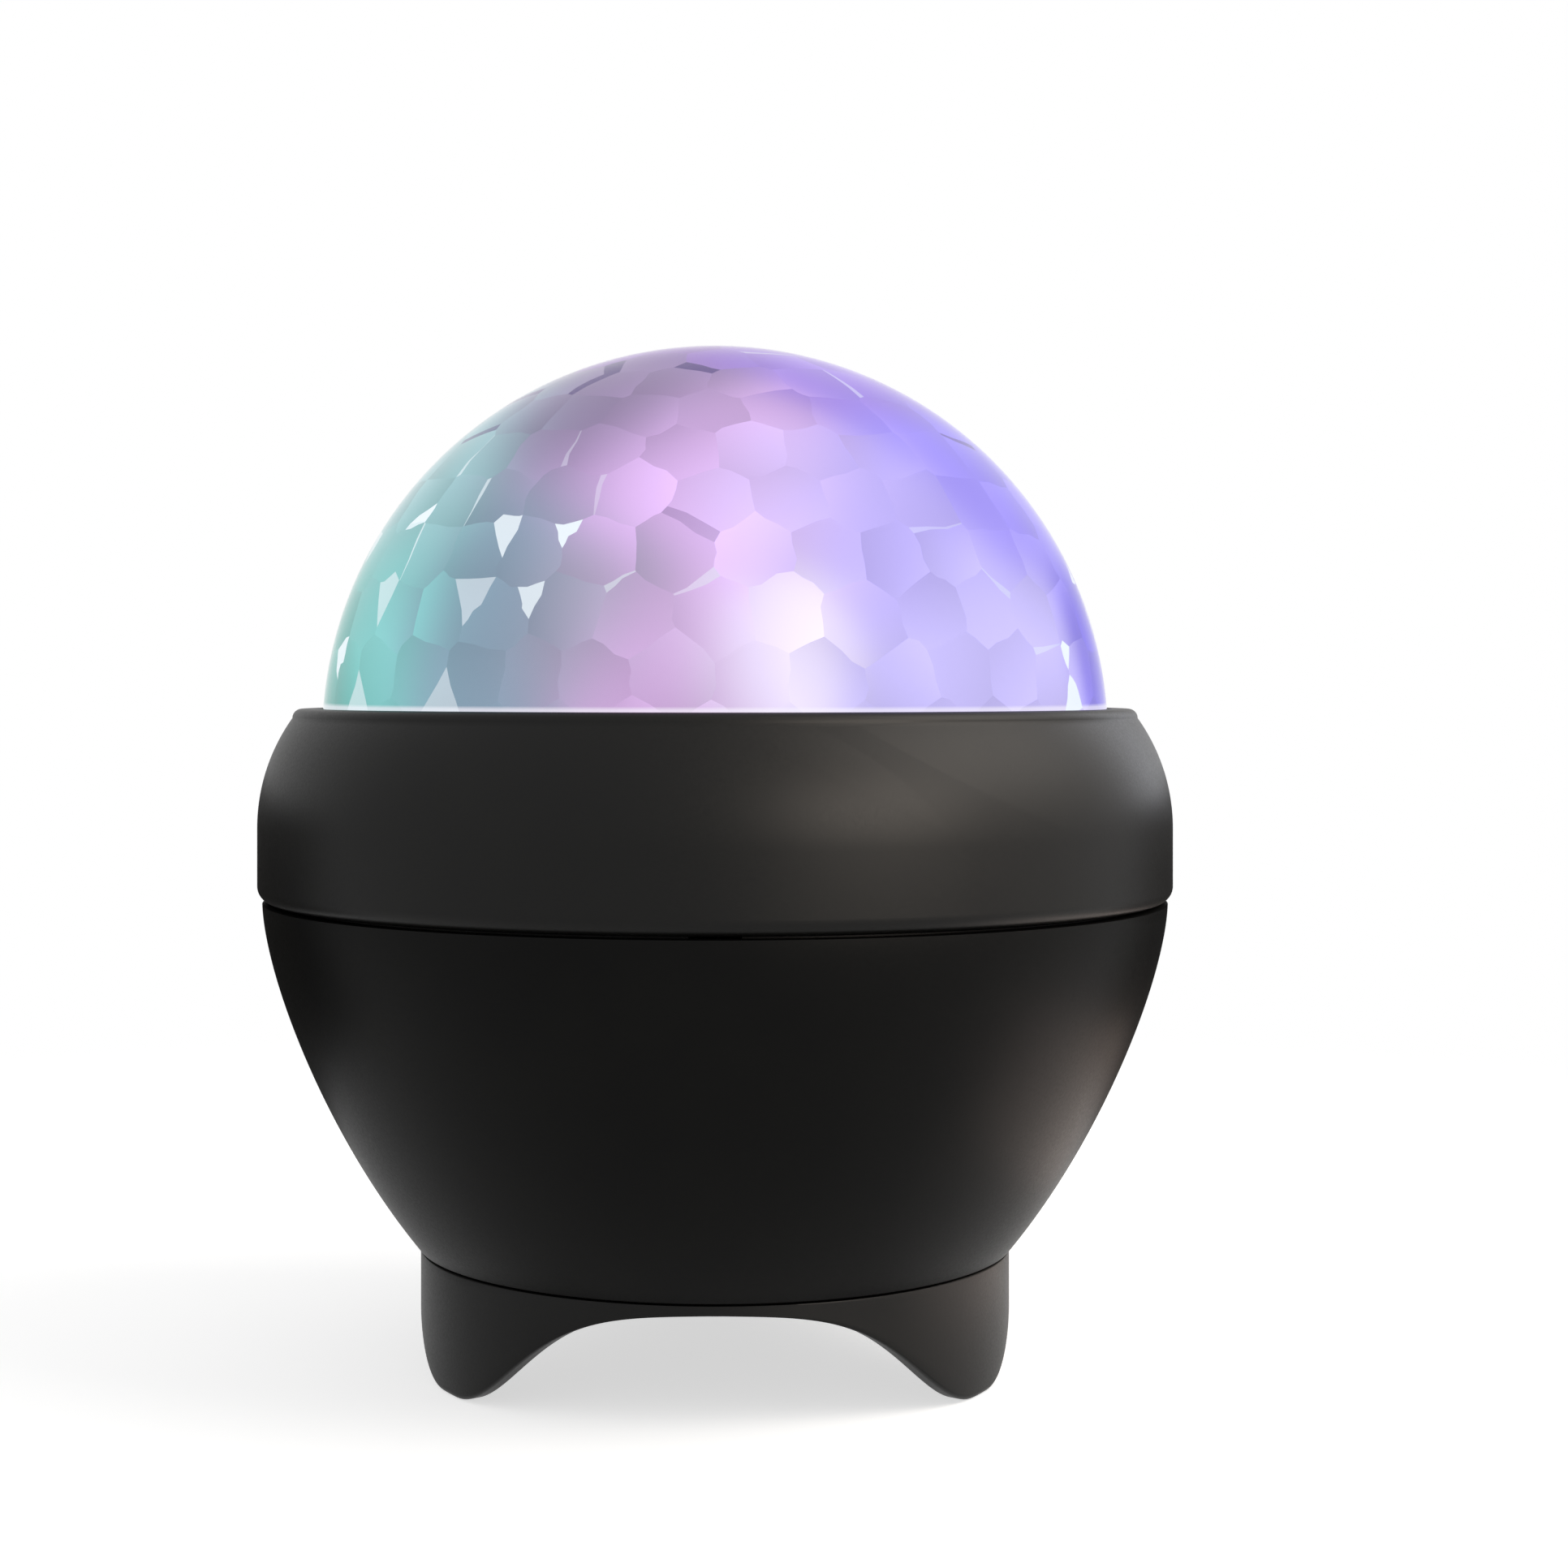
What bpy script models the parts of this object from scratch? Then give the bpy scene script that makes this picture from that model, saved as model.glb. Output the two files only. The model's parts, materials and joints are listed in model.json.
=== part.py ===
"""Star projector lamp.

A clear dome with a faceted inside stands over a turning ripple wheel and four
coloured lamps. A black ring, a black bowl and a base with three feet hold it.

Lengths are metres. The floor is z = 0, +Z is up and the front is -Y.
"""

import math

import bmesh
import bpy
from mathutils import Matrix, Vector

# General values
CLEARANCE = 0.0003
OVERRUN = 0.001
EMBED = 0.0006
WELD_DISTANCE = 0.000002
ROUND_STEPS = 36
INNER_STEPS = 28
SMALL_STEPS = 10
SCREW_STEPS = 8
SMOOTH_ANGLE = 30.0
POST_TURN_SHARE = 0.3

# Outer form, with the crease and the seam as heights from the floor
BODY_RADIUS = 0.060
BASE_RADIUS = 0.03885
CREASE_HEIGHT = 0.0159
SEAM_HEIGHT = 0.0612
RING_HEIGHT = 0.0249
SHOULDER_RISE = 0.0095
RIM_SET_IN = 0.0083
RIM_WIDTH = 0.0035

# Dome, whose centre lies below the rim
DOME_SINK = 0.0039
DOME_WALL = 0.0025
DOME_FLANGE_WIDTH = 0.0033
DOME_FLANGE_THICKNESS = 0.0018
FACET_ROWS = 10
FACETS_ROUND_EQUATOR = 35
FACET_START_ANGLE = -90.0

# Ring
RING_WALL = 0.0024
RIM_FILLET = 0.0012
LIP_FILLET = 0.0009
COLLAR_WALL = 0.0016
COLLAR_LENGTH = 0.0066
COLLAR_GROOVE = 0.0008
TONGUE_WALL = 0.0014
TONGUE_LENGTH = 0.0025
LEDGE_THICKNESS = 0.0018
SHOULDER_POINT_COUNT = 5
GROOVE_POINT_COUNT = 2
FILLET_MIDDLE_SHARE = 1 - math.sqrt(0.5)

# Bowl
BOWL_SETBACK = 0.00065
BOWL_OVERHANG = 0.0003
BOWL_WALL = 0.0022
BOWL_TOP_LEAN = 2.0
BOWL_FOOT_LEAN = 39.0
BOWL_TOP_HANDLE_SHARE = 0.21
BOWL_FOOT_HANDLE_SHARE = 0.42
BOWL_POINT_COUNT = 9
BOWL_INSIDE_POINT_COUNT = 6
BOWL_FLANGE_MARGIN = 0.004

# Base and feet
FOOT_ANGLES = (-30.0, 90.0, 210.0)
BASE_COLUMNS = 60
FOOT_FLAT_ANGLE = 180.0 / BASE_COLUMNS
FOOT_SPREAD_ANGLE = 24.2
ARCH_BAND = 0.00145
FOOT_WALL = 0.0028
FOOT_FILLET = 0.0007
BASE_PLATE_THICKNESS = 0.0014
FOOT_RIB_THICKNESS = 0.0016
FOOT_RIB_LENGTH = 0.007
FOOT_RIB_BOTTOM = 0.0045
VENT_COUNT = 8
VENT_WIDTH = 0.0016
VENT_LENGTH = 0.008
VENT_CENTRE_RADIUS = 0.018

# Deck, its posts and the ring's bosses
DECK_RISE = 0.0048
DECK_THICKNESS = 0.0016
UPSTAND_WALL = 0.0014
EAR_RADIUS = 0.0027
EAR_STEP = 0.0001
POST_ANGLES = (-90.0, 30.0, 150.0)
POST_SET_IN = 0.00785
POST_RADIUS = 0.0032
POST_BORE_DEPTH = 0.012
BOSS_SET_IN = 0.0055
BOSS_GAP = 0.0006
BOSS_RADIUS = 0.0023
BOSS_WEB_THICKNESS = 0.0016
BOSS_BORE_DEPTH = 0.007

# Screws, as (head radius, head height, shank radius, shank length)
CASE_SCREW = (0.0024, 0.0009, 0.0011, 0.0130)
DECK_SCREW = (0.0022, 0.0016, 0.0011, 0.0072)
SINK_SCREW = (0.0018, 0.0012, 0.0010, 0.0048)
LED_SCREW = (0.0015, 0.0010, 0.0008, 0.0028)
MOTOR_SCREW = (0.0018, 0.0012, 0.0009, 0.0040)
BOARD_SCREW = (0.0018, 0.0012, 0.0009, 0.0056)
SCREW_BEVEL_SHARE = 0.33

# Heat sink
SINK_FLANGE_THICKNESS = 0.0016
SINK_HUB_RADIUS = 0.0036
SINK_FIN_COUNT = 12
SINK_FIN_THICKNESS = 0.0010
SINK_FIN_DEPTH = 0.0100
SINK_FIN_SET_IN = 0.001
SINK_SCREW_SET_OUT = 0.0018
SINK_SCREW_ANGLES = (90.0, 210.0, 330.0)

# Lamps on their board
LED_BOARD_RADIUS = 0.0151
LED_BOARD_THICKNESS = 0.0014
LED_SCREW_SET_IN = 0.0025
LED_SCREW_ANGLES = (60.0, 180.0, 300.0)
LED_CIRCLE_RADIUS = 0.0075
LED_WIDTH = 0.0035
LED_HEIGHT = 0.0010
LED_LENS_RADIUS = 0.0014

# Axle of the ripple wheel
AXLE_RADIUS = 0.0015
AXLE_SOCKET_DEPTH = 0.0078
AXLE_SHOULDER_RADIUS = 0.0026
AXLE_SHOULDER_HEIGHT = 0.0033
AXLE_TIP_LENGTH = 0.0012
WASHER_RADIUS = 0.0034
WASHER_THICKNESS = 0.0005
CLIP_RADIUS = 0.0031
CLIP_THICKNESS = 0.0006
CLIP_GROOVE_DEPTH = 0.0004
CLIP_OPENING = 0.0018

# Ripple wheel and its pinion
GEAR_MODULE = 0.001
GEAR_BACKLASH = 0.00026
PINION_TEETH = 14
MOTOR_REACH_SHARE = 0.55
PRESSURE_ANGLE = 20.0
ADDENDUM_SHARE = 0.8
DEDENDUM_SHARE = 1.0
WHEEL_FLANK_POINT_COUNT = 2
PINION_FLANK_POINT_COUNT = 3
WHEEL_RIM_WIDTH = 0.0026
WHEEL_RIM_THICKNESS = 0.0022
WHEEL_HUB_RADIUS = 0.0042
WHEEL_HUB_HEIGHT = 0.0051
WHEEL_DISC_LIFT = 0.0017
WHEEL_DISC_THICKNESS = 0.0014
RIPPLE_HEIGHT = 0.00021
RIPPLE_LENGTH = 0.0105
RIPPLE_ANGLES = (0.0, 62.0, 131.0)
RIPPLE_PACE_SHARES = (1.0, 0.86, 1.17)
RIPPLE_RINGS = 5
RIPPLE_STEPS = 24
PINION_ANGLE = -30.0
PINION_EXTRA_FACE = 0.0005
PINION_HUB_RADIUS = 0.0030
PINION_HUB_LENGTH = 0.0014

# Motor
SHAFT_RADIUS = 0.0015
SHAFT_FLAT = 0.0005
SHAFT_TIP_LENGTH = 0.0006
SHAFT_SOCKET_DEPTH = 0.0040
GEARBOX_SIZE = (0.0100, 0.0120, 0.0090)
MOTOR_CAN_LENGTH = 0.0150
MOTOR_CAP_RADIUS = 0.0038
MOTOR_CAP_LENGTH = 0.0012
MOTOR_CAN_SET_IN = 0.0002
BRACKET_WALL = 0.0015
BRACKET_DEPTH = 0.0085
BRACKET_EAR_LENGTH = 0.0055
BRACKET_EAR_THICKNESS = 0.0026
BRACKET_HOLE_RADIUS = 0.0030
GEARBOX_CORNER = 0.0005

# Control board. Places on it are shares of its width from the middle and of its depth from the front
BOARD_RISE = 0.0075
BOARD_THICKNESS = 0.0016
BOARD_WIDTH = 0.041
BOARD_FRONT = 0.016
BOARD_MARGIN = 0.00133
BOARD_TONGUE_WIDTH = 0.012
BOARD_TONGUE_GAP = 0.0047
BOARD_SCREW_SHARES = ((-0.43, 0.42), (0.43, 0.42), (-0.29, 0.87), (0.29, 0.87))
STANDOFF_RADIUS = 0.0024
CHIP_PLACE_SHARES = (-0.134, 0.52)
CHIP_SIZE = (0.0060, 0.0050, 0.0016)
CHIP_LEG_LENGTH = 0.0008
CHIP_LEG_WIDTH = 0.0004
CHIP_LEG_THICKNESS = 0.0003
CHIP_LEG_RISE = 0.0005
CHIP_LEGS_PER_SIDE = 4
CAPACITOR_PLACE_SHARES = ((0.11, 0.27), (0.27, 0.27))
CAPACITOR_RADIUS = 0.0025
CAPACITOR_HEIGHT = 0.0075
CAPACITOR_GROOVE = 0.0003
CAPACITOR_GROOVE_RISE = 0.0012

# Charging socket at the rear
SOCKET_WIDTH = 0.00894
SOCKET_HEIGHT = 0.00326
SOCKET_LENGTH = 0.0073
SOCKET_WALL = 0.00032
SOCKET_TONGUE_WIDTH = 0.0067
SOCKET_TONGUE_THICKNESS = 0.0007
SOCKET_TONGUE_SETBACK = 0.0008
SOCKET_BACK_WALL = 0.0015
SOCKET_RECESS = 0.00122
SOCKET_CORNER_STEPS = 6

# Buttons at the rear, placed on the bowl
BUTTON_DROP = 0.0092
BUTTON_SPACING = 0.0105
BUTTON_RADIUS = 0.0032
BUTTON_PROUD = 0.0008
BUTTON_TRAVEL = 0.0006
BUTTON_FLANGE_WIDTH = 0.0008
BUTTON_FLANGE_THICKNESS = 0.0008
BUTTON_STEM_RADIUS = 0.0013
BUTTON_STEM_ENTRY = 0.0005
SWITCH_GAP = 0.0004
SWITCH_WIDTH = 0.0060
SWITCH_HEIGHT = 0.0034
SWITCH_CORNER = 0.0004
BUTTON_BOARD_LENGTH = 0.040
BUTTON_BOARD_WIDTH = 0.009
BUTTON_BOARD_THICKNESS = 0.0012
BUTTON_BOARD_SCREW_SPACING = 0.034
BUTTON_STANDOFF_RADIUS = 0.0021
BUTTON_BORE_DEPTH = 0.0030

# Inner leads
LED_LEAD_RADIUS = 0.0008
MOTOR_LEAD_RADIUS = 0.0006
BUTTON_LEAD_RADIUS = 0.0006
LEAD_POINT_COUNT = 13
LEAD_SLOT_ANGLE = 135.0
LEAD_SLOT_SET_OUT = 0.0027
LEAD_SLOT_SIZE = (0.0032, 0.0040)
LED_LEAD_END_SHARES = (-0.29, 0.20)
MOTOR_LEAD_END_SHARES = (0.33, 0.12)
BUTTON_LEAD_END_SHARES = (0.15, 0.80)
LEAD_SHOULDER_SHARE = 0.7
BUTTON_LEAD_OFFSET = 0.0070
LEAD_RISE = 0.0016

# Worked-out radii and heights
RIM_HEIGHT = SEAM_HEIGHT + RING_HEIGHT
SHOULDER_HEIGHT = SEAM_HEIGHT + SHOULDER_RISE
DECK_HEIGHT = SEAM_HEIGHT + DECK_RISE
DECK_UNDERSIDE = DECK_HEIGHT - DECK_THICKNESS
BUTTON_HEIGHT = SEAM_HEIGHT - BUTTON_DROP
DOME_RADIUS = BODY_RADIUS - RIM_SET_IN
DOME_CENTRE_HEIGHT = RIM_HEIGHT - DOME_SINK
DOME_FLANGE_RADIUS = DOME_RADIUS + DOME_FLANGE_WIDTH
COLLAR_FOOT = RIM_HEIGHT - COLLAR_LENGTH
DOME_FLANGE_TOP = COLLAR_FOOT - CLEARANCE
DOME_FLANGE_BOTTOM = DOME_FLANGE_TOP - DOME_FLANGE_THICKNESS
UPSTAND_TOP = DOME_FLANGE_BOTTOM - CLEARANCE
RIM_OPENING_RADIUS = DOME_RADIUS + CLEARANCE
SHOULDER_DROP_IN = BODY_RADIUS - RIM_OPENING_RADIUS - RIM_WIDTH
SHOULDER_CLIMB = RIM_HEIGHT - RIM_FILLET - SHOULDER_HEIGHT
SHOULDER_CURVE = (SHOULDER_DROP_IN ** 2 + SHOULDER_CLIMB ** 2) / (2 * SHOULDER_DROP_IN)
RING_INNER_RADIUS = BODY_RADIUS - RING_WALL
BOSS_CIRCLE_RADIUS = BODY_RADIUS - BOSS_SET_IN
UPSTAND_RADIUS = BOSS_CIRCLE_RADIUS - BOSS_RADIUS - BOSS_GAP
POST_CIRCLE_RADIUS = BASE_RADIUS - POST_SET_IN
BOWL_TOP_RADIUS = BODY_RADIUS - BOWL_SETBACK
BOWL_TOP_HEIGHT = SEAM_HEIGHT - CLEARANCE
BOWL_FOOT_RADIUS = BASE_RADIUS + BOWL_OVERHANG
BOWL_FLOOR_TOP = CREASE_HEIGHT + BOWL_WALL
BOWL_FLANGE_INNER_RADIUS = POST_CIRCLE_RADIUS - BOWL_FLANGE_MARGIN
BASE_TOP = CREASE_HEIGHT - CLEARANCE
ARCH_HEIGHT = CREASE_HEIGHT - ARCH_BAND
BASE_PLATE_TOP = BASE_TOP - CLEARANCE
BASE_PLATE_UNDERSIDE = BASE_PLATE_TOP - BASE_PLATE_THICKNESS
TONGUE_RADIUS = BOWL_TOP_RADIUS - BOWL_WALL - 2 * CLEARANCE
TONGUE_INNER_RADIUS = TONGUE_RADIUS - TONGUE_WALL
DECK_RADIUS = TONGUE_INNER_RADIUS - CLEARANCE
DECK_HOLE_RADIUS = LED_BOARD_RADIUS + CLEARANCE
SINK_SCREW_CIRCLE_RADIUS = DECK_HOLE_RADIUS + SINK_SCREW_SET_OUT
SINK_RADIUS = SINK_SCREW_CIRCLE_RADIUS + SINK_SCREW[0]
SINK_FIN_RADIUS = SINK_RADIUS - SINK_FIN_SET_IN
LED_SCREW_CIRCLE_RADIUS = LED_BOARD_RADIUS - LED_SCREW_SET_IN
LEAD_SLOT_RADIUS = SINK_RADIUS + LEAD_SLOT_SET_OUT
SINK_TOP = DECK_UNDERSIDE - CLEARANCE
SINK_UNDERSIDE = SINK_TOP - SINK_FLANGE_THICKNESS
SINK_FIN_BOTTOM = SINK_UNDERSIDE - SINK_FIN_DEPTH
LED_BOARD_BOTTOM = SINK_TOP + CLEARANCE
LED_BOARD_TOP = LED_BOARD_BOTTOM + LED_BOARD_THICKNESS
AXLE_SHOULDER_BOTTOM = LED_BOARD_TOP + CLEARANCE
AXLE_SHOULDER_TOP = AXLE_SHOULDER_BOTTOM + AXLE_SHOULDER_HEIGHT
AXLE_HOLE_RADIUS = AXLE_RADIUS + CLEARANCE
WASHER_BOTTOM = AXLE_SHOULDER_TOP + CLEARANCE
WHEEL_HUB_BOTTOM = WASHER_BOTTOM + WASHER_THICKNESS + CLEARANCE
WHEEL_HUB_TOP = WHEEL_HUB_BOTTOM + WHEEL_HUB_HEIGHT
WHEEL_DISC_BOTTOM = WHEEL_HUB_BOTTOM + WHEEL_DISC_LIFT
PINION_PITCH_RADIUS = PINION_TEETH * GEAR_MODULE / 2
PINION_TIP_RADIUS = PINION_PITCH_RADIUS + ADDENDUM_SHARE * GEAR_MODULE
MOTOR_NEAREST = SINK_RADIUS + GEARBOX_SIZE[0] / 2 + CLEARANCE + BRACKET_WALL
MOTOR_FARTHEST = UPSTAND_RADIUS - UPSTAND_WALL - PINION_TIP_RADIUS
MOTOR_REACH = MOTOR_NEAREST + MOTOR_REACH_SHARE * (MOTOR_FARTHEST - MOTOR_NEAREST)
WHEEL_TEETH = round(2 * MOTOR_REACH / GEAR_MODULE) - PINION_TEETH
WHEEL_PITCH_RADIUS = WHEEL_TEETH * GEAR_MODULE / 2
GEAR_CENTRE_DISTANCE = WHEEL_PITCH_RADIUS + PINION_PITCH_RADIUS
CLIP_BOTTOM = WHEEL_HUB_TOP + CLEARANCE
CLIP_TOP = CLIP_BOTTOM + CLIP_THICKNESS
GEARBOX_TOP = DECK_UNDERSIDE - CLEARANCE - BRACKET_WALL - CLEARANCE
BOARD_TOP = BOWL_FLOOR_TOP + BOARD_RISE
BOARD_BOTTOM = BOARD_TOP - BOARD_THICKNESS
SHAFT_HOLE_RADIUS = SHAFT_RADIUS + CLEARANCE
SOCKET_CENTRE_HEIGHT = BOARD_TOP + CLEARANCE + SOCKET_HEIGHT / 2

PARTS_NAME = "star_projector_lamp"
CUTTERS_NAME = "cutters"


# Scene and materials

def start_scene():
    """Remove what the scene holds and make the two collections."""
    for obj in list(bpy.data.objects):
        bpy.data.objects.remove(obj, do_unlink=True)
    for name in (PARTS_NAME, CUTTERS_NAME):
        group = bpy.data.collections.get(name) or bpy.data.collections.new(name)
        if name not in bpy.context.scene.collection.children:
            bpy.context.scene.collection.children.link(group)


def finish(name, colour, roughness, metallic=0.0, alpha=1.0):
    """Return a Principled material."""
    material = bpy.data.materials.new(name)
    material.use_nodes = True
    shader = material.node_tree.nodes["Principled BSDF"]
    shader.inputs["Base Color"].default_value = (*colour, 1.0)
    shader.inputs["Roughness"].default_value = roughness
    shader.inputs["Metallic"].default_value = metallic
    shader.inputs["Alpha"].default_value = alpha
    material.diffuse_color = (*colour, alpha)
    return material


# Shapes

def place_object(name, mesh, material=None, matrix=None):
    """Put a mesh in the scene: as a part with its material, or as a cutter without one."""
    obj = bpy.data.objects.new(name, mesh)
    if material is None:
        bpy.data.collections[CUTTERS_NAME].objects.link(obj)
        obj.hide_render = True
        obj.display_type = "WIRE"
    else:
        bpy.data.collections[PARTS_NAME].objects.link(obj)
        mesh.materials.append(material)
    if matrix is not None:
        obj.matrix_world = matrix
    return obj


def mesh_from(name, bm):
    """Turn a bmesh into a mesh with outward faces."""
    bmesh.ops.recalc_face_normals(bm, faces=bm.faces)
    mesh = bpy.data.meshes.new(name)
    bm.to_mesh(mesh)
    bm.free()
    return mesh


def box(name, low, high, material=None, matrix=None):
    """Make a box between two corners."""
    low = Vector(low)
    high = Vector(high)
    bm = bmesh.new()
    bmesh.ops.create_cube(bm, size=1.0)
    bmesh.ops.transform(bm, matrix=Matrix.Diagonal((*(high - low), 1.0)), verts=bm.verts)
    bmesh.ops.translate(bm, vec=(low + high) / 2, verts=bm.verts)
    return place_object(name, mesh_from(name, bm), material, matrix)


def post(name, radius, bottom, top, at=(0.0, 0.0), steps=SMALL_STEPS, material=None, matrix=None):
    """Make an upright cylinder, turned a little so that no corner lies on a shell's own edge."""
    bm = bmesh.new()
    bmesh.ops.create_cone(
        bm, cap_ends=True, segments=steps, radius1=radius, radius2=radius, depth=top - bottom
    )
    turn = Matrix.Rotation(POST_TURN_SHARE * math.tau / steps, 4, "Z")
    bmesh.ops.transform(bm, matrix=turn, verts=bm.verts)
    bmesh.ops.translate(bm, vec=(at[0], at[1], (bottom + top) / 2), verts=bm.verts)
    return place_object(name, mesh_from(name, bm), material, matrix)


def turned(name, profile, steps=ROUND_STEPS, material=None, matrix=None, start_angle=0.0):
    """Turn a closed outline of (radius, height) points round the Z axis."""
    ends_on_axis = profile[0][0] == 0.0 and profile[-1][0] == 0.0
    pairs = list(zip(profile, profile[1:] + profile[:1]))
    turning = sum(a[0] * b[1] - b[0] * a[1] for a, b in pairs)
    points = list(profile) if turning < 0 else list(reversed(profile))
    mesh = bpy.data.meshes.new(name)
    edges = [(i, i + 1) for i in range(len(points) - 1)]
    if not ends_on_axis:
        edges.append((len(points) - 1, 0))
    mesh.from_pydata([(radius, 0.0, height) for radius, height in points], edges, [])
    mesh.transform(Matrix.Rotation(math.radians(start_angle), 4, "Z"))
    obj = place_object(name, mesh, material, matrix)
    screw = obj.modifiers.new("turn", "SCREW")
    screw.axis = "Z"
    screw.angle = math.tau
    screw.steps = steps
    screw.render_steps = steps
    screw.use_merge_vertices = True
    screw.merge_threshold = WELD_DISTANCE
    screw.use_smooth_shade = True
    return obj


def slab(name, outlines, bottom, top, material=None, matrix=None):
    """Extrude flat outlines, the first around the rest, between two heights."""
    curve = bpy.data.curves.new(name + "_outline", "CURVE")
    curve.dimensions = "2D"
    curve.fill_mode = "BOTH"
    curve.extrude = (top - bottom) / 2
    for outline in outlines:
        spline = curve.splines.new("POLY")
        spline.points.add(len(outline) - 1)
        for point, (x, y) in zip(spline.points, outline):
            point.co = (x, y, 0.0, 1.0)
        spline.use_cyclic_u = True
    holder = bpy.data.objects.new(name + "_outline", curve)
    bpy.data.collections[CUTTERS_NAME].objects.link(holder)
    mesh = welded_mesh(name, holder)
    mesh.transform(Matrix.Translation((0.0, 0.0, (top + bottom) / 2)))
    return place_object(name, mesh, material, matrix)


def welded_mesh(name, holder):
    """Return what an object evaluates to as one welded mesh, and remove the object."""
    bpy.context.view_layer.update()
    graph = bpy.context.evaluated_depsgraph_get()
    mesh = bpy.data.meshes.new_from_object(holder.evaluated_get(graph))
    mesh.name = name
    bm = bmesh.new()
    bm.from_mesh(mesh)
    bmesh.ops.remove_doubles(bm, verts=bm.verts, dist=WELD_DISTANCE)
    bmesh.ops.recalc_face_normals(bm, faces=bm.faces)
    bm.to_mesh(mesh)
    bm.free()
    bpy.data.objects.remove(holder, do_unlink=True)
    return mesh


def combine(target, others, operation):
    """Join, cut or keep a target with other objects, which become hidden helpers."""
    for other in others:
        for group in list(other.users_collection):
            group.objects.unlink(other)
        bpy.data.collections[CUTTERS_NAME].objects.link(other)
        other.hide_render = True
        other.display_type = "WIRE"
        change = target.modifiers.new(other.name, "BOOLEAN")
        change.operation = operation
        change.object = other
        change.solver = "EXACT"


def join(target, *others):
    """Union other shapes with the target."""
    combine(target, others, "UNION")


def cut(target, *others):
    """Take other shapes away from the target."""
    combine(target, others, "DIFFERENCE")


def settle(obj):
    """Replace an object's modifiers by the mesh that they make."""
    bpy.context.view_layer.update()
    graph = bpy.context.evaluated_depsgraph_get()
    mesh = bpy.data.meshes.new_from_object(obj.evaluated_get(graph))
    obj.modifiers.clear()
    obj.data = mesh
    return mesh


def round_edges(obj, width, segments=1, limit_angle=SMOOTH_ANGLE):
    """Bevel an object's sharp edges."""
    bevel = obj.modifiers.new("edges", "BEVEL")
    bevel.width = width
    bevel.segments = segments
    bevel.limit_method = "ANGLE"
    bevel.angle_limit = math.radians(limit_angle)
    return obj


def polar(radius, angle):
    """Return x and y of a point at a radius and an angle in degrees."""
    return radius * math.cos(math.radians(angle)), radius * math.sin(math.radians(angle))


def arc(centre, radius, start, end, count):
    """Return points on an arc of an outline, angles in degrees."""
    points = []
    for i in range(count):
        x, y = polar(radius, start + (end - start) * i / (count - 1))
        points.append((centre[0] + x, centre[1] + y))
    return points


def turned_place(angle, radius=0.0, height=0.0):
    """Return the matrix that moves a shape out along X, then turns it to an angle."""
    move = Matrix.Translation((radius, 0.0, height))
    return Matrix.Rotation(math.radians(angle), 4, "Z") @ move


def screw_part(name, sizes, place, material):
    """Make a screw whose head stands on z = 0 of its place, with its shank along -Z."""
    head_radius, head_height, shank_radius, shank_length = sizes
    profile = [
        (0.0, head_height),
        (head_radius - SCREW_BEVEL_SHARE * head_height, head_height),
        (head_radius, 0.0),
        (shank_radius, 0.0),
        (shank_radius, -shank_length),
        (0.0, -shank_length),
    ]
    return turned(name, profile, SCREW_STEPS, material, place)


def facing_down(place):
    """Turn a screw's place over, so that its shank points up."""
    return place @ Matrix.Rotation(math.pi, 4, "X")


# Outlines shared by several pieces

def bowl_outside(share):
    """Return a point of the bowl's outer side and its outward normal, 0 at the seam, 1 at the crease."""
    rise = BOWL_TOP_HEIGHT - CREASE_HEIGHT
    top_lean = math.radians(BOWL_TOP_LEAN)
    foot_lean = math.radians(BOWL_FOOT_LEAN)
    top = Vector((BOWL_TOP_RADIUS, BOWL_TOP_HEIGHT))
    foot = Vector((BOWL_FOOT_RADIUS, CREASE_HEIGHT))
    top_handle = top - BOWL_TOP_HANDLE_SHARE * rise * Vector((math.sin(top_lean), math.cos(top_lean)))
    foot_handle = foot + BOWL_FOOT_HANDLE_SHARE * rise * Vector((math.sin(foot_lean), math.cos(foot_lean)))
    rest = 1 - share
    point = (
        top * rest ** 3
        + top_handle * 3 * rest ** 2 * share
        + foot_handle * 3 * rest * share ** 2
        + foot * share ** 3
    )
    along = (
        (top_handle - top) * rest ** 2
        + (foot_handle - top_handle) * 2 * rest * share
        + (foot - foot_handle) * share ** 2
    ).normalized()
    return point, Vector((-along.y, along.x))


def bowl_line(offset, count, start=0.0, end=1.0):
    """Return the bowl's side as (radius, height) points, moved out by an offset."""
    points = []
    for i in range(count):
        point, normal = bowl_outside(start + (end - start) * i / (count - 1))
        points.append(tuple(point + normal * offset))
    return points


def bowl_share_at(height):
    """Return where on the bowl's side a height lies, by halving."""
    low, high = 0.0, 1.0
    while high - low > WELD_DISTANCE:
        middle = (low + high) / 2
        if bowl_outside(middle)[0].y > height:
            low = middle
        else:
            high = middle
    return low


def bowl_radius_at(height):
    """Return the bowl's outer radius at a height."""
    return bowl_outside(bowl_share_at(height))[0].x


def foot_lift(angle):
    """Return the height of the skirt's lower edge at an angle in degrees."""
    away = min(abs((angle - foot + 180.0) % 360.0 - 180.0) for foot in FOOT_ANGLES)
    spread = max(away - FOOT_FLAT_ANGLE, 0.0) / FOOT_SPREAD_ANGLE
    return ARCH_HEIGHT * (1 - math.exp(-spread ** 2))


# Base with three feet

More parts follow.
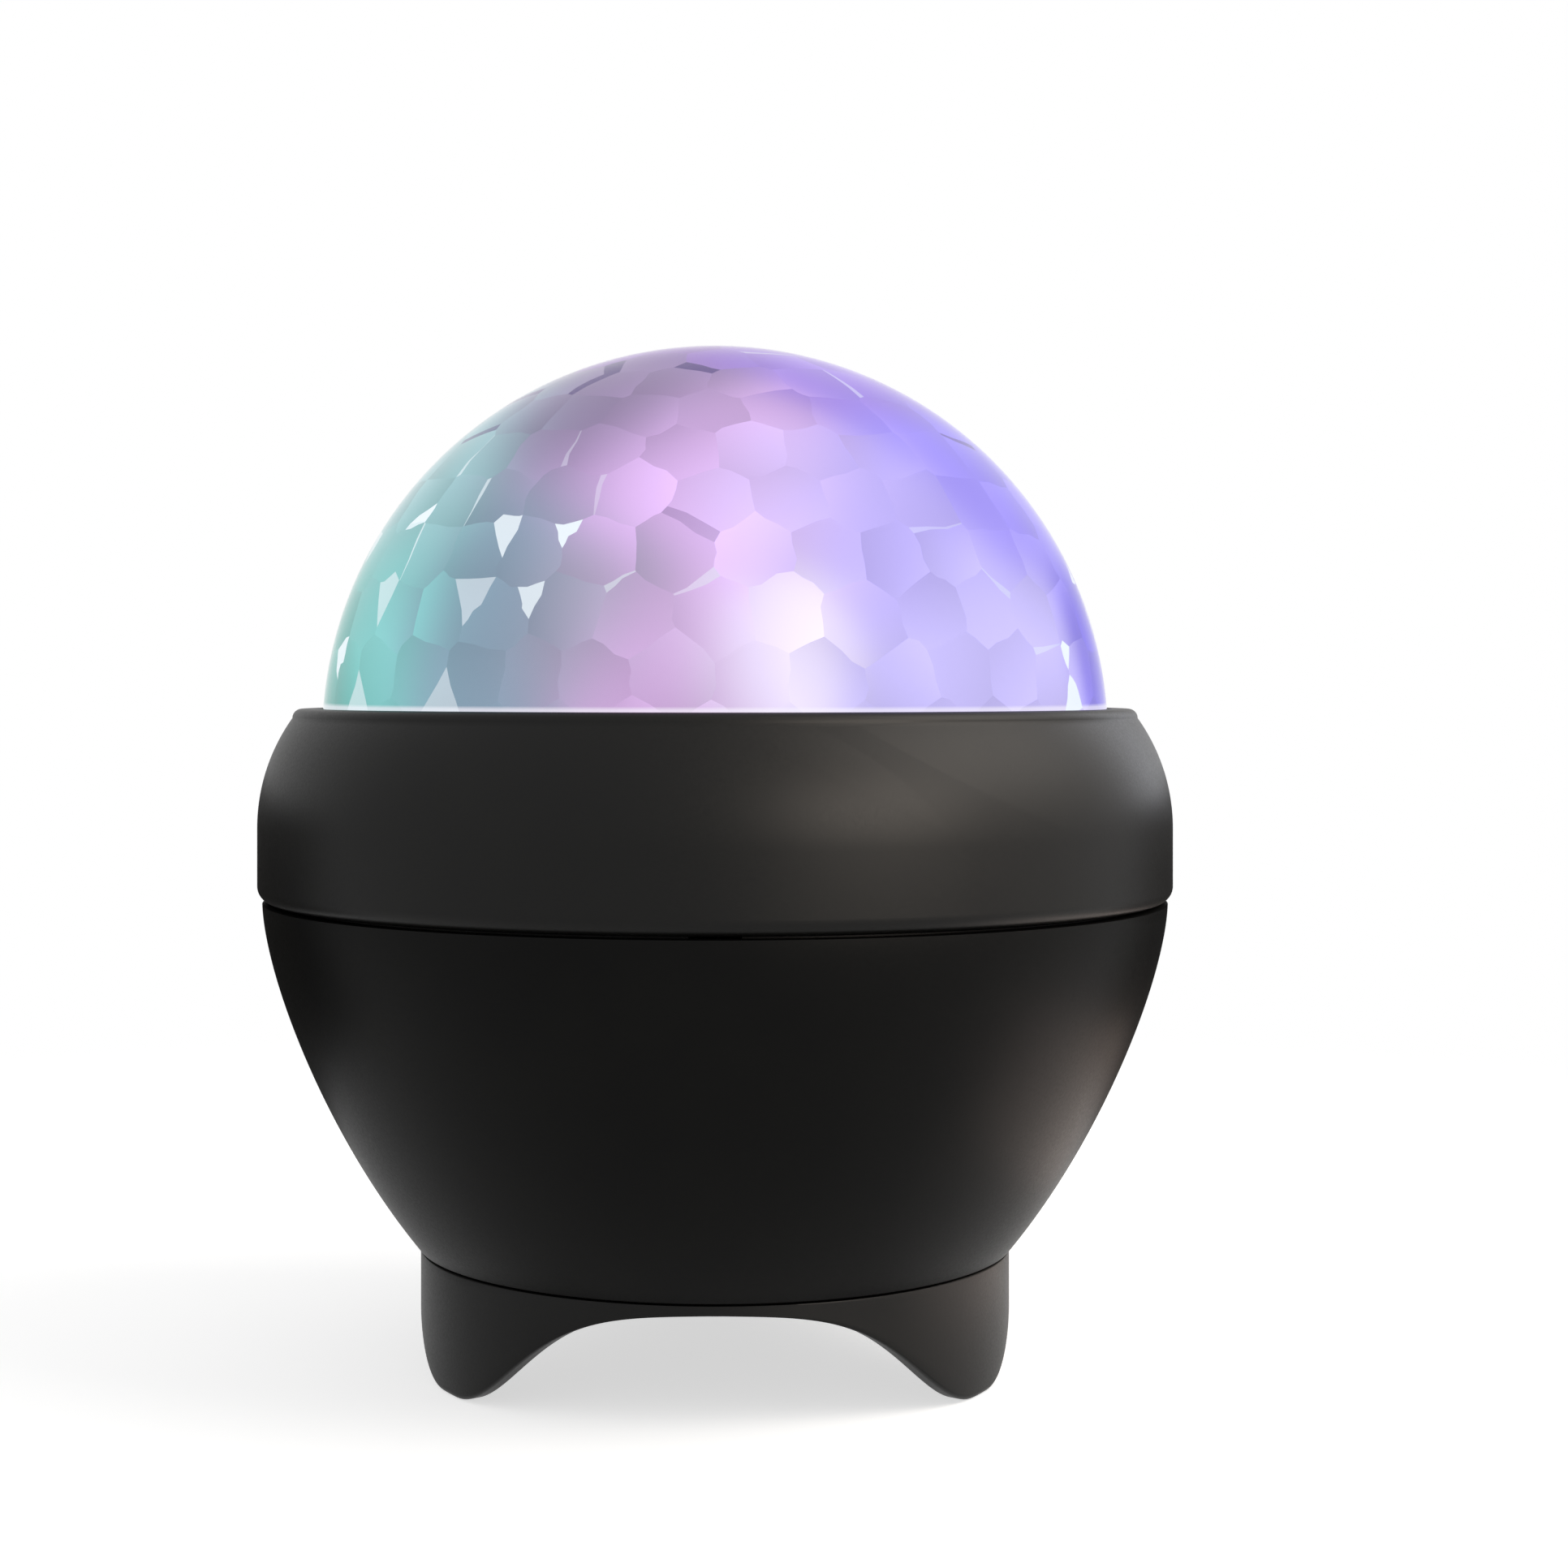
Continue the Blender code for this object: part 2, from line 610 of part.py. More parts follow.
def make_base(plastic):
    """Make the base moulding: a skirt that drops into three feet, ribs and a floor plate."""
    inner = BASE_RADIUS - FOOT_WALL
    profile = [
        (inner, BASE_TOP),
        (BASE_RADIUS, BASE_TOP),
        (BASE_RADIUS, FOOT_FILLET),
        (BASE_RADIUS - FOOT_FILLET, 0.0),
        (inner + FOOT_FILLET, 0.0),
        (inner, FOOT_FILLET),
    ]
    start = FOOT_ANGLES[0] - FOOT_FLAT_ANGLE
    base = turned("tripod_base", profile, BASE_COLUMNS, plastic, start_angle=start)
    mesh = settle(base)
    for vertex in mesh.vertices:
        angle = math.degrees(math.atan2(vertex.co.y, vertex.co.x))
        vertex.co.z += foot_lift(angle) * (1 - vertex.co.z / BASE_TOP)
    plate_radius = inner + EMBED
    join(base, post("base_plate", plate_radius, BASE_PLATE_UNDERSIDE, BASE_PLATE_TOP, steps=INNER_STEPS))
    for number, angle in enumerate(FOOT_ANGLES, 1):
        outline = [
            (plate_radius, BASE_PLATE_UNDERSIDE + EMBED),
            (inner - FOOT_RIB_LENGTH, BASE_PLATE_UNDERSIDE + EMBED),
            (inner - FOOT_RIB_LENGTH, BASE_PLATE_UNDERSIDE - EMBED),
            (plate_radius, FOOT_RIB_BOTTOM),
        ]
        upright = turned_place(angle) @ Matrix.Rotation(math.pi / 2, 4, "X")
        half = FOOT_RIB_THICKNESS / 2
        join(base, slab(f"foot_rib_{number}", [outline], -half, half, matrix=upright))
    for number in range(VENT_COUNT):
        start = VENT_CENTRE_RADIUS - VENT_LENGTH / 2
        low = (start, -VENT_WIDTH / 2, BASE_PLATE_UNDERSIDE - OVERRUN)
        high = (start + VENT_LENGTH, VENT_WIDTH / 2, BASE_PLATE_TOP + OVERRUN)
        cut(base, box(f"vent_{number}", low, high, matrix=turned_place(360.0 * number / VENT_COUNT)))
    hole = CASE_SCREW[2] + CLEARANCE
    for number, angle in enumerate(POST_ANGLES, 1):
        at = polar(POST_CIRCLE_RADIUS, angle)
        bottom = BASE_PLATE_UNDERSIDE - OVERRUN
        cut(base, post(f"base_hole_{number}", hole, bottom, BASE_PLATE_TOP + OVERRUN, at, SCREW_STEPS))
    return base


# Bowl

def button_frame():
    """Return the buttons' frame: its origin on the bowl at the rear, +Z outwards, +X to the viewer's left."""
    point, normal = bowl_outside(bowl_share_at(BUTTON_HEIGHT))
    outward = Vector((0.0, normal.x, normal.y))
    across = Vector((1.0, 0.0, 0.0))
    frame = Matrix((across, outward.cross(across), outward)).transposed().to_4x4()
    frame.translation = (0.0, point.x, point.y)
    return frame


def wall_depth(x, wall=BOWL_WALL):
    """Return how far inside the buttons' frame the bowl's inner wall lies at a sideways place."""
    outer = bowl_radius_at(BUTTON_HEIGHT)
    return outer - math.sqrt((outer - wall) ** 2 - x ** 2)


def switch_depth():
    """Return how far inside the buttons' frame the switches' faces lie, clear of the pressed flanges."""
    flange_reach = BUTTON_SPACING + BUTTON_RADIUS + BUTTON_FLANGE_WIDTH
    flange_bottom = wall_depth(flange_reach) + CLEARANCE + BUTTON_FLANGE_THICKNESS
    return flange_bottom + BUTTON_TRAVEL + SWITCH_GAP


def board_back():
    """Return where the control board's rear edge lies, so that its corners clear the bowl's wall."""
    reach = bowl_radius_at(BOARD_BOTTOM) - BOWL_WALL - BOARD_MARGIN
    return math.sqrt(reach ** 2 - (BOARD_WIDTH / 2) ** 2)


def board_place(shares):
    """Return a place on the control board from its shares."""
    across, along = shares
    return across * BOARD_WIDTH, BOARD_FRONT + along * (board_back() - BOARD_FRONT)


def socket_mouth():
    """Return where along Y the charging socket's mouth lies, just inside the bowl's outer side."""
    return bowl_radius_at(SOCKET_CENTRE_HEIGHT) - SOCKET_RECESS


def socket_outline(grow, steps):
    """Return the socket's rounded outline, with its middle at zero, grown by an amount."""
    radius = SOCKET_HEIGHT / 2 + grow
    reach = (SOCKET_WIDTH - SOCKET_HEIGHT) / 2
    right = arc((reach, 0.0), radius, -90.0, 90.0, steps)
    return right + arc((-reach, 0.0), radius, 90.0, 270.0, steps)


def socket_slab(name, grow, front, back, material=None):
    """Extrude the socket's outline between two places along Y."""
    upright = Matrix.Translation((0.0, 0.0, SOCKET_CENTRE_HEIGHT)) @ Matrix.Rotation(-math.pi / 2, 4, "X")
    return slab(name, [socket_outline(grow, SOCKET_CORNER_STEPS)], front, back, material, upright)


def make_bowl(plastic):
    """Make the bowl: wall, inward floor flange, standoffs, button holes and the socket's slot."""
    inside_end = bowl_share_at(BOWL_FLOOR_TOP + BOWL_WALL / 2)
    inside = bowl_line(-BOWL_WALL, BOWL_INSIDE_POINT_COUNT, 0.0, inside_end)
    inside[0] = (BOWL_TOP_RADIUS - BOWL_WALL, BOWL_TOP_HEIGHT)
    profile = bowl_line(0.0, BOWL_POINT_COUNT)
    profile.append((BOWL_FLANGE_INNER_RADIUS, CREASE_HEIGHT))
    profile.append((BOWL_FLANGE_INNER_RADIUS, BOWL_FLOOR_TOP))
    profile.append((inside[-1][0] - BOWL_WALL, BOWL_FLOOR_TOP))
    profile.extend(reversed(inside))
    bowl = turned("bowl_shell", profile, ROUND_STEPS, plastic)

    standoff_top = BOARD_BOTTOM - CLEARANCE
    for number, shares in enumerate(BOARD_SCREW_SHARES, 1):
        at = board_place(shares)
        bottom = BOWL_FLOOR_TOP - EMBED
        join(bowl, post(f"board_standoff_{number}", STANDOFF_RADIUS, bottom, standoff_top, at, SCREW_STEPS))
    frame = button_frame()
    back = -switch_depth() - SWITCH_HEIGHT
    reach = BUTTON_BOARD_SCREW_SPACING / 2
    inner_skin = wall_depth(reach - BUTTON_STANDOFF_RADIUS)
    outer_skin = wall_depth(reach + BUTTON_STANDOFF_RADIUS, wall=0.0)
    for side in (-1, 1):
        at = (side * reach, 0.0)
        standoff = post(
            f"button_standoff_{side}", BUTTON_STANDOFF_RADIUS, back, -(inner_skin + outer_skin) / 2, at,
            SCREW_STEPS, matrix=frame,
        )
        join(bowl, standoff)
        bore = post(
            f"button_bore_{side}", BOARD_SCREW[2] + CLEARANCE, back - OVERRUN, back + BUTTON_BORE_DEPTH, at,
            SCREW_STEPS, matrix=frame,
        )
        cut(bowl, bore)

    bore_radius = BOARD_SCREW[2] + CLEARANCE
    bore_bottom = BOARD_TOP + CLEARANCE - BOARD_SCREW[3] - CLEARANCE
    for number, shares in enumerate(BOARD_SCREW_SHARES, 1):
        at = board_place(shares)
        top = standoff_top + OVERRUN
        cut(bowl, post(f"board_bore_{number}", bore_radius, bore_bottom, top, at, SCREW_STEPS))
    for number, angle in enumerate(POST_ANGLES, 1):
        at = polar(POST_CIRCLE_RADIUS, angle)
        low = CREASE_HEIGHT - OVERRUN
        high = BOWL_FLOOR_TOP + OVERRUN
        cut(bowl, post(f"flange_hole_{number}", CASE_SCREW[2] + CLEARANCE, low, high, at, SCREW_STEPS))
    for number in (-1, 0, 1):
        at = (number * BUTTON_SPACING, 0.0)
        low = -wall_depth(BUTTON_SPACING + BUTTON_RADIUS) - OVERRUN
        hole = BUTTON_RADIUS + CLEARANCE
        cut(bowl, post(f"button_hole_{number}", hole, low, BUTTON_PROUD + OVERRUN, at, matrix=frame))
    cut(bowl, socket_slab("socket_slot", CLEARANCE, socket_mouth() - SOCKET_LENGTH / 2, BODY_RADIUS))
    return bowl


# Ring

def ring_profile():
    """Return the ring's closed section."""
    centre = (BODY_RADIUS - SHOULDER_CURVE, SHOULDER_HEIGHT)
    rim_angle = math.degrees(math.asin(SHOULDER_CLIMB / SHOULDER_CURVE))
    shoulder = arc(centre, SHOULDER_CURVE, rim_angle, 0.0, SHOULDER_POINT_COUNT)
    rim_edge = (shoulder[0][0] - RIM_FILLET, RIM_HEIGHT)
    rim_step = RIM_FILLET * FILLET_MIDDLE_SHARE
    rim_middle = (shoulder[0][0] - rim_step, RIM_HEIGHT - rim_step)
    lip_step = LIP_FILLET * FILLET_MIDDLE_SHARE
    groove_radius = RIM_OPENING_RADIUS + COLLAR_WALL
    inner_curve = SHOULDER_CURVE - RING_WALL
    groove_angle = math.degrees(math.acos((groove_radius + COLLAR_GROOVE - centre[0]) / inner_curve))
    groove = arc(centre, inner_curve, 0.0, groove_angle, GROOVE_POINT_COUNT)
    return [
        (RIM_OPENING_RADIUS, RIM_HEIGHT),
        rim_edge,
        rim_middle,
        *shoulder,
        (BODY_RADIUS, SEAM_HEIGHT + LIP_FILLET),
        (BODY_RADIUS - lip_step, SEAM_HEIGHT + lip_step),
        (BODY_RADIUS - LIP_FILLET, SEAM_HEIGHT),
        (TONGUE_RADIUS, SEAM_HEIGHT),
        (TONGUE_RADIUS, SEAM_HEIGHT - TONGUE_LENGTH),
        (TONGUE_INNER_RADIUS, SEAM_HEIGHT - TONGUE_LENGTH),
        (TONGUE_INNER_RADIUS, SEAM_HEIGHT + LEDGE_THICKNESS),
        (RING_INNER_RADIUS, SEAM_HEIGHT + LEDGE_THICKNESS),
        *groove,
        (groove_radius, groove[-1][1]),
        (groove_radius, COLLAR_FOOT),
        (RIM_OPENING_RADIUS, COLLAR_FOOT),
    ]


def make_ring(plastic):
    """Make the top ring with its collar, tongue and three screw bosses."""
    ring = turned("top_ring", ring_profile(), ROUND_STEPS, plastic)
    boss_bottom = DECK_HEIGHT + CLEARANCE
    boss_top = UPSTAND_TOP - CLEARANCE
    for number, angle in enumerate(POST_ANGLES, 1):
        at = polar(BOSS_CIRCLE_RADIUS, angle)
        join(ring, post(f"boss_{number}", BOSS_RADIUS, boss_bottom, boss_top, at, SMALL_STEPS))
        low = (BOSS_CIRCLE_RADIUS + BOSS_RADIUS - 2 * EMBED, -BOSS_WEB_THICKNESS / 2, boss_bottom + EMBED)
        high = (RING_INNER_RADIUS + EMBED, BOSS_WEB_THICKNESS / 2, SHOULDER_HEIGHT)
        join(ring, box(f"boss_web_{number}", low, high, matrix=turned_place(angle)))
    for number, angle in enumerate(POST_ANGLES, 1):
        at = polar(BOSS_CIRCLE_RADIUS, angle)
        bore = DECK_SCREW[2] + CLEARANCE
        depth = boss_bottom + BOSS_BORE_DEPTH
        cut(ring, post(f"boss_bore_{number}", bore, boss_bottom - OVERRUN, depth, at, SCREW_STEPS))
        half = EAR_RADIUS + CLEARANCE
        low = (TONGUE_INNER_RADIUS - OVERRUN, -half, SEAM_HEIGHT - TONGUE_LENGTH - OVERRUN)
        high = (RING_INNER_RADIUS + CLEARANCE, half, SEAM_HEIGHT + LEDGE_THICKNESS + CLEARANCE)
        cut(ring, box(f"tongue_notch_{number}", low, high, matrix=turned_place(angle)))
    return ring


# Dome

def facet_directions():
    """Return the outward directions of the facets, in staggered rows from the pole down."""
    directions = [Vector((0.0, 0.0, 1.0))]
    for row in range(1, FACET_ROWS + 1):
        slope = math.pi / 2 * row / FACET_ROWS
        count = round(FACETS_ROUND_EQUATOR * math.sin(slope))
        shift = 0.5 * (row % 2)
        for i in range(count):
            turn = math.radians(FACET_START_ANGLE) + math.tau * (i + shift) / count
            directions.append(
                Vector((math.sin(slope) * math.cos(turn), math.sin(slope) * math.sin(turn), math.cos(slope)))
            )
    return directions


def faceted_core(name):
    """Make the solid that hollows the dome: a block planed flat once for each facet."""
    apothem = DOME_RADIUS - DOME_WALL
    bottom = DOME_FLANGE_BOTTOM - OVERRUN - DOME_CENTRE_HEIGHT
    bm = bmesh.new()
    bmesh.ops.create_cube(bm, size=1.0)
    size = Vector((2 * DOME_RADIUS, 2 * DOME_RADIUS, DOME_RADIUS - bottom))
    bmesh.ops.transform(bm, matrix=Matrix.Diagonal((*size, 1.0)), verts=bm.verts)
    bmesh.ops.translate(bm, vec=(0.0, 0.0, bottom + size.z / 2), verts=bm.verts)
    for direction in facet_directions():
        geometry = bm.verts[:] + bm.edges[:] + bm.faces[:]
        planed = bmesh.ops.bisect_plane(
            bm, geom=geometry, dist=WELD_DISTANCE, plane_co=direction * apothem, plane_no=direction,
            clear_outer=True,
        )
        rim = [item for item in planed["geom_cut"] if isinstance(item, bmesh.types.BMEdge)]
        if rim:
            bmesh.ops.edgeloop_fill(bm, edges=rim)
    bmesh.ops.translate(bm, vec=(0.0, 0.0, DOME_CENTRE_HEIGHT), verts=bm.verts)
    return place_object(name, mesh_from(name, bm))


def make_dome(acrylic):
    """Make the dome: smooth outside, a flange under the collar and a faceted inside."""
    centre = (0.0, DOME_CENTRE_HEIGHT)
    rows = ROUND_STEPS // 4 + 1
    outline = arc(centre, DOME_RADIUS, 90.0, 0.0, rows)
    outline[0] = (0.0, DOME_CENTRE_HEIGHT + DOME_RADIUS)
    outline += [
        (DOME_RADIUS, DOME_FLANGE_TOP),
        (DOME_FLANGE_RADIUS, DOME_FLANGE_TOP),
        (DOME_FLANGE_RADIUS, DOME_FLANGE_BOTTOM),
        (0.0, DOME_FLANGE_BOTTOM),
    ]
    dome = turned("crystal_dome", outline, ROUND_STEPS, acrylic)
    cut(dome, faceted_core("facets"))
    return dome


# Deck

def motor_place():
    """Return the motor's place: X points out from the middle, Y across, Z up, at the floor."""
    return turned_place(PINION_ANGLE, GEAR_CENTRE_DISTANCE)


def motor_screw_place(side, height):
    """Return the place of one of the motor bracket's two screws."""
    reach = GEARBOX_SIZE[1] / 2 + CLEARANCE + BRACKET_WALL + BRACKET_EAR_LENGTH / 2
    return motor_place() @ Matrix.Translation((0.0, side * reach, height))


def make_deck(plastic):
    """Make the white deck: a disc with an upstand below the dome, three ears and three posts."""
    upstand_inner = UPSTAND_RADIUS - UPSTAND_WALL
    profile = [
        (DECK_HOLE_RADIUS, DECK_HEIGHT),
        (upstand_inner, DECK_HEIGHT),
        (upstand_inner, UPSTAND_TOP),
        (UPSTAND_RADIUS, UPSTAND_TOP),
        (UPSTAND_RADIUS, DECK_HEIGHT),
        (DECK_RADIUS, DECK_HEIGHT),
        (DECK_RADIUS, DECK_UNDERSIDE),
        (DECK_HOLE_RADIUS, DECK_UNDERSIDE),
    ]
    deck = turned("deck_plate", profile, INNER_STEPS, plastic)
    post_bottom = BOWL_FLOOR_TOP + CLEARANCE
    for number, angle in enumerate(POST_ANGLES, 1):
        at = polar(BOSS_CIRCLE_RADIUS, angle)
        ear_top = DECK_HEIGHT - EAR_STEP
        join(deck, post(f"ear_{number}", EAR_RADIUS, DECK_UNDERSIDE, ear_top, at, SMALL_STEPS))
        at = polar(POST_CIRCLE_RADIUS, angle)
        top = DECK_UNDERSIDE + EMBED
        join(deck, post(f"post_{number}", POST_RADIUS, post_bottom, top, at, SMALL_STEPS))
    through = (DECK_UNDERSIDE - OVERRUN, DECK_HEIGHT + OVERRUN)
    for number, angle in enumerate(POST_ANGLES, 1):
        at = polar(BOSS_CIRCLE_RADIUS, angle)
        cut(deck, post(f"ear_hole_{number}", DECK_SCREW[2] + CLEARANCE, *through, at, SCREW_STEPS))
        at = polar(POST_CIRCLE_RADIUS, angle)
        bore = CASE_SCREW[2] + CLEARANCE
        depth = post_bottom + POST_BORE_DEPTH
        cut(deck, post(f"post_bore_{number}", bore, post_bottom - OVERRUN, depth, at, SCREW_STEPS))
    for number, angle in enumerate(SINK_SCREW_ANGLES, 1):
        at = polar(SINK_SCREW_CIRCLE_RADIUS, angle)
        cut(deck, post(f"sink_hole_{number}", SINK_SCREW[2] + CLEARANCE, *through, at, SCREW_STEPS))
    for side in (-1, 1):
        hole = post(
            f"motor_hole_{side}", MOTOR_SCREW[2] + CLEARANCE, *through, steps=SCREW_STEPS,
            matrix=motor_screw_place(side, 0.0),
        )
        cut(deck, hole)
    cut(deck, post("shaft_opening", BRACKET_HOLE_RADIUS, *through, matrix=motor_place()))
    low = (LEAD_SLOT_RADIUS - LEAD_SLOT_SIZE[0] / 2, -LEAD_SLOT_SIZE[1] / 2, through[0])
    high = (LEAD_SLOT_RADIUS + LEAD_SLOT_SIZE[0] / 2, LEAD_SLOT_SIZE[1] / 2, through[1])
    cut(deck, box("lead_slot", low, high, matrix=turned_place(LEAD_SLOT_ANGLE)))
    return deck


# Heat sink, lamps and their board

def make_heat_sink(aluminium):
    """Make the heat sink: a flange, a hub and straight fins between the screws."""
    sink = post("heat_sink", SINK_RADIUS, SINK_UNDERSIDE, SINK_TOP, steps=INNER_STEPS, material=aluminium)
    step = 360.0 / SINK_FIN_COUNT
    star = []
    root_half = math.degrees(math.asin(SINK_FIN_THICKNESS / 2 / SINK_HUB_RADIUS))
    tip_half = math.degrees(math.asin(SINK_FIN_THICKNESS / 2 / SINK_FIN_RADIUS))
    for number in range(SINK_FIN_COUNT):
        middle = SINK_SCREW_ANGLES[0] + step * (number + 0.5)
        star.append(polar(SINK_HUB_RADIUS, middle - root_half))
        star.append(polar(SINK_FIN_RADIUS, middle - tip_half))
        star.append(polar(SINK_FIN_RADIUS, middle + tip_half))
        star.append(polar(SINK_HUB_RADIUS, middle + root_half))
    join(sink, slab("fins", [star], SINK_FIN_BOTTOM, SINK_UNDERSIDE + EMBED))
    bore_bottom = SINK_TOP - AXLE_SOCKET_DEPTH
    cut(sink, post("axle_socket", AXLE_HOLE_RADIUS, bore_bottom, SINK_TOP + OVERRUN))
    through = (SINK_UNDERSIDE - OVERRUN, SINK_TOP + OVERRUN)
    for number, angle in enumerate(SINK_SCREW_ANGLES, 1):
        at = polar(SINK_SCREW_CIRCLE_RADIUS, angle)
        cut(sink, post(f"sink_bore_{number}", SINK_SCREW[2] + CLEARANCE, *through, at, SCREW_STEPS))
    for number, angle in enumerate(LED_SCREW_ANGLES, 1):
        at = polar(LED_SCREW_CIRCLE_RADIUS, angle)
        cut(sink, post(f"led_bore_{number}", LED_SCREW[2] + CLEARANCE, *through, at, SCREW_STEPS))
    return sink


def make_led_board(laminate):
    """Make the lamps' round board with its holes."""
    board = post(
        "led_board", LED_BOARD_RADIUS, LED_BOARD_BOTTOM, LED_BOARD_TOP, steps=2 * SMALL_STEPS,
        material=laminate,
    )
    through = (LED_BOARD_BOTTOM - OVERRUN, LED_BOARD_TOP + OVERRUN)
    cut(board, post("led_board_hole", AXLE_HOLE_RADIUS, *through))
    for number, angle in enumerate(LED_SCREW_ANGLES, 1):
        at = polar(LED_SCREW_CIRCLE_RADIUS, angle)
        cut(board, post(f"led_hole_{number}", LED_SCREW[2] + CLEARANCE, *through, at, SCREW_STEPS))
    return board


def make_lamp(name, angle, material):
    """Make one lamp: a square package under a round lens."""
    bottom = LED_BOARD_TOP + CLEARANCE
    top = bottom + LED_HEIGHT
    half = LED_WIDTH / 2
    place = turned_place(angle, LED_CIRCLE_RADIUS)
    lamp = box(name, (-half, -half, bottom), (half, half, top), material, place)
    lens = arc((0.0, top), LED_LENS_RADIUS, 90.0, 0.0, SCREW_STEPS // 2 + 1)
    lens[0] = (0.0, top + LED_LENS_RADIUS)
    lens += [(LED_LENS_RADIUS, top - EMBED), (0.0, top - EMBED)]
    join(lamp, turned(name + "_lens", lens, SCREW_STEPS, matrix=place))
    return lamp


# Axle, washer and clip

def make_axle(steel):
    """Make the ripple wheel's axle: a pin with a shoulder and a groove for its clip."""
    foot = SINK_TOP - AXLE_SOCKET_DEPTH + CLEARANCE
    groove = AXLE_RADIUS - CLIP_GROOVE_DEPTH
    top = CLIP_TOP + CLEARANCE + AXLE_TIP_LENGTH
    profile = [
        (0.0, top),
        (groove, top),
        (AXLE_RADIUS, top - CLIP_GROOVE_DEPTH),
        (AXLE_RADIUS, CLIP_TOP + CLEARANCE),
        (groove, CLIP_TOP + CLEARANCE),
        (groove, CLIP_BOTTOM - CLEARANCE / 2),
        (AXLE_RADIUS, CLIP_BOTTOM - CLEARANCE / 2),
        (AXLE_RADIUS, AXLE_SHOULDER_TOP),
        (AXLE_SHOULDER_RADIUS, AXLE_SHOULDER_TOP),
        (AXLE_SHOULDER_RADIUS, AXLE_SHOULDER_BOTTOM),
        (AXLE_RADIUS, AXLE_SHOULDER_BOTTOM),
        (AXLE_RADIUS, foot),
        (0.0, foot),
    ]
    return turned("lens_axle", profile, SMALL_STEPS, steel)


def make_washer(nylon):
    """Make the washer between the axle's shoulder and the wheel's hub."""
    top = WASHER_BOTTOM + WASHER_THICKNESS
    profile = [
        (AXLE_HOLE_RADIUS, top),
        (WASHER_RADIUS, top),
        (WASHER_RADIUS, WASHER_BOTTOM),
        (AXLE_HOLE_RADIUS, WASHER_BOTTOM),
    ]
    return turned("axle_washer", profile, SMALL_STEPS, nylon)


def make_clip(steel):
    """Make the open clip that keeps the wheel on its axle."""
    inner = AXLE_RADIUS - CLIP_GROOVE_DEPTH + CLEARANCE
    half = math.degrees(math.asin(CLIP_OPENING / 2 / inner))
    outer_half = math.degrees(math.asin(CLIP_OPENING / 2 / CLIP_RADIUS))
    outline = arc((0.0, 0.0), CLIP_RADIUS, outer_half, 360.0 - outer_half, SMALL_STEPS)
    outline += arc((0.0, 0.0), inner, 360.0 - half, half, SMALL_STEPS)
    return slab("axle_clip", [outline], CLIP_BOTTOM, CLIP_TOP, steel)


# Gears

def involute(base_radius, radius):
    """Return the involute function at a radius, in radians."""
    angle = math.acos(min(base_radius / radius, 1.0))
    return math.tan(angle) - angle


def gear_outline(teeth, first_tooth_angle, flank_points):
    """Return a gear's outline, with a tooth's middle at a given angle in degrees."""
    pitch = teeth * GEAR_MODULE / 2
    base = pitch * math.cos(math.radians(PRESSURE_ANGLE))
    root = pitch - DEDENDUM_SHARE * GEAR_MODULE
    tip = pitch + ADDENDUM_SHARE * GEAR_MODULE
    half_at_pitch = (math.pi * GEAR_MODULE / 2 - GEAR_BACKLASH / 2) / 2 / pitch
    foot = max(base, root)
    radii = [foot + (tip - foot) * i / (flank_points - 1) for i in range(flank_points)]
    flank = [(r, half_at_pitch + involute(base, pitch) - involute(base, r)) for r in radii]
    if foot > root:
        flank.insert(0, (root, flank[0][1]))
    outline = []
    for tooth in range(teeth):
        middle = math.radians(first_tooth_angle) + math.tau * tooth / teeth
        for radius, half in flank:
            outline.append(polar(radius, math.degrees(middle - half)))
        for radius, half in reversed(flank):
            outline.append(polar(radius, math.degrees(middle + half)))
    return outline


def circle(radius, steps):
    """Return a circle's points."""
    return [polar(radius, 360.0 * i / steps) for i in range(steps)]


def ripple(x, y):
    """Return the height of the wheel's wavy top above its mean, at a point."""
    total = 0.0
    for turn, pace in zip(RIPPLE_ANGLES, RIPPLE_PACE_SHARES):
        along = x * math.cos(math.radians(turn)) + y * math.sin(math.radians(turn))
        total += math.sin(math.tau * pace * along / RIPPLE_LENGTH)
    return RIPPLE_HEIGHT * total


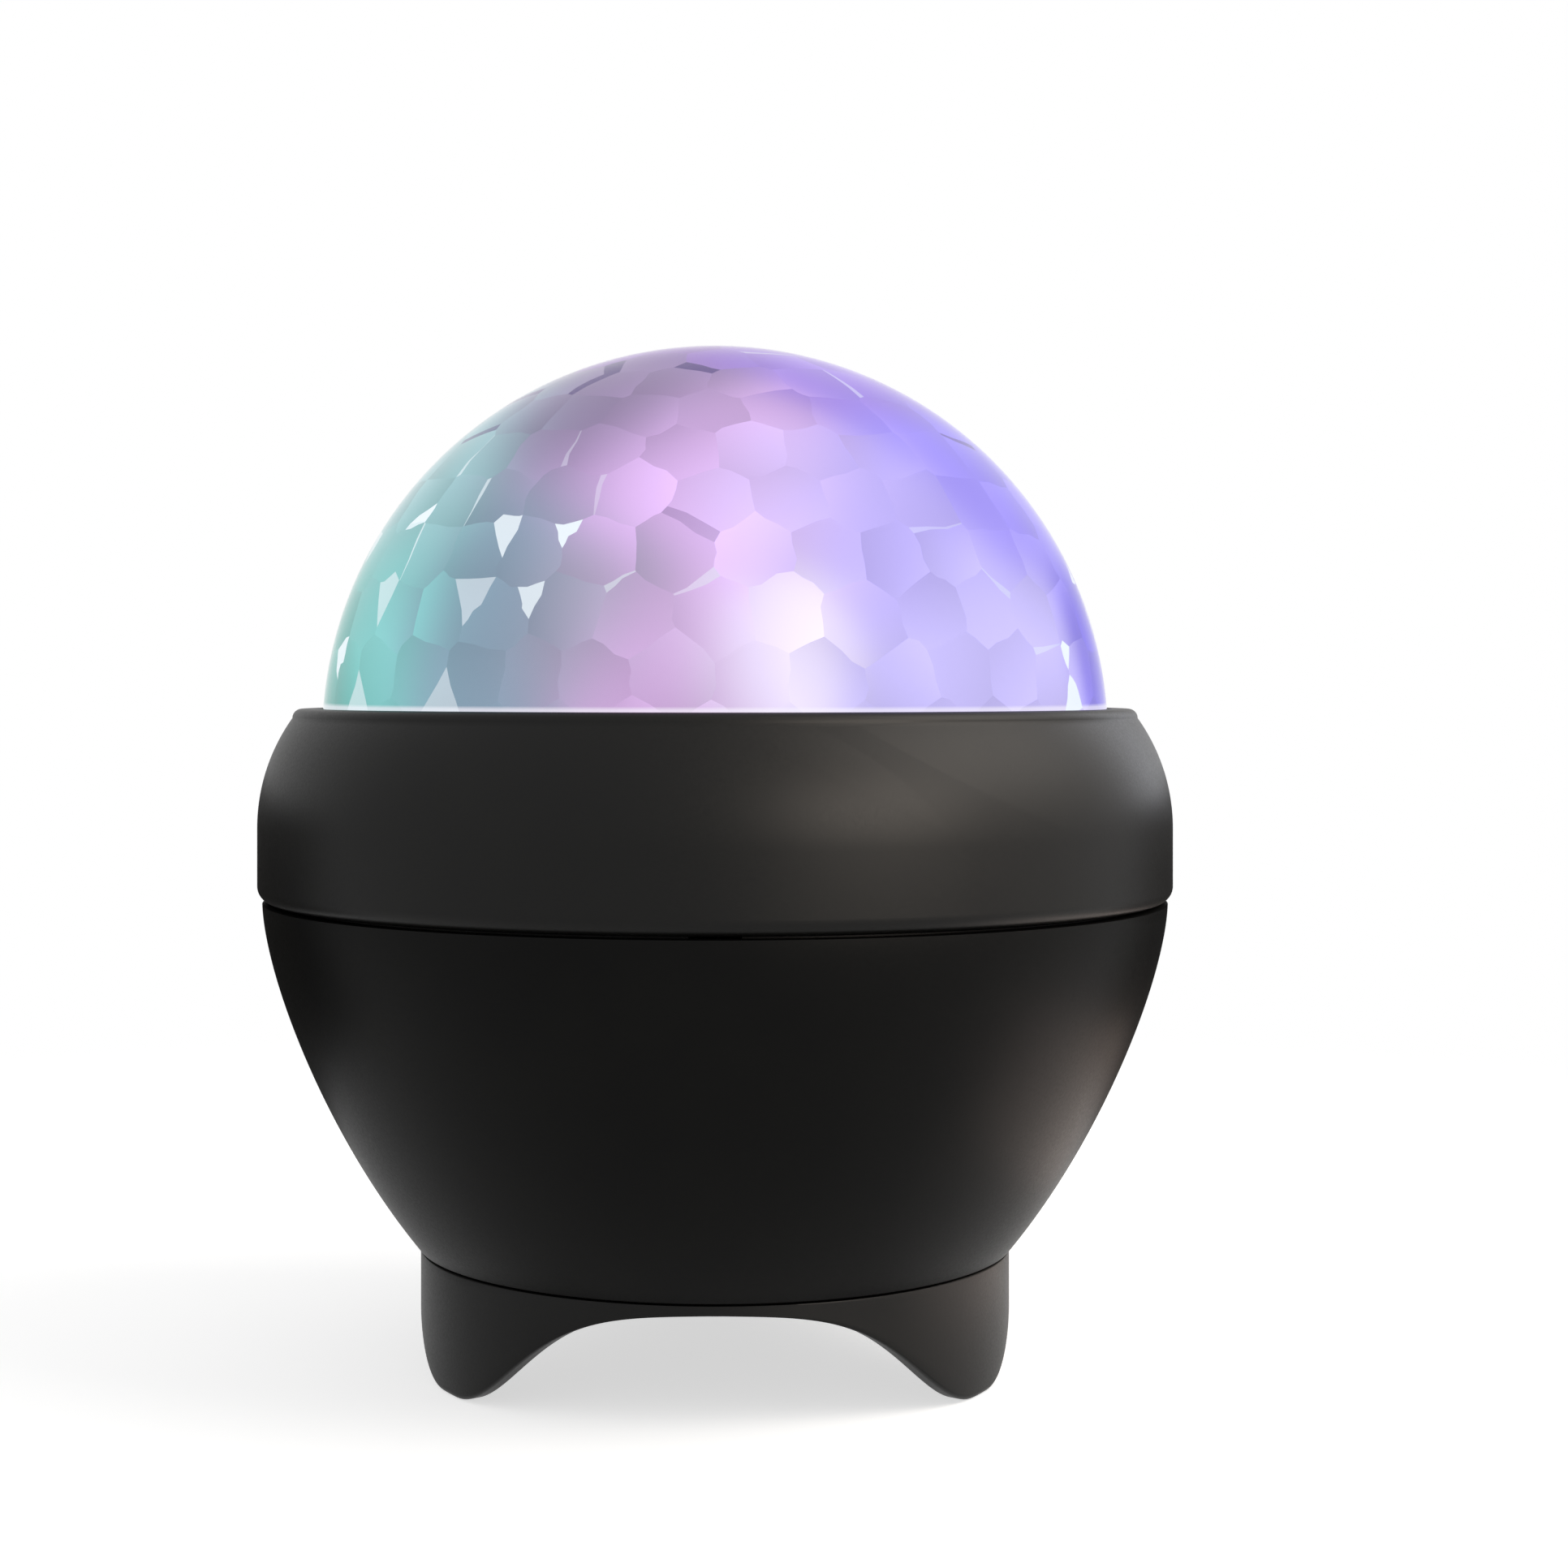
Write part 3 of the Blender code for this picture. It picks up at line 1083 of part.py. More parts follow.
def make_wheel(acrylic):
    """Make the clear ripple wheel: toothed rim, wavy disc and hub with its bore."""
    step = 360.0 / WHEEL_TEETH
    rim_inner = WHEEL_PITCH_RADIUS - DEDENDUM_SHARE * GEAR_MODULE - WHEEL_RIM_WIDTH
    outline = gear_outline(WHEEL_TEETH, PINION_ANGLE + step / 2, WHEEL_FLANK_POINT_COUNT)
    rim_bottom = WHEEL_DISC_BOTTOM - CLEARANCE
    rim_top = rim_bottom + WHEEL_RIM_THICKNESS
    wheel = slab(
        "ripple_wheel", [outline, circle(rim_inner, INNER_STEPS)], rim_bottom, rim_top, acrylic
    )
    reach = rim_inner + EMBED
    inner = WHEEL_HUB_RADIUS - EMBED
    disc_top = WHEEL_DISC_BOTTOM + WHEEL_DISC_THICKNESS
    profile = [(inner, WHEEL_DISC_BOTTOM)]
    for i in range(RIPPLE_RINGS):
        profile.append((inner + (reach - inner) * i / (RIPPLE_RINGS - 1), disc_top))
    profile.append((reach, WHEEL_DISC_BOTTOM))
    disc = turned("ripple_disc", profile, RIPPLE_STEPS)
    for vertex in settle(disc).vertices:
        if vertex.co.z > (disc_top + WHEEL_DISC_BOTTOM) / 2:
            edge = min((reach - vertex.co.xy.length) / WHEEL_RIM_WIDTH, 1.0)
            vertex.co.z += ripple(vertex.co.x, vertex.co.y) * max(edge, 0.0)
    join(wheel, disc)
    join(wheel, post("wheel_hub", WHEEL_HUB_RADIUS, WHEEL_HUB_BOTTOM, WHEEL_HUB_TOP))
    cut(wheel, post("wheel_bore", AXLE_HOLE_RADIUS, WHEEL_HUB_BOTTOM - OVERRUN, WHEEL_HUB_TOP + OVERRUN))
    return wheel


def make_pinion(nylon):
    """Make the drive pinion with a hub above its teeth."""
    bottom = WHEEL_DISC_BOTTOM - CLEARANCE - PINION_EXTRA_FACE
    top = bottom + WHEEL_RIM_THICKNESS + 2 * PINION_EXTRA_FACE
    toward_wheel = 180.0
    outline = gear_outline(PINION_TEETH, toward_wheel, PINION_FLANK_POINT_COUNT)
    pinion = slab("drive_pinion", [outline], bottom, top, nylon, motor_place())
    hub = post("pinion_hub", PINION_HUB_RADIUS, top - EMBED, top + PINION_HUB_LENGTH, matrix=motor_place())
    join(pinion, hub)
    high = top + PINION_HUB_LENGTH + OVERRUN
    cut(pinion, post("pinion_bore", SHAFT_HOLE_RADIUS, bottom - OVERRUN, high, matrix=motor_place()))
    return pinion


# Motor, its shaft and bracket

def make_shaft(steel):
    """Make the motor's shaft with its flat."""
    bottom = GEARBOX_TOP - SHAFT_SOCKET_DEPTH + CLEARANCE
    pinion_top = WHEEL_DISC_BOTTOM - CLEARANCE + WHEEL_RIM_THICKNESS + PINION_EXTRA_FACE + PINION_HUB_LENGTH
    top = pinion_top + SHAFT_TIP_LENGTH
    shaft = post("motor_shaft", SHAFT_RADIUS, bottom, top, material=steel, matrix=motor_place())
    low = (SHAFT_RADIUS - SHAFT_FLAT, -SHAFT_RADIUS - OVERRUN, GEARBOX_TOP + CLEARANCE)
    high = (SHAFT_RADIUS + OVERRUN, SHAFT_RADIUS + OVERRUN, top + OVERRUN)
    cut(shaft, box("shaft_flat", low, high, matrix=motor_place()))
    return shaft


def make_motor(metal):
    """Make the gear motor: gearbox, flattened can and end cap."""
    depth, width, height = GEARBOX_SIZE
    place = motor_place()
    low = (-depth / 2, -width / 2, GEARBOX_TOP - height)
    motor = box("gear_motor", low, (depth / 2, width / 2, GEARBOX_TOP), metal, place)
    round_edges(motor, GEARBOX_CORNER)
    can_top = GEARBOX_TOP - height + EMBED
    can_bottom = can_top - MOTOR_CAN_LENGTH
    can = post("motor_can", width / 2, can_bottom, can_top, steps=2 * SMALL_STEPS, matrix=place)
    flat = depth / 2 - MOTOR_CAN_SET_IN
    low = (-flat, -width, can_bottom - OVERRUN)
    sides = box("can_sides", low, (flat, width, can_top + OVERRUN), matrix=place)
    combine(can, [sides], "INTERSECT")
    join(motor, can)
    cap_bottom = can_bottom - MOTOR_CAP_LENGTH
    join(motor, post("motor_cap", MOTOR_CAP_RADIUS, cap_bottom, can_bottom + EMBED, matrix=place))
    socket_bottom = GEARBOX_TOP - SHAFT_SOCKET_DEPTH
    cut(motor, post("shaft_socket", SHAFT_HOLE_RADIUS, socket_bottom, GEARBOX_TOP + OVERRUN, matrix=place))
    return motor


def make_bracket(plastic):
    """Make the motor's bracket: a sleeve round the gearbox and two ears under the deck."""
    depth, width, _ = GEARBOX_SIZE
    top = DECK_UNDERSIDE - CLEARANCE
    place = motor_place()
    half_depth = depth / 2 + CLEARANCE
    half_width = width / 2 + CLEARANCE
    outer = (half_depth + BRACKET_WALL, half_width + BRACKET_WALL)
    low = (-outer[0], -outer[1], top - BRACKET_DEPTH)
    bracket = box("motor_bracket", low, (outer[0], outer[1], top), plastic, place)
    reach = outer[1] + BRACKET_EAR_LENGTH
    ear_half = BRACKET_EAR_LENGTH / 2
    low = (-ear_half, -reach, top - BRACKET_EAR_THICKNESS)
    join(bracket, box("bracket_ears", low, (ear_half, reach, top - WELD_DISTANCE), matrix=place))
    low = (-half_depth, -half_width, top - BRACKET_DEPTH - OVERRUN)
    cut(bracket, box("bracket_pocket", low, (half_depth, half_width, top - BRACKET_WALL), matrix=place))
    through = (top - BRACKET_DEPTH, top + OVERRUN)
    cut(bracket, post("bracket_hole", BRACKET_HOLE_RADIUS, *through, matrix=place))
    for side in (-1, 1):
        hole = post(
            f"ear_bore_{side}", MOTOR_SCREW[2] + CLEARANCE, *through, steps=SCREW_STEPS,
            matrix=motor_screw_place(side, 0.0),
        )
        cut(bracket, hole)
    return bracket


# Control board and what it carries

def make_control_board(laminate):
    """Make the control board with a tongue under the socket."""
    half = BOARD_WIDTH / 2
    tongue = BOARD_TONGUE_WIDTH / 2
    back = board_back()
    tongue_back = socket_mouth() - BOARD_TONGUE_GAP
    outline = [
        (-half, BOARD_FRONT),
        (half, BOARD_FRONT),
        (half, back),
        (tongue, back),
        (tongue, tongue_back),
        (-tongue, tongue_back),
        (-tongue, back),
        (-half, back),
    ]
    board = slab("control_board", [outline], BOARD_BOTTOM, BOARD_TOP, laminate)
    through = (BOARD_BOTTOM - OVERRUN, BOARD_TOP + OVERRUN)
    for number, shares in enumerate(BOARD_SCREW_SHARES, 1):
        at = board_place(shares)
        cut(board, post(f"board_hole_{number}", BOARD_SCREW[2] + CLEARANCE, *through, at, SCREW_STEPS))
    return board


def make_chip(epoxy):
    """Make the driver chip with its legs."""
    length, width, height = CHIP_SIZE
    bottom = BOARD_TOP + CLEARANCE
    x, y = board_place(CHIP_PLACE_SHARES)
    low = (x - length / 2, y - width / 2, bottom)
    chip = box("driver_chip", low, (x + length / 2, y + width / 2, bottom + height), epoxy)
    for number in range(CHIP_LEGS_PER_SIDE):
        middle = x + length * ((number + 0.5) / CHIP_LEGS_PER_SIDE - 0.5)
        reach = width / 2 + CHIP_LEG_LENGTH
        low = (middle - CHIP_LEG_WIDTH / 2, y - reach, bottom + CHIP_LEG_RISE)
        high = (middle + CHIP_LEG_WIDTH / 2, y + reach, bottom + CHIP_LEG_RISE + CHIP_LEG_THICKNESS)
        join(chip, box(f"chip_legs_{number}", low, high))
    return chip


def make_capacitor(name, at, metal):
    """Make a round capacitor with the groove near its foot."""
    bottom = BOARD_TOP + CLEARANCE
    top = bottom + CAPACITOR_HEIGHT
    groove = bottom + CAPACITOR_GROOVE_RISE
    profile = [
        (0.0, top),
        (CAPACITOR_RADIUS - CAPACITOR_GROOVE, top),
        (CAPACITOR_RADIUS, top - CAPACITOR_GROOVE),
        (CAPACITOR_RADIUS, groove + CAPACITOR_GROOVE),
        (CAPACITOR_RADIUS - CAPACITOR_GROOVE, groove),
        (CAPACITOR_RADIUS, groove - CAPACITOR_GROOVE),
        (CAPACITOR_RADIUS, bottom),
        (0.0, bottom),
    ]
    return turned(name, profile, SMALL_STEPS // 2, metal, Matrix.Translation((*at, 0.0)))


def make_socket(steel):
    """Make the charging socket: a rounded shell with a tongue inside."""
    mouth = socket_mouth()
    back = mouth - SOCKET_LENGTH
    socket = socket_slab("usb_socket", 0.0, back, mouth, steel)
    inside_back = back + SOCKET_BACK_WALL
    cut(socket, socket_slab("socket_inside", -SOCKET_WALL, inside_back, mouth + OVERRUN))
    low = (-SOCKET_TONGUE_WIDTH / 2, inside_back - EMBED, SOCKET_CENTRE_HEIGHT - SOCKET_TONGUE_THICKNESS / 2)
    high = (
        SOCKET_TONGUE_WIDTH / 2,
        mouth - SOCKET_TONGUE_SETBACK,
        SOCKET_CENTRE_HEIGHT + SOCKET_TONGUE_THICKNESS / 2,
    )
    join(socket, box("socket_tongue", low, high))
    return socket


# Buttons, their switches and board

def make_button(name, x, plastic):
    """Make a push button: a cap that follows the bowl, a flange behind the wall and a stem."""
    place = button_frame() @ Matrix.Translation((x, 0.0, 0.0))
    flange_radius = BUTTON_RADIUS + BUTTON_FLANGE_WIDTH
    flange_top = -wall_depth(abs(x) + flange_radius) - CLEARANCE
    flange_bottom = flange_top - BUTTON_FLANGE_THICKNESS
    top = BUTTON_PROUD + OVERRUN
    stem_end = -switch_depth() - BUTTON_STEM_ENTRY
    profile = [
        (0.0, top),
        (BUTTON_RADIUS, top),
        (BUTTON_RADIUS, flange_top),
        (flange_radius, flange_top),
        (flange_radius, flange_bottom),
        (BUTTON_STEM_RADIUS, flange_bottom),
        (BUTTON_STEM_RADIUS, stem_end),
        (0.0, stem_end),
    ]
    button = turned(name, profile, SMALL_STEPS, plastic, place)
    skin = bowl_line(BUTTON_PROUD, BOWL_POINT_COUNT)
    skin = [(0.0, skin[0][1])] + skin + [(0.0, skin[-1][1])]
    limit = turned(name + "_limit", skin, 2 * ROUND_STEPS)
    combine(button, [limit], "INTERSECT")
    return button


def make_switch(name, x, plastic):
    """Make the small switch behind a button, bored for its stem."""
    place = button_frame() @ Matrix.Translation((x, 0.0, 0.0))
    half = SWITCH_WIDTH / 2
    low = (-half, -half, -switch_depth() - SWITCH_HEIGHT)
    switch = box(name, low, (half, half, -switch_depth()), plastic, place)
    round_edges(switch, SWITCH_CORNER)
    depth = BUTTON_STEM_ENTRY + BUTTON_TRAVEL + CLEARANCE
    bore = BUTTON_STEM_RADIUS + CLEARANCE
    top = -switch_depth() + OVERRUN
    bottom = -switch_depth() - depth
    cut(switch, post(name + "_bore", bore, bottom, top, steps=SMALL_STEPS // 2, matrix=place))
    return switch


def make_button_board(laminate):
    """Make the narrow board behind the switches."""
    frame = button_frame()
    top = -switch_depth() - SWITCH_HEIGHT - CLEARANCE
    half_length = BUTTON_BOARD_LENGTH / 2
    half_width = BUTTON_BOARD_WIDTH / 2
    low = (-half_length, -half_width, top - BUTTON_BOARD_THICKNESS)
    board = box("button_board", low, (half_length, half_width, top), laminate, frame)
    for side in (-1, 1):
        at = (side * BUTTON_BOARD_SCREW_SPACING / 2, 0.0)
        hole = post(
            f"button_board_hole_{side}", BOARD_SCREW[2] + CLEARANCE, top - BUTTON_BOARD_THICKNESS - OVERRUN,
            top + OVERRUN, at, SCREW_STEPS, matrix=frame,
        )
        cut(board, hole)
    return board


# Inner leads

def smooth_route(points, count):
    """Return points along a smooth curve through a route's own points."""
    route = [Vector(point) for point in points]
    ends = [2 * route[0] - route[1]] + route + [2 * route[-1] - route[-2]]
    smooth = []
    for i in range(count):
        place = (len(route) - 1) * i / (count - 1)
        section = min(int(place), len(route) - 2)
        t = place - section
        a, b, c, d = ends[section:section + 4]
        bend = (
            2 * b + (c - a) * t + (2 * a - 5 * b + 4 * c - d) * t ** 2
            + (3 * b - a - 3 * c + d) * t ** 3
        )
        smooth.append(bend / 2)
    return smooth


def make_lead(name, points, radius, rubber):
    """Make a lead as a tube along a smooth route."""
    curve = bpy.data.curves.new(name, "CURVE")
    curve.dimensions = "3D"
    curve.bevel_depth = radius
    curve.bevel_resolution = 2
    curve.use_fill_caps = True
    spline = curve.splines.new("POLY")
    route = smooth_route(points, LEAD_POINT_COUNT)
    spline.points.add(len(route) - 1)
    for point, place in zip(spline.points, route):
        point.co = (*place, 1.0)
    curve.materials.append(rubber)
    lead = bpy.data.objects.new(name, curve)
    bpy.data.collections[PARTS_NAME].objects.link(lead)
    return lead


def led_lead_route():
    """Return the lamps' lead: off their board, through the deck's slot and down to the control board."""
    over = DECK_HEIGHT + CLEARANCE + 2 * LED_LEAD_RADIUS + LEAD_RISE
    start = polar((LED_CIRCLE_RADIUS + LED_BOARD_RADIUS) / 2 + LED_LEAD_RADIUS, LEAD_SLOT_ANGLE)
    slot = polar(LEAD_SLOT_RADIUS, LEAD_SLOT_ANGLE)
    low = BOARD_TOP + CLEARANCE
    end = board_place(LED_LEAD_END_SHARES)
    half_way = ((slot[0] + end[0]) / 2, (slot[1] + end[1]) / 2)
    return [
        (*start, LED_BOARD_TOP + 2 * CLEARANCE),
        (*start, LED_BOARD_TOP + 2 * CLEARANCE + LED_LEAD_RADIUS),
        (*polar((LED_BOARD_RADIUS + LEAD_SLOT_RADIUS) / 2, LEAD_SLOT_ANGLE), over),
        (*slot, DECK_HEIGHT),
        (*slot, SINK_UNDERSIDE),
        (*slot, SINK_FIN_BOTTOM),
        (*half_way, (low + SINK_FIN_BOTTOM) / 2),
        (*end, low + SINK_FIN_DEPTH / 2),
        (*end, low),
    ]


def motor_lead_route():
    """Return the motor's lead, from its end cap to the control board."""
    cap = GEARBOX_TOP - GEARBOX_SIZE[2] + EMBED - MOTOR_CAN_LENGTH - MOTOR_CAP_LENGTH
    x, y = polar(GEAR_CENTRE_DISTANCE, PINION_ANGLE)
    end = board_place(MOTOR_LEAD_END_SHARES)
    low = BOARD_TOP + CLEARANCE
    drop = cap - low
    return [
        (x, y, cap - CLEARANCE),
        (x, y, cap - CLEARANCE - drop / 4),
        ((3 * x + end[0]) / 4, (3 * y + end[1]) / 4, low + drop / 3),
        ((x + 3 * end[0]) / 4, (y + 3 * end[1]) / 4, low + drop / 3),
        (*end, low + drop / 4),
        (*end, low),
    ]


def button_lead_route():
    """Return the buttons' lead, from the back of their board to the control board."""
    back = -switch_depth() - SWITCH_HEIGHT - CLEARANCE - BUTTON_BOARD_THICKNESS - CLEARANCE
    frame = button_frame()
    start = frame @ Vector((BUTTON_LEAD_OFFSET, 0.0, back))
    off = frame @ Vector((BUTTON_LEAD_OFFSET, 0.0, back - LEAD_RISE))
    end = board_place(BUTTON_LEAD_END_SHARES)
    low = BOARD_TOP + CLEARANCE
    drop = off.z - low
    return [
        start,
        off,
        ((off.x + end[0]) / 2, end[1] + (off.y - end[1]) / 2, low + drop * LEAD_SHOULDER_SHARE),
        (*end, low + drop / 3),
        (*end, low),
    ]


# The whole lamp

def make_screws(steel, black_steel):
    """Make every screw at its place."""
    for number, angle in enumerate(POST_ANGLES, 1):
        place = turned_place(angle, POST_CIRCLE_RADIUS, BASE_PLATE_UNDERSIDE - CLEARANCE)
        screw_part(f"base_screw_{number}", CASE_SCREW, facing_down(place), black_steel)
        place = turned_place(angle, BOSS_CIRCLE_RADIUS, DECK_UNDERSIDE - CLEARANCE)
        screw_part(f"deck_screw_{number}", DECK_SCREW, facing_down(place), steel)
    for number, angle in enumerate(SINK_SCREW_ANGLES, 1):
        place = turned_place(angle, SINK_SCREW_CIRCLE_RADIUS, DECK_HEIGHT + CLEARANCE)
        screw_part(f"heat_sink_screw_{number}", SINK_SCREW, place, steel)
    for number, angle in enumerate(LED_SCREW_ANGLES, 1):
        place = turned_place(angle, LED_SCREW_CIRCLE_RADIUS, LED_BOARD_TOP + CLEARANCE)
        screw_part(f"led_board_screw_{number}", LED_SCREW, place, steel)
    for number, side in enumerate((-1, 1), 1):
        place = motor_screw_place(side, DECK_HEIGHT + CLEARANCE)
        screw_part(f"motor_screw_{number}", MOTOR_SCREW, place, steel)
        back = -switch_depth() - SWITCH_HEIGHT - 2 * CLEARANCE - BUTTON_BOARD_THICKNESS
        x = side * BUTTON_BOARD_SCREW_SPACING / 2
        place = facing_down(button_frame() @ Matrix.Translation((x, 0.0, back)))
        sizes = (*BOARD_SCREW[:3], BUTTON_BOARD_THICKNESS + BUTTON_BORE_DEPTH)
        screw_part(f"button_board_screw_{number}", sizes, place, steel)
    for number, shares in enumerate(BOARD_SCREW_SHARES, 1):
        place = Matrix.Translation((*board_place(shares), BOARD_TOP + CLEARANCE))
        screw_part(f"board_screw_{number}", BOARD_SCREW, place, steel)


def main():
    """Make every piece of the lamp."""
    start_scene()
    black = finish("black_satin_abs", (0.012, 0.012, 0.013), 0.42)
    button_black = finish("black_button_abs", (0.020, 0.020, 0.021), 0.50)
    white = finish("white_abs", (0.75, 0.75, 0.73), 0.45)
    dome = finish("clear_tinted_acrylic", (0.62, 0.56, 0.78), 0.05, alpha=0.35)
    clear = finish("clear_acrylic", (0.85, 0.87, 0.90), 0.05, alpha=0.45)
    aluminium = finish("aluminium", (0.70, 0.71, 0.72), 0.35, 1.0)
    steel = finish("bright_steel", (0.62, 0.62, 0.63), 0.30, 1.0)
    black_steel = finish("blackened_steel", (0.05, 0.05, 0.05), 0.40, 1.0)
    motor_metal = finish("motor_steel", (0.52, 0.52, 0.50), 0.35, 1.0)
    nylon = finish("natural_nylon", (0.80, 0.78, 0.70), 0.50)
    green_board = finish("green_laminate", (0.015, 0.12, 0.05), 0.40)
    white_board = finish("white_laminate", (0.80, 0.80, 0.80), 0.35)
    epoxy = finish("black_epoxy", (0.015, 0.015, 0.016), 0.55)
    lead_black = finish("black_pvc", (0.015, 0.015, 0.015), 0.45)

    make_base(black)
    make_bowl(black)
    make_ring(black)
    make_dome(dome)
    make_deck(white)
    make_heat_sink(aluminium)
    make_led_board(white_board)
    lamps = (
        ("led_blue", 0.0, (0.10, 0.20, 0.90)),
        ("led_white", 90.0, (0.90, 0.88, 0.75)),
        ("led_green", 180.0, (0.10, 0.75, 0.25)),
        ("led_red", 270.0, (0.85, 0.08, 0.06)),
    )
    for name, angle, colour in lamps:
        make_lamp(name, angle, finish(name + "_lens", colour, 0.20))
    make_axle(steel)
    make_washer(nylon)
    make_clip(steel)
    make_wheel(clear)
    make_pinion(nylon)
    make_shaft(steel)
    make_motor(motor_metal)
    make_bracket(white)
    make_control_board(green_board)
    make_chip(epoxy)
    for number, shares in enumerate(CAPACITOR_PLACE_SHARES, 1):
        make_capacitor(f"capacitor_{number}", board_place(shares), aluminium)
    make_socket(steel)
    make_button_board(green_board)
    for name, side in (("power", -1), ("colour", 0), ("spin", 1)):
        make_button(name + "_button", side * BUTTON_SPACING, button_black)
        make_switch(name + "_switch", side * BUTTON_SPACING, epoxy)
    make_screws(steel, black_steel)
    make_lead("led_lead", led_lead_route(), LED_LEAD_RADIUS, lead_black)
    make_lead("motor_lead", motor_lead_route(), MOTOR_LEAD_RADIUS, lead_black)
    make_lead("button_lead", button_lead_route(), BUTTON_LEAD_RADIUS, lead_black)
    for obj in bpy.data.collections[PARTS_NAME].objects:
        if obj.type == "MESH":
            mesh = settle(obj)
            mesh.shade_smooth()
            mesh.set_sharp_from_angle(angle=math.radians(SMOOTH_ANGLE))


main()
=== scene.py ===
"""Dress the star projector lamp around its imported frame.

The dome, ring, bowl, base, buttons, screws and charging socket are remade with fine, smooth meshes
from the same sizes as the solids. The pieces inside keep their solids and get real finishes.

Lengths are metres, the floor is z = 0, +Z is up and the front is -Y.
"""

from __future__ import annotations

import abc
import functools
import json
import logging
import math
import random
from dataclasses import dataclass
from enum import Enum

import bmesh
import bpy
from mathutils import Matrix, Vector
from mathutils.noise import noise_vector, seed_set

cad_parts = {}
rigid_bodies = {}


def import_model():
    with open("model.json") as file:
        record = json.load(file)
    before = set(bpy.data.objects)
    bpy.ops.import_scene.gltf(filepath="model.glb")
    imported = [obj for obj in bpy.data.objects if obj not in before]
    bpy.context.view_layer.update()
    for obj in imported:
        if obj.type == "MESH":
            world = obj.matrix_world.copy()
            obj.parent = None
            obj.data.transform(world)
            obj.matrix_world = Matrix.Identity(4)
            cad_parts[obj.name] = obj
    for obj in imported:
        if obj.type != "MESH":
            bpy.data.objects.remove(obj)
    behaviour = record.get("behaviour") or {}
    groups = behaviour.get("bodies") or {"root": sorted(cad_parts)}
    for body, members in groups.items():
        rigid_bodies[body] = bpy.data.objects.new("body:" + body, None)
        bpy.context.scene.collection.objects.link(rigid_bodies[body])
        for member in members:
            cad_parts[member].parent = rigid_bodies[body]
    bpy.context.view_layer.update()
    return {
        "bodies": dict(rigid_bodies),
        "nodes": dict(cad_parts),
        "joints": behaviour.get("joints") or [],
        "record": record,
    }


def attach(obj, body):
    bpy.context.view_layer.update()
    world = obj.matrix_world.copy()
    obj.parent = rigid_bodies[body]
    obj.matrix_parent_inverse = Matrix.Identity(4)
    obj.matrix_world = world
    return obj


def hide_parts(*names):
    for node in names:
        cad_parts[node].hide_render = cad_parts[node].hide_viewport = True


log = logging.getLogger("star_projector")

Point = tuple[float, float]
Place = tuple[float, float, float]
Source = bpy.types.Node | bpy.types.NodeSocket

MM = 0.001
UP = Vector((0.0, 0.0, 1.0))

# Sizes that several pieces share

# The gap round what moves or is pushed in
GAP = 0.3 * MM
# A cutter's run past the face that it opens
OVERRUN = 1.0 * MM
# How far a joined shape is sunk into the next
EMBED = 0.6 * MM
WELD_DISTANCE = 0.001 * MM
# The angle in degrees from which an edge stays sharp
SHARP_ANGLE = 32.0
ROD_STEPS = 48
RIM_HEIGHT = 86.1 * MM
FOOT_ANGLES = (-30.0, 90.0, 210.0)
# The case screws stand between the feet, and the ring's bosses above them
SCREW_ANGLES = (-90.0, 30.0, 150.0)
SCREW_CIRCLE = 31.0 * MM
SCREW_BORE = 1.4 * MM
BOSS_CIRCLE = 54.5 * MM
# The main board's screws as x and y, and how far the button board's stand to each side
BOARD_SCREWS = tuple(
    (x * MM, y * MM) for x, y in ((-17.63, 24.4), (17.63, 24.4), (-11.89, 33.4), (11.89, 33.4))
)
REAR_SCREW_REACH = 17.0 * MM

# A mottle runs mostly between these
MOTTLE_SPAN = {"From Min": 0.3, "From Max": 0.7}

# Names of the record's body and slots that recur
HOUSING = "housing"
BODY_BLACK = "body_black"
BRIGHT_STEEL = "bright_steel"

# The facets' own attributes for their painted light: a random shift of where it is looked up, a random level
# with a painted shading gradient, and the strength of painted glints and painted shade on what was clipped
FACET_TONE = "facet_tone"
FACET_LEVEL_AND_PAINTED_SHADING = "facet_level_and_painted_shading"
CLIP_PAINTED_GLINT = "clip_painted_glint"
CLIP_PAINTED_SHADE = "clip_painted_shade"


# Node trees

def linear(colour: str) -> tuple[float, float, float, float]:
    """Turn an sRGB hex colour into linear red, green, blue and alpha.

    Args:
        colour: Six hex digits, such as "1a1a1a".

    Returns:
        The linear colour with an alpha of 1.
    """
    channels = [int(colour[i:i + 2], 16) / 255 for i in (0, 2, 4)]
    values = [c / 12.92 if c <= 0.04045 else ((c + 0.055) / 1.055) ** 2.4 for c in channels]
    return (values[0], values[1], values[2], 1.0)


def wire(node: bpy.types.Node, values: dict | None = None, links: dict | None = None) -> bpy.types.Node:
    """Set a node's sockets and link what comes in.

    Args:
        node: The node.
        values: Input socket's name or number to its value.
        links: Input socket's name or number to the output socket that feeds it, or to a node,
            whose first output in use then feeds it.

    Returns:
        The same node.
    """
    for key, value in (values or {}).items():
        node.inputs[key].default_value = value
    for key, source in (links or {}).items():
        if isinstance(source, bpy.types.Node):
            source = next(socket for socket in source.outputs if socket.enabled)
        node.id_data.links.new(source, node.inputs[key])
    return node


def add_node(
    tree: bpy.types.NodeTree,
    kind: str,
    values: dict | None = None,
    links: dict | None = None,
    **settings: object,
) -> bpy.types.Node:
    """Add a node with its settings, its sockets' values and the links that come in.

    Args:
        tree: The node tree.
        kind: The node's type name.
        values: The sockets' values, as wire takes them.
        links: The links, as wire takes them.
        **settings: The node's own properties.

    Returns:
        The new node.
    """
    node = tree.nodes.new(kind)
    for name, value in settings.items():
        setattr(node, name, value)
    return wire(node, values, links)


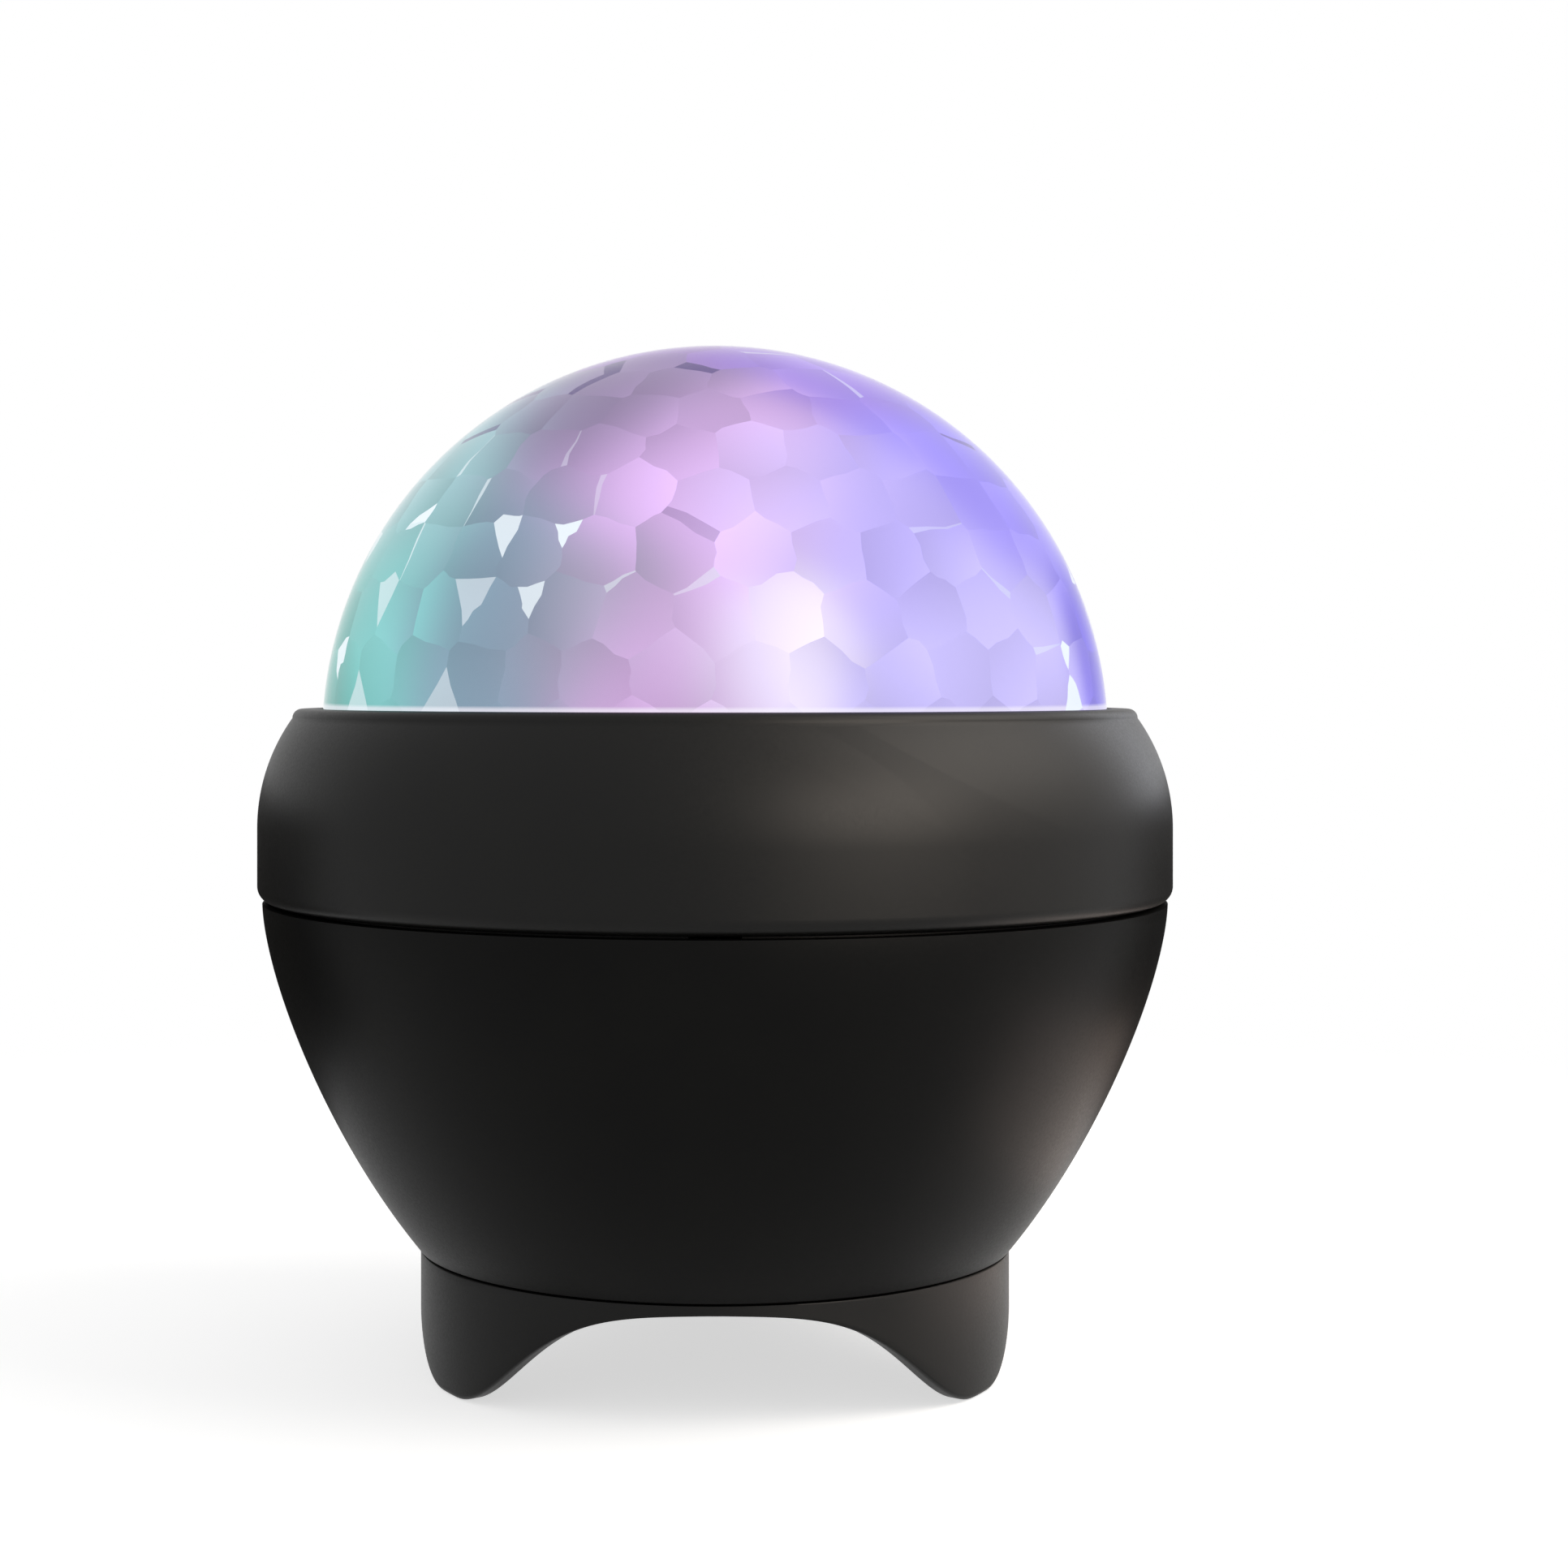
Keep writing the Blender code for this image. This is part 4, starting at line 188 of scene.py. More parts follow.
def mottle(
    tree: bpy.types.NodeTree, grain: float, detail: float = 2.0, stretch: Place | None = None
) -> bpy.types.Node:
    """Add a random mottle in Object coordinates.

    Args:
        tree: The node tree.
        grain: The size of its patches in metres.
        detail: How many finer layers it has.
        stretch: How much finer the pattern is along each axis.

    Returns:
        The node that gives the mottle.
    """
    place = add_node(tree, "ShaderNodeTexCoord").outputs["Object"]
    if stretch is not None:
        place = add_node(tree, "ShaderNodeMapping", {"Scale": stretch}, {"Vector": place})
    sizes = {"Scale": 1 / grain, "Detail": detail, "Roughness": 0.55}
    return add_node(tree, "ShaderNodeTexNoise", sizes, {"Vector": place})


def blended(pattern: bpy.types.Node, low: str, high: str) -> bpy.types.Node:
    """Blend two colours by a mottle.

    Args:
        pattern: The mottle.
        low: The sRGB hex colour where it is low.
        high: The same where it is high.

    Returns:
        The node that gives the colour.
    """
    tree = pattern.id_data
    share = add_node(tree, "ShaderNodeMapRange", MOTTLE_SPAN, {"Value": pattern})
    colours = {"A": linear(low), "B": linear(high)}
    return add_node(tree, "ShaderNodeMix", colours, {"Factor": share}, data_type="RGBA")


def textured(shader: bpy.types.Node, pattern: bpy.types.Node, low: float, high: float, depth: float) -> None:
    """Let a mottle vary a surface's gloss and raise it a little.

    Args:
        shader: The Principled shader.
        pattern: The mottle.
        low: The roughness where it is low.
        high: The roughness where it is high.
        depth: How far it raises the surface, in metres.
    """
    tree = shader.id_data
    span = MOTTLE_SPAN | {"To Min": low, "To Max": high}
    rough = add_node(tree, "ShaderNodeMapRange", span, {"Value": pattern})
    bump = add_node(tree, "ShaderNodeBump", {"Strength": 1.0, "Distance": depth}, {"Height": pattern})
    wire(shader, links={"Roughness": rough, "Normal": bump})


def seen(tree: bpy.types.NodeTree) -> bpy.types.Node:
    """Tell rays from the camera, also by way of gloss or glass, from those that only light.

    Args:
        tree: The node tree.

    Returns:
        The node that gives 1 for such a ray and 0 for the others.
    """
    path = add_node(tree, "ShaderNodeLightPath")
    found = path.outputs["Is Camera Ray"]
    for kind in ("Is Glossy Ray", "Is Transmission Ray"):
        links = {0: found, 1: path.outputs[kind]}
        found = add_node(tree, "ShaderNodeMath", links=links, operation="MAXIMUM")
    return found


# Finishes

@dataclass(frozen=True)
class Finish(abc.ABC):
    """What a piece is made of and how its surface was made."""

    name: str

    @abc.abstractmethod
    def paint(self, shader: bpy.types.Node) -> None:
        """Set up the finish on a material's Principled shader."""


@dataclass(frozen=True)
class Moulded(Finish):
    """Plastic from an injection mould: an eroded satin grain and slow changes from its flow.

    A real grain is near 0.1 mm. It is drawn coarser, because that would be too fine to show.
    """

    colour: str
    flow_colour: str
    roughness: float
    grain: float = 0.3 * MM
    depth: float = 0.004 * MM
    flow: float = 14.0 * MM
    specular: float = 0.5
    index: float = 1.54
    uneven: float = 0.04

    def paint(self, shader: bpy.types.Node) -> None:
        """Set up the shader.

        Args:
            shader: The material's Principled shader.
        """
        tree = shader.id_data
        colour = blended(mottle(tree, self.flow), self.colour, self.flow_colour)
        wire(shader, {"IOR": self.index, "Specular IOR Level": self.specular}, {"Base Color": colour})
        grain = mottle(tree, self.grain, 3.0)
        textured(shader, grain, self.roughness - self.uneven, self.roughness + self.uneven, self.depth)


@dataclass(frozen=True)
class Metal(Finish):
    """Bare or plated metal: a fine tooth from blasting, turning, drawing or the plating bath.

    A real tooth is under 0.1 mm. It is drawn coarser, because that would be too fine to show.
    """

    colour: str
    shade: str
    roughness: float
    grain: float = 0.25 * MM
    depth: float = 0.003 * MM
    stretch: Place = (1.0, 1.0, 1.0)
    hollow_dulling: float = 0.06
    peak_polish: float = 0.04

    def paint(self, shader: bpy.types.Node) -> None:
        """Set up the shader.

        Args:
            shader: The material's Principled shader.
        """
        tooth = mottle(shader.id_data, self.grain, 3.0, self.stretch)
        wire(shader, {"Metallic": 1.0}, {"Base Color": blended(tooth, self.shade, self.colour)})
        dull, bright = self.roughness + self.hollow_dulling, self.roughness - self.peak_polish
        textured(shader, tooth, dull, bright, self.depth)


@dataclass(frozen=True)
class Laminate(Finish):
    """A circuit board: copper tracks and a square glass weave, both faint under solder resist."""

    resist: str
    track: str
    weave: float = 0.6 * MM
    weave_depth: float = 0.002 * MM
    track_pitch: float = 3.0 * MM
    track_edge: Point = (0.42, 0.46)
    roughness: float = 0.32

    def paint(self, shader: bpy.types.Node) -> None:
        """Set up the shader.

        Args:
            shader: The material's Principled shader.
        """
        tree = shader.id_data
        place = add_node(tree, "ShaderNodeTexCoord").outputs["Object"]
        cells = {"Scale": 1 / self.track_pitch, "Randomness": 0.6}
        tracks = add_node(
            tree, "ShaderNodeTexVoronoi", cells, {"Vector": place}, feature="F1", distance="MANHATTAN"
        )
        edge = dict(zip(("From Min", "From Max"), self.track_edge))
        edges = add_node(tree, "ShaderNodeMapRange", edge, {"Value": tracks})
        colours = {"A": linear(self.resist), "B": linear(self.track)}
        mix = add_node(tree, "ShaderNodeMix", colours, {"Factor": edges}, data_type="RGBA")
        weave = add_node(tree, "ShaderNodeTexChecker", {"Scale": 1 / self.weave}, {"Vector": place})
        raised = {"Strength": 0.5, "Distance": self.weave_depth}
        bump = add_node(tree, "ShaderNodeBump", raised, {"Height": weave.outputs["Fac"]})
        wire(shader, {"Roughness": self.roughness}, {"Base Color": mix, "Normal": bump})


@dataclass(frozen=True)
class ClearAcrylic(Finish):
    """Polished acrylic: clear and glossy, with a faint ripple left by the mould."""

    tint: str
    roughness: float = 0.03
    specular: float = 0.5
    index: float = 1.49
    ripple: float = 9.0 * MM
    depth: float = 0.05 * MM

    def paint(self, shader: bpy.types.Node) -> None:
        """Set up the shader.

        Args:
            shader: The material's Principled shader.
        """
        tree = shader.id_data
        raised = {"Strength": 0.35, "Distance": self.depth}
        bump = add_node(tree, "ShaderNodeBump", raised, {"Height": mottle(tree, self.ripple, 1.0)})
        values = {
            "Base Color": linear(self.tint),
            "Roughness": self.roughness,
            "IOR": self.index,
            "Specular IOR Level": self.specular,
            "Transmission Weight": 1.0,
        }
        wire(shader, values, {"Normal": bump})


@dataclass(frozen=True)
class LampLens(Finish):
    """A lamp's clear epoxy lens, lit by its chip: full colour with paler streaks of flow."""

    colour: str
    pale: str
    glow: float = 1.4
    flow: float = 1.2 * MM
    roughness: float = 0.12
    index: float = 1.53

    def paint(self, shader: bpy.types.Node) -> None:
        """Set up the shader.

        Args:
            shader: The material's Principled shader.
        """
        streaks = blended(mottle(shader.id_data, self.flow), self.colour, self.pale)
        values = {"Roughness": self.roughness, "IOR": self.index, "Emission Strength": self.glow}
        wire(shader, values, {"Base Color": streaks, "Emission Color": streaks})


@dataclass(frozen=True)
class Glow:
    """A patch of painted light on the dome, where one lamp's light would gather."""

    place: Place
    spread: float
    colour: str


@dataclass(frozen=True)
class LitFacets(Finish):
    """The dome's faceted inside, with the lamps' light painted on it as an emission.

    The green lamp stands at -X, the red one in front, the blue one at +X and the white one at the
    rear, so the painted light turns the facets teal, pink and violet. Each facet looks up its
    painted light a little to one side and gets a painted shading across it. These stand in for the
    facet bending its view, and they set its colour and brightness off against its neighbours'. A few
    clipped corners and edges get painted glints or painted shade. Along the rim a thin pale line of
    painted light stands in for the wall piping the lamps' light out.
    """

    glows: tuple[Glow, ...]
    step: float = 2.0 * MM
    level: float = 0.96
    painted_glint_colour: str = "ecf6fc"
    painted_shade_colour: str = "4d3a78"
    painted_rim_light_colour: str = "f6f2fb"
    rim_share: float = 0.6
    rim_line: Point = (0.2 * MM, 0.6 * MM)
    strength: float = 0.965
    unlit_share: float = 0.85
    roughness: float = 0.3
    specular: float = 0.1

    def paint(self, shader: bpy.types.Node) -> None:
        """Set up the shader.

        Args:
            shader: The material's Principled shader.
        """
        tree = shader.id_data
        # The lamps' light is painted on: each facet looks up the painted glows a little aside, by its random
        # shift, and scales them by its level and painted shading
        place = add_node(tree, "ShaderNodeTexCoord").outputs["Object"]
        tone = add_node(tree, "ShaderNodeAttribute", attribute_name=FACET_TONE).outputs["Vector"]
        aside = add_node(tree, "ShaderNodeVectorMath", {"Scale": self.step}, {0: tone}, operation="SCALE")
        moved = add_node(tree, "ShaderNodeVectorMath", links={0: place, 1: aside}, operation="ADD")
        lean = add_node(tree, "ShaderNodeAttribute", attribute_name=FACET_LEVEL_AND_PAINTED_SHADING).outputs["Fac"]
        level = add_node(
            tree, "ShaderNodeMath", {1: 1.0, 2: self.level}, {0: lean}, operation="MULTIPLY_ADD"
        )
        links = {0: self.gathered(tree, moved), "Scale": level}
        lit = add_node(tree, "ShaderNodeVectorMath", links=links, operation="SCALE")

        # Painted light: a thin pale line along the rim, for the wall piping the lamps' light out
        height = add_node(tree, "ShaderNodeSeparateXYZ", links={"Vector": place}).outputs["Z"]
        start, end = (RIM_HEIGHT + rise for rise in self.rim_line)
        span = {"From Min": start, "From Max": end, "To Min": self.rim_share, "To Max": 0.0}
        marks = [(add_node(tree, "ShaderNodeMapRange", span, {"Value": height}), self.painted_rim_light_colour)]
        # Painted glints and painted shade on the clipped faces
        for name, colour in ((CLIP_PAINTED_GLINT, self.painted_glint_colour), (CLIP_PAINTED_SHADE, self.painted_shade_colour)):
            share = add_node(tree, "ShaderNodeAttribute", attribute_name=name).outputs["Fac"]
            marks.append((share, colour))
        for share, colour in marks:
            links = {"Factor": share, "A": lit}
            lit = add_node(tree, "ShaderNodeMix", {"B": linear(colour)}, links, data_type="RGBA")

        # The painted light goes out as emission, and the base colour is a darker copy of it
        unlit = {"Factor": self.unlit_share, "B": linear("000000")}
        base = add_node(tree, "ShaderNodeMix", unlit, {"A": lit}, data_type="RGBA")
        values = {
            "Emission Strength": self.strength,
            "Roughness": self.roughness,
            "IOR": 1.49,
            "Specular IOR Level": self.specular,
        }
        wire(shader, values, {"Emission Color": lit, "Base Color": base})

    def gathered(self, tree: bpy.types.NodeTree, place: Source) -> bpy.types.Node:
        """Weigh every glow by how near it is, with a bell curve of its spread.

        Args:
            tree: The node tree.
            place: The place on the dome.

        Returns:
            The node that gives the mixed colour.
        """
        parts, weights = [], []
        for glow in self.glows:
            weight = add_node(
                tree, "ShaderNodeVectorMath", {1: glow.place}, {0: place}, operation="DISTANCE"
            )
            bell = (("DIVIDE", glow.spread), ("POWER", 2.0), ("MULTIPLY", -1.0), ("EXPONENT", 0.0))
            for operation, value in bell:
                weight = add_node(tree, "ShaderNodeMath", {1: value}, {0: weight}, operation=operation)
            colour = {0: linear(glow.colour)[:3]}
            part = add_node(tree, "ShaderNodeVectorMath", colour, {"Scale": weight}, operation="SCALE")
            parts.append(part)
            weights.append(weight)
        colour, total = parts[0], weights[0]
        for part, weight in zip(parts[1:], weights[1:]):
            colour = add_node(tree, "ShaderNodeVectorMath", links={0: colour, 1: part}, operation="ADD")
            total = add_node(tree, "ShaderNodeMath", links={0: total, 1: weight}, operation="ADD")
        inverse = add_node(tree, "ShaderNodeMath", {0: 1.0}, {1: total}, operation="DIVIDE")
        return add_node(
            tree, "ShaderNodeVectorMath", links={0: colour, "Scale": inverse}, operation="SCALE"
        )


@dataclass(frozen=True)
class Felt(Finish):
    """Dyed felt, which throws back hardly any light."""

    colour: str

    def paint(self, shader: bpy.types.Node) -> None:
        """Set its colour and take its gloss away."""
        wire(shader, {"Base Color": linear(self.colour), "Roughness": 1.0})


@dataclass(frozen=True)
class FadingFloor(Finish):
    """Matt painted floor that fades into the white background and can't be seen from below."""

    colour: str
    fade_start: float
    fade_end: float
    glow: float = 0.62

    def paint(self, shader: bpy.types.Node) -> None:
        """Set up the shader.

        Args:
            shader: The material's Principled shader.
        """
        tree = shader.id_data
        place = add_node(tree, "ShaderNodeTexCoord").outputs["Object"]
        away = add_node(tree, "ShaderNodeVectorMath", links={0: place}, operation="LENGTH")
        span = {"From Min": self.fade_start, "From Max": self.fade_end, "To Min": 1.0, "To Max": 0.0}
        fade = add_node(
            tree, "ShaderNodeMapRange", span, {"Value": away}, interpolation_type="SMOOTHSTEP"
        )
        below = add_node(tree, "ShaderNodeNewGeometry").outputs["Backfacing"]
        above = add_node(tree, "ShaderNodeMath", {0: 1.0}, {1: below}, operation="SUBTRACT")
        shown = add_node(tree, "ShaderNodeMath", links={0: fade, 1: above}, operation="MULTIPLY")
        glow = add_node(tree, "ShaderNodeMath", {1: self.glow}, {0: seen(tree)}, operation="MULTIPLY")
        values = {
            "Base Color": linear(self.colour),
            "Roughness": 0.9,
            "Specular IOR Level": 0.0,
            "Emission Color": linear("ffffff"),
        }
        wire(shader, values, {"Alpha": shown, "Emission Strength": glow})


# The ring's and base's satin ABS is nearly black, with a broad soft shine
SATIN = Moulded("moulded black satin ABS", "090909", "0d0d0c", 0.42, specular=0.125)
# The bowl is the ring's black ABS with painted shade: a darker colour and less shine for its downward-facing
# side, and a slightly coarser grain
BOWL = Moulded("moulded black ABS with painted shade", "060606", "0a0a09", 0.4, grain=0.34 * MM, specular=0.055)
# The buttons' finer grain makes them a shade paler than the case
BUTTON = Moulded("moulded black matt ABS", "161617", "1b1b1b", 0.42, grain=0.22 * MM, specular=0.2)
# The deck and the motor's bracket are white, which sends the light up into the dome
WHITE_ABS = Moulded("moulded white ABS", "e9e9e6", "deddd8", 0.42)
# Nylon without a dye is milky, and its fine grain gives it a soft shine
NYLON = Moulded("moulded natural nylon", "e6e1d3", "d9d3c3", 0.48, depth=0.002 * MM)
# The chips' and switches' cases are a dull dark grey
EPOXY = Moulded("moulded black epoxy", "1c1c1d", "242424", 0.6, grain=0.15 * MM)
# The leads' sheath comes smooth from its die, so it shines a little along its length
PVC = Moulded("extruded black PVC", "161616", "1c1c1c", 0.42, grain=0.6 * MM)
# Bead blasting turns the heat sink an even pale grey without a mirror image
SINK = Metal("bead-blasted aluminium", "d6d8da", "b9bcbf", 0.42, grain=0.18 * MM)
# Drawing leaves fine bright lines up the sides of the cans
CAN = Metal("drawn aluminium can", "d9dbdd", "c6c8ca", 0.28, stretch=(1.0, 1.0, 0.1))
# Zinc plate is bright, with a cloudy bluish grey in it
ZINC = Metal("zinc-plated steel", "c9cacc", "b2b4b8", 0.28)
# The case screws are blackened, so they hardly show in the base's shade
BLACK_STEEL = Metal("blackened steel", "3a3a3c", "2a2a2c", 0.38)
# The contacts' thin gold is the one warm glint in the socket
GOLD = Metal("gold-plated contact", "e6c37a", "cfa95a", 0.22)
# Copper under green solder resist shows as a lighter green
GREEN_BOARD = Laminate("green solder resist on laminate", "12512c", "1c6b3c")
# The lamps' board is white, which throws their light upwards
WHITE_BOARD = Laminate("white solder resist on aluminium", "eeeeec", "e0e0dc")
# The dome's skin is clear and glossy, its index lowered so that its edge doesn't turn white
DOME_SKIN = ClearAcrylic("polished clear acrylic", "ffffff", specular=0.12, index=1.2)
# The ripple wheel is bluish and a little hazy, which blurs the lamps below it
WHEEL_ACRYLIC = ClearAcrylic("rippled clear acrylic", "f4f8ff", 0.05)
# The facets' light is painted on as an emission that runs from teal by way of pink to violet, as the
# lamps below would light them. The lines give each painted glow's x, y, z and spread in millimetres, and its
# colour
LIT_FACETS = LitFacets(
    "lit faceted acrylic",
    tuple(
        Glow((x * MM, y * MM, z * MM), spread * MM, colour)
        for x, y, z, spread, colour in (
            (-52, -12, 92, 12, "3a9c92"),
            (-42, -22, 98, 11, "80cac8"),
            (-36, -18, 114, 12, "94bec4"),
            (-26, -38, 98, 11, "8198ac"),
            (-16, -44, 98, 8, "a59fb6"),
            (-15, -25, 124, 12, "8b7b9f"),
            (-7, -50, 92, 9, "d2abdf"),
            (-2, -36, 115, 12, "d9b2ea"),
            (5, -48, 93, 7, "e9e0fb"),
            (7, -38, 112, 8, "dcc8fc"),
            (0, 0, 134, 12, "8a5cb6"),
            (14, -10, 129, 10, "a284e6"),
            (20, -38, 110, 10, "bcb0f8"),
            (33, -20, 118, 11, "9a8cf4"),
            (33, -38, 92, 12, "c8bffb"),
            (51, -8, 92, 9, "6450de"),
            (-34, 32, 98, 17, "8cc4c0"),
            (0, 48, 96, 15, "efe6f6"),
            (0, 32, 118, 13, "d8b8e6"),
            (34, 32, 98, 17, "b0a4f6"),
        )
    ),
)
# The studio's flags are dull black, and its floor a pale matt grey
FLAG_FELT = Felt("black flag felt", "202020")
FLOOR_RADIUS = 0.34
FLOOR_PAINT = FadingFloor("pale painted floor", "d4d4d4", 0.2, FLOOR_RADIUS)


class LampColour(Enum):
    """The four lamps: the solid, the chip's colour and its paler streaks."""

    RED = ("led_red", "ff4a38", "ffb0a4")
    GREEN = ("led_green", "35e57a", "b4f8cf")
    BLUE = ("led_blue", "4a66ff", "b8c4ff")
    WHITE = ("led_white", "fff6dc", "fffdf4")


class Join(Enum):
    """How one shape changes another."""

    UNION = "UNION"
    CUT = "DIFFERENCE"


@functools.cache
def material_of(finish: Finish) -> bpy.types.Material:
    """Return a finish's material, made once.

    Args:
        finish: The finish.

    Returns:
        Its material.
    """
    material = bpy.data.materials.new(finish.name)
    material.use_nodes = True
    finish.paint(material.node_tree.nodes["Principled BSDF"])
    return material


# Shapes

def polar(radius: float, angle: float) -> Point:
    """Return x and y at a radius and an angle in degrees."""
    return radius * math.cos(math.radians(angle)), radius * math.sin(math.radians(angle))


def arc(centre: Point, radius: float, start: float, end: float, steps: int) -> list[Point]:
    """Return points on an arc, its angles in degrees."""
    spots = (polar(radius, start + (end - start) * i / steps) for i in range(steps + 1))
    return [(centre[0] + x, centre[1] + y) for x, y in spots]


def oblong(reach: float, radius: float, steps: int) -> list[Point]:
    """Return an outline with round ends, whose centres lie a reach to each side."""
    ends = ((reach, -90.0, 90.0), (-reach, 90.0, 270.0))
    return [point for x, start, end in ends for point in arc((x, 0.0), radius, start, end, steps)]


def rounded(corners: list[Place], steps: int = 6) -> list[Point]:
    """Round an outline's corners.

    Args:
        corners: Points as radius, height and the fillet there, which may be 0.
        steps: How many pieces each fillet has.

    Returns:
        The outline's points.
    """
    points: list[Point] = []
    for i, (x, y, fillet) in enumerate(corners):
        if fillet <= 0.0:
            points.append((x, y))
            continue
        corner = Vector((x, y))
        before = (Vector(corners[i - 1][:2]) - corner).normalized()
        after = (Vector(corners[(i + 1) % len(corners)][:2]) - corner).normalized()
        half = before.angle(after) / 2
        reach = fillet / math.tan(half)
        centre = corner + (before + after).normalized() * (fillet / math.sin(half))
        start = corner + before * reach - centre
        end = corner + after * reach - centre
        for step in range(steps + 1):
            spot = centre + start.slerp(end, step / steps) * fillet
            points.append((spot.x, spot.y))
    return points


def object_from(name: str, bm: bmesh.types.BMesh) -> bpy.types.Object:
    """Turn a bmesh into an object with outward faces.

    Args:
        name: The object's name.
        bm: The shape, which is freed.

    Returns:
        The new object, at the origin.
    """
    bmesh.ops.recalc_face_normals(bm, faces=bm.faces)
    mesh = bpy.data.meshes.new(name)
    bm.to_mesh(mesh)
    bm.free()
    obj = bpy.data.objects.new(name, mesh)
    bpy.context.scene.collection.objects.link(obj)
    return obj


def turned(
    bm: bmesh.types.BMesh, profile: list[Point], steps: int, closed: bool
) -> list[list[bmesh.types.BMVert]]:
    """Turn an outline round the Z axis.

    Args:
        bm: The bmesh that gets the shape.
        profile: Points as radius and height. Those at radius 0 become poles.
        steps: How many columns it has.
        closed: Whether the outline's last point joins its first.

    Returns:
        A ring of vertices for every point, with one vertex at a pole.
    """
    rings = []
    for radius, height in profile:
        count = 1 if radius < WELD_DISTANCE else steps
        angles = (math.tau * i / count for i in range(count))
        rings.append([bm.verts.new((radius * math.cos(a), radius * math.sin(a), height)) for a in angles])
    for low, high in zip(rings, rings[1:] + rings[:1] if closed else rings[1:]):
        if len(low) == len(high) == 1:
            continue
        for i in range(steps):
            j = i + 1
            corners = [low[i % len(low)], low[j % len(low)], high[j % len(high)], high[i % len(high)]]
            bm.faces.new(dict.fromkeys(corners))
    return rings


def lathe(name: str, profile: list[Point], steps: int) -> bpy.types.Object:
    """Turn a closed outline round the Z axis into an object.

    Args:
        name: The object's name.
        profile: Points as radius and height.
        steps: How many columns it has.

    Returns:
        The turned object.
    """
    bm = bmesh.new()
    turned(bm, profile, steps, closed=True)
    return object_from(name, bm)


def extruded(name: str, outline: list[Point], bottom: float, top: float) -> bpy.types.Object:
    """Extrude a flat outline between two heights.

    Args:
        name: The object's name.
        outline: The outline's points in x and y.
        bottom: Its lower height.
        top: Its upper height.

    Returns:
        The solid.
    """
    bm = bmesh.new()
    low = [bm.verts.new((x, y, bottom)) for x, y in outline]
    high = [bm.verts.new((x, y, top)) for x, y in outline]
    bm.faces.new(low)
    bm.faces.new(high)
    for i in range(len(outline)):
        j = (i + 1) % len(outline)
        bm.faces.new((low[i], low[j], high[j], high[i]))
    return object_from(name, bm)


def rod(name: str, radius: float, bottom: float, top: float, at: Point = (0.0, 0.0)) -> bpy.types.Object:
    """Make an upright round rod."""
    spots = (polar(radius, 360.0 * i / ROD_STEPS) for i in range(ROD_STEPS))
    return extruded(name, [(at[0] + x, at[1] + y) for x, y in spots], bottom, top)


def block(name: str, low: Place, high: Place) -> bpy.types.Object:
    """Make a plain block for joins and cuts."""
    outline = [(low[0], low[1]), (high[0], low[1]), (high[0], high[1]), (low[0], high[1])]
    return extruded(name, outline, low[2], high[2])


def placed(obj: bpy.types.Object, matrix: Matrix) -> bpy.types.Object:
    """Move a mesh's points and leave its object at the origin."""
    obj.data.transform(matrix)
    return obj


def turned_place(angle: float, radius: float = 0.0, height: float = 0.0) -> Matrix:
    """Return the matrix that moves a shape out along X, then turns it to an angle in degrees."""
    return Matrix.Rotation(math.radians(angle), 4, "Z") @ Matrix.Translation((radius, 0.0, height))


def baked(obj: bpy.types.Object) -> bpy.types.Object:
    """Replace an object's modifiers by the mesh that they make.

    Args:
        obj: The object.

    Returns:
        The same object, with a plain mesh.
    """
    bpy.context.view_layer.update()
    graph = bpy.context.evaluated_depsgraph_get()
    mesh = bpy.data.meshes.new_from_object(obj.evaluated_get(graph))
    obj.modifiers.clear()
    obj.data = mesh
    return obj


def shaped(obj: bpy.types.Object, how: Join, *tools: bpy.types.Object) -> bpy.types.Object:
    """Join other shapes to an object, or cut it with them.

    Args:
        obj: The object that stays.
        how: What each tool does to it.
        *tools: The other shapes, which are removed.

    Returns:
        The changed object.
    """
    for tool in tools:
        change = obj.modifiers.new(tool.name, "BOOLEAN")
        change.operation = how.value
        change.solver = "EXACT"
        change.object = tool
    baked(obj)
    for tool in tools:
        bpy.data.objects.remove(tool, do_unlink=True)
    return obj


def dress(
    obj: bpy.types.Object,
    finish: Finish | None,
    slot: str,
    *nodes: str,
    body: str = HOUSING,
    sharp: float = SHARP_ANGLE,
) -> bpy.types.Object:
    """Finish a piece: smooth shading, material, body and the solids that it stands for.

    Args:
        obj: The piece.
        finish: Its finish, or None where the mesh has its materials.
        slot: The record's material slot. It is not used.
        *nodes: The solids that it replaces.
        body: The body that it rides on.
        sharp: The angle from which an edge stays sharp, in degrees.

    Returns:
        The piece.
    """
    obj.data.shade_smooth()
    obj.data.set_sharp_from_angle(angle=math.radians(sharp))
    if finish is not None:
        obj.data.materials.clear()
        obj.data.materials.append(material_of(finish))
    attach(obj, body)
    if nodes:
        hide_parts(*nodes)
    log.info("%s: %d faces on %s", obj.name, len(obj.data.polygons), body)
    return obj


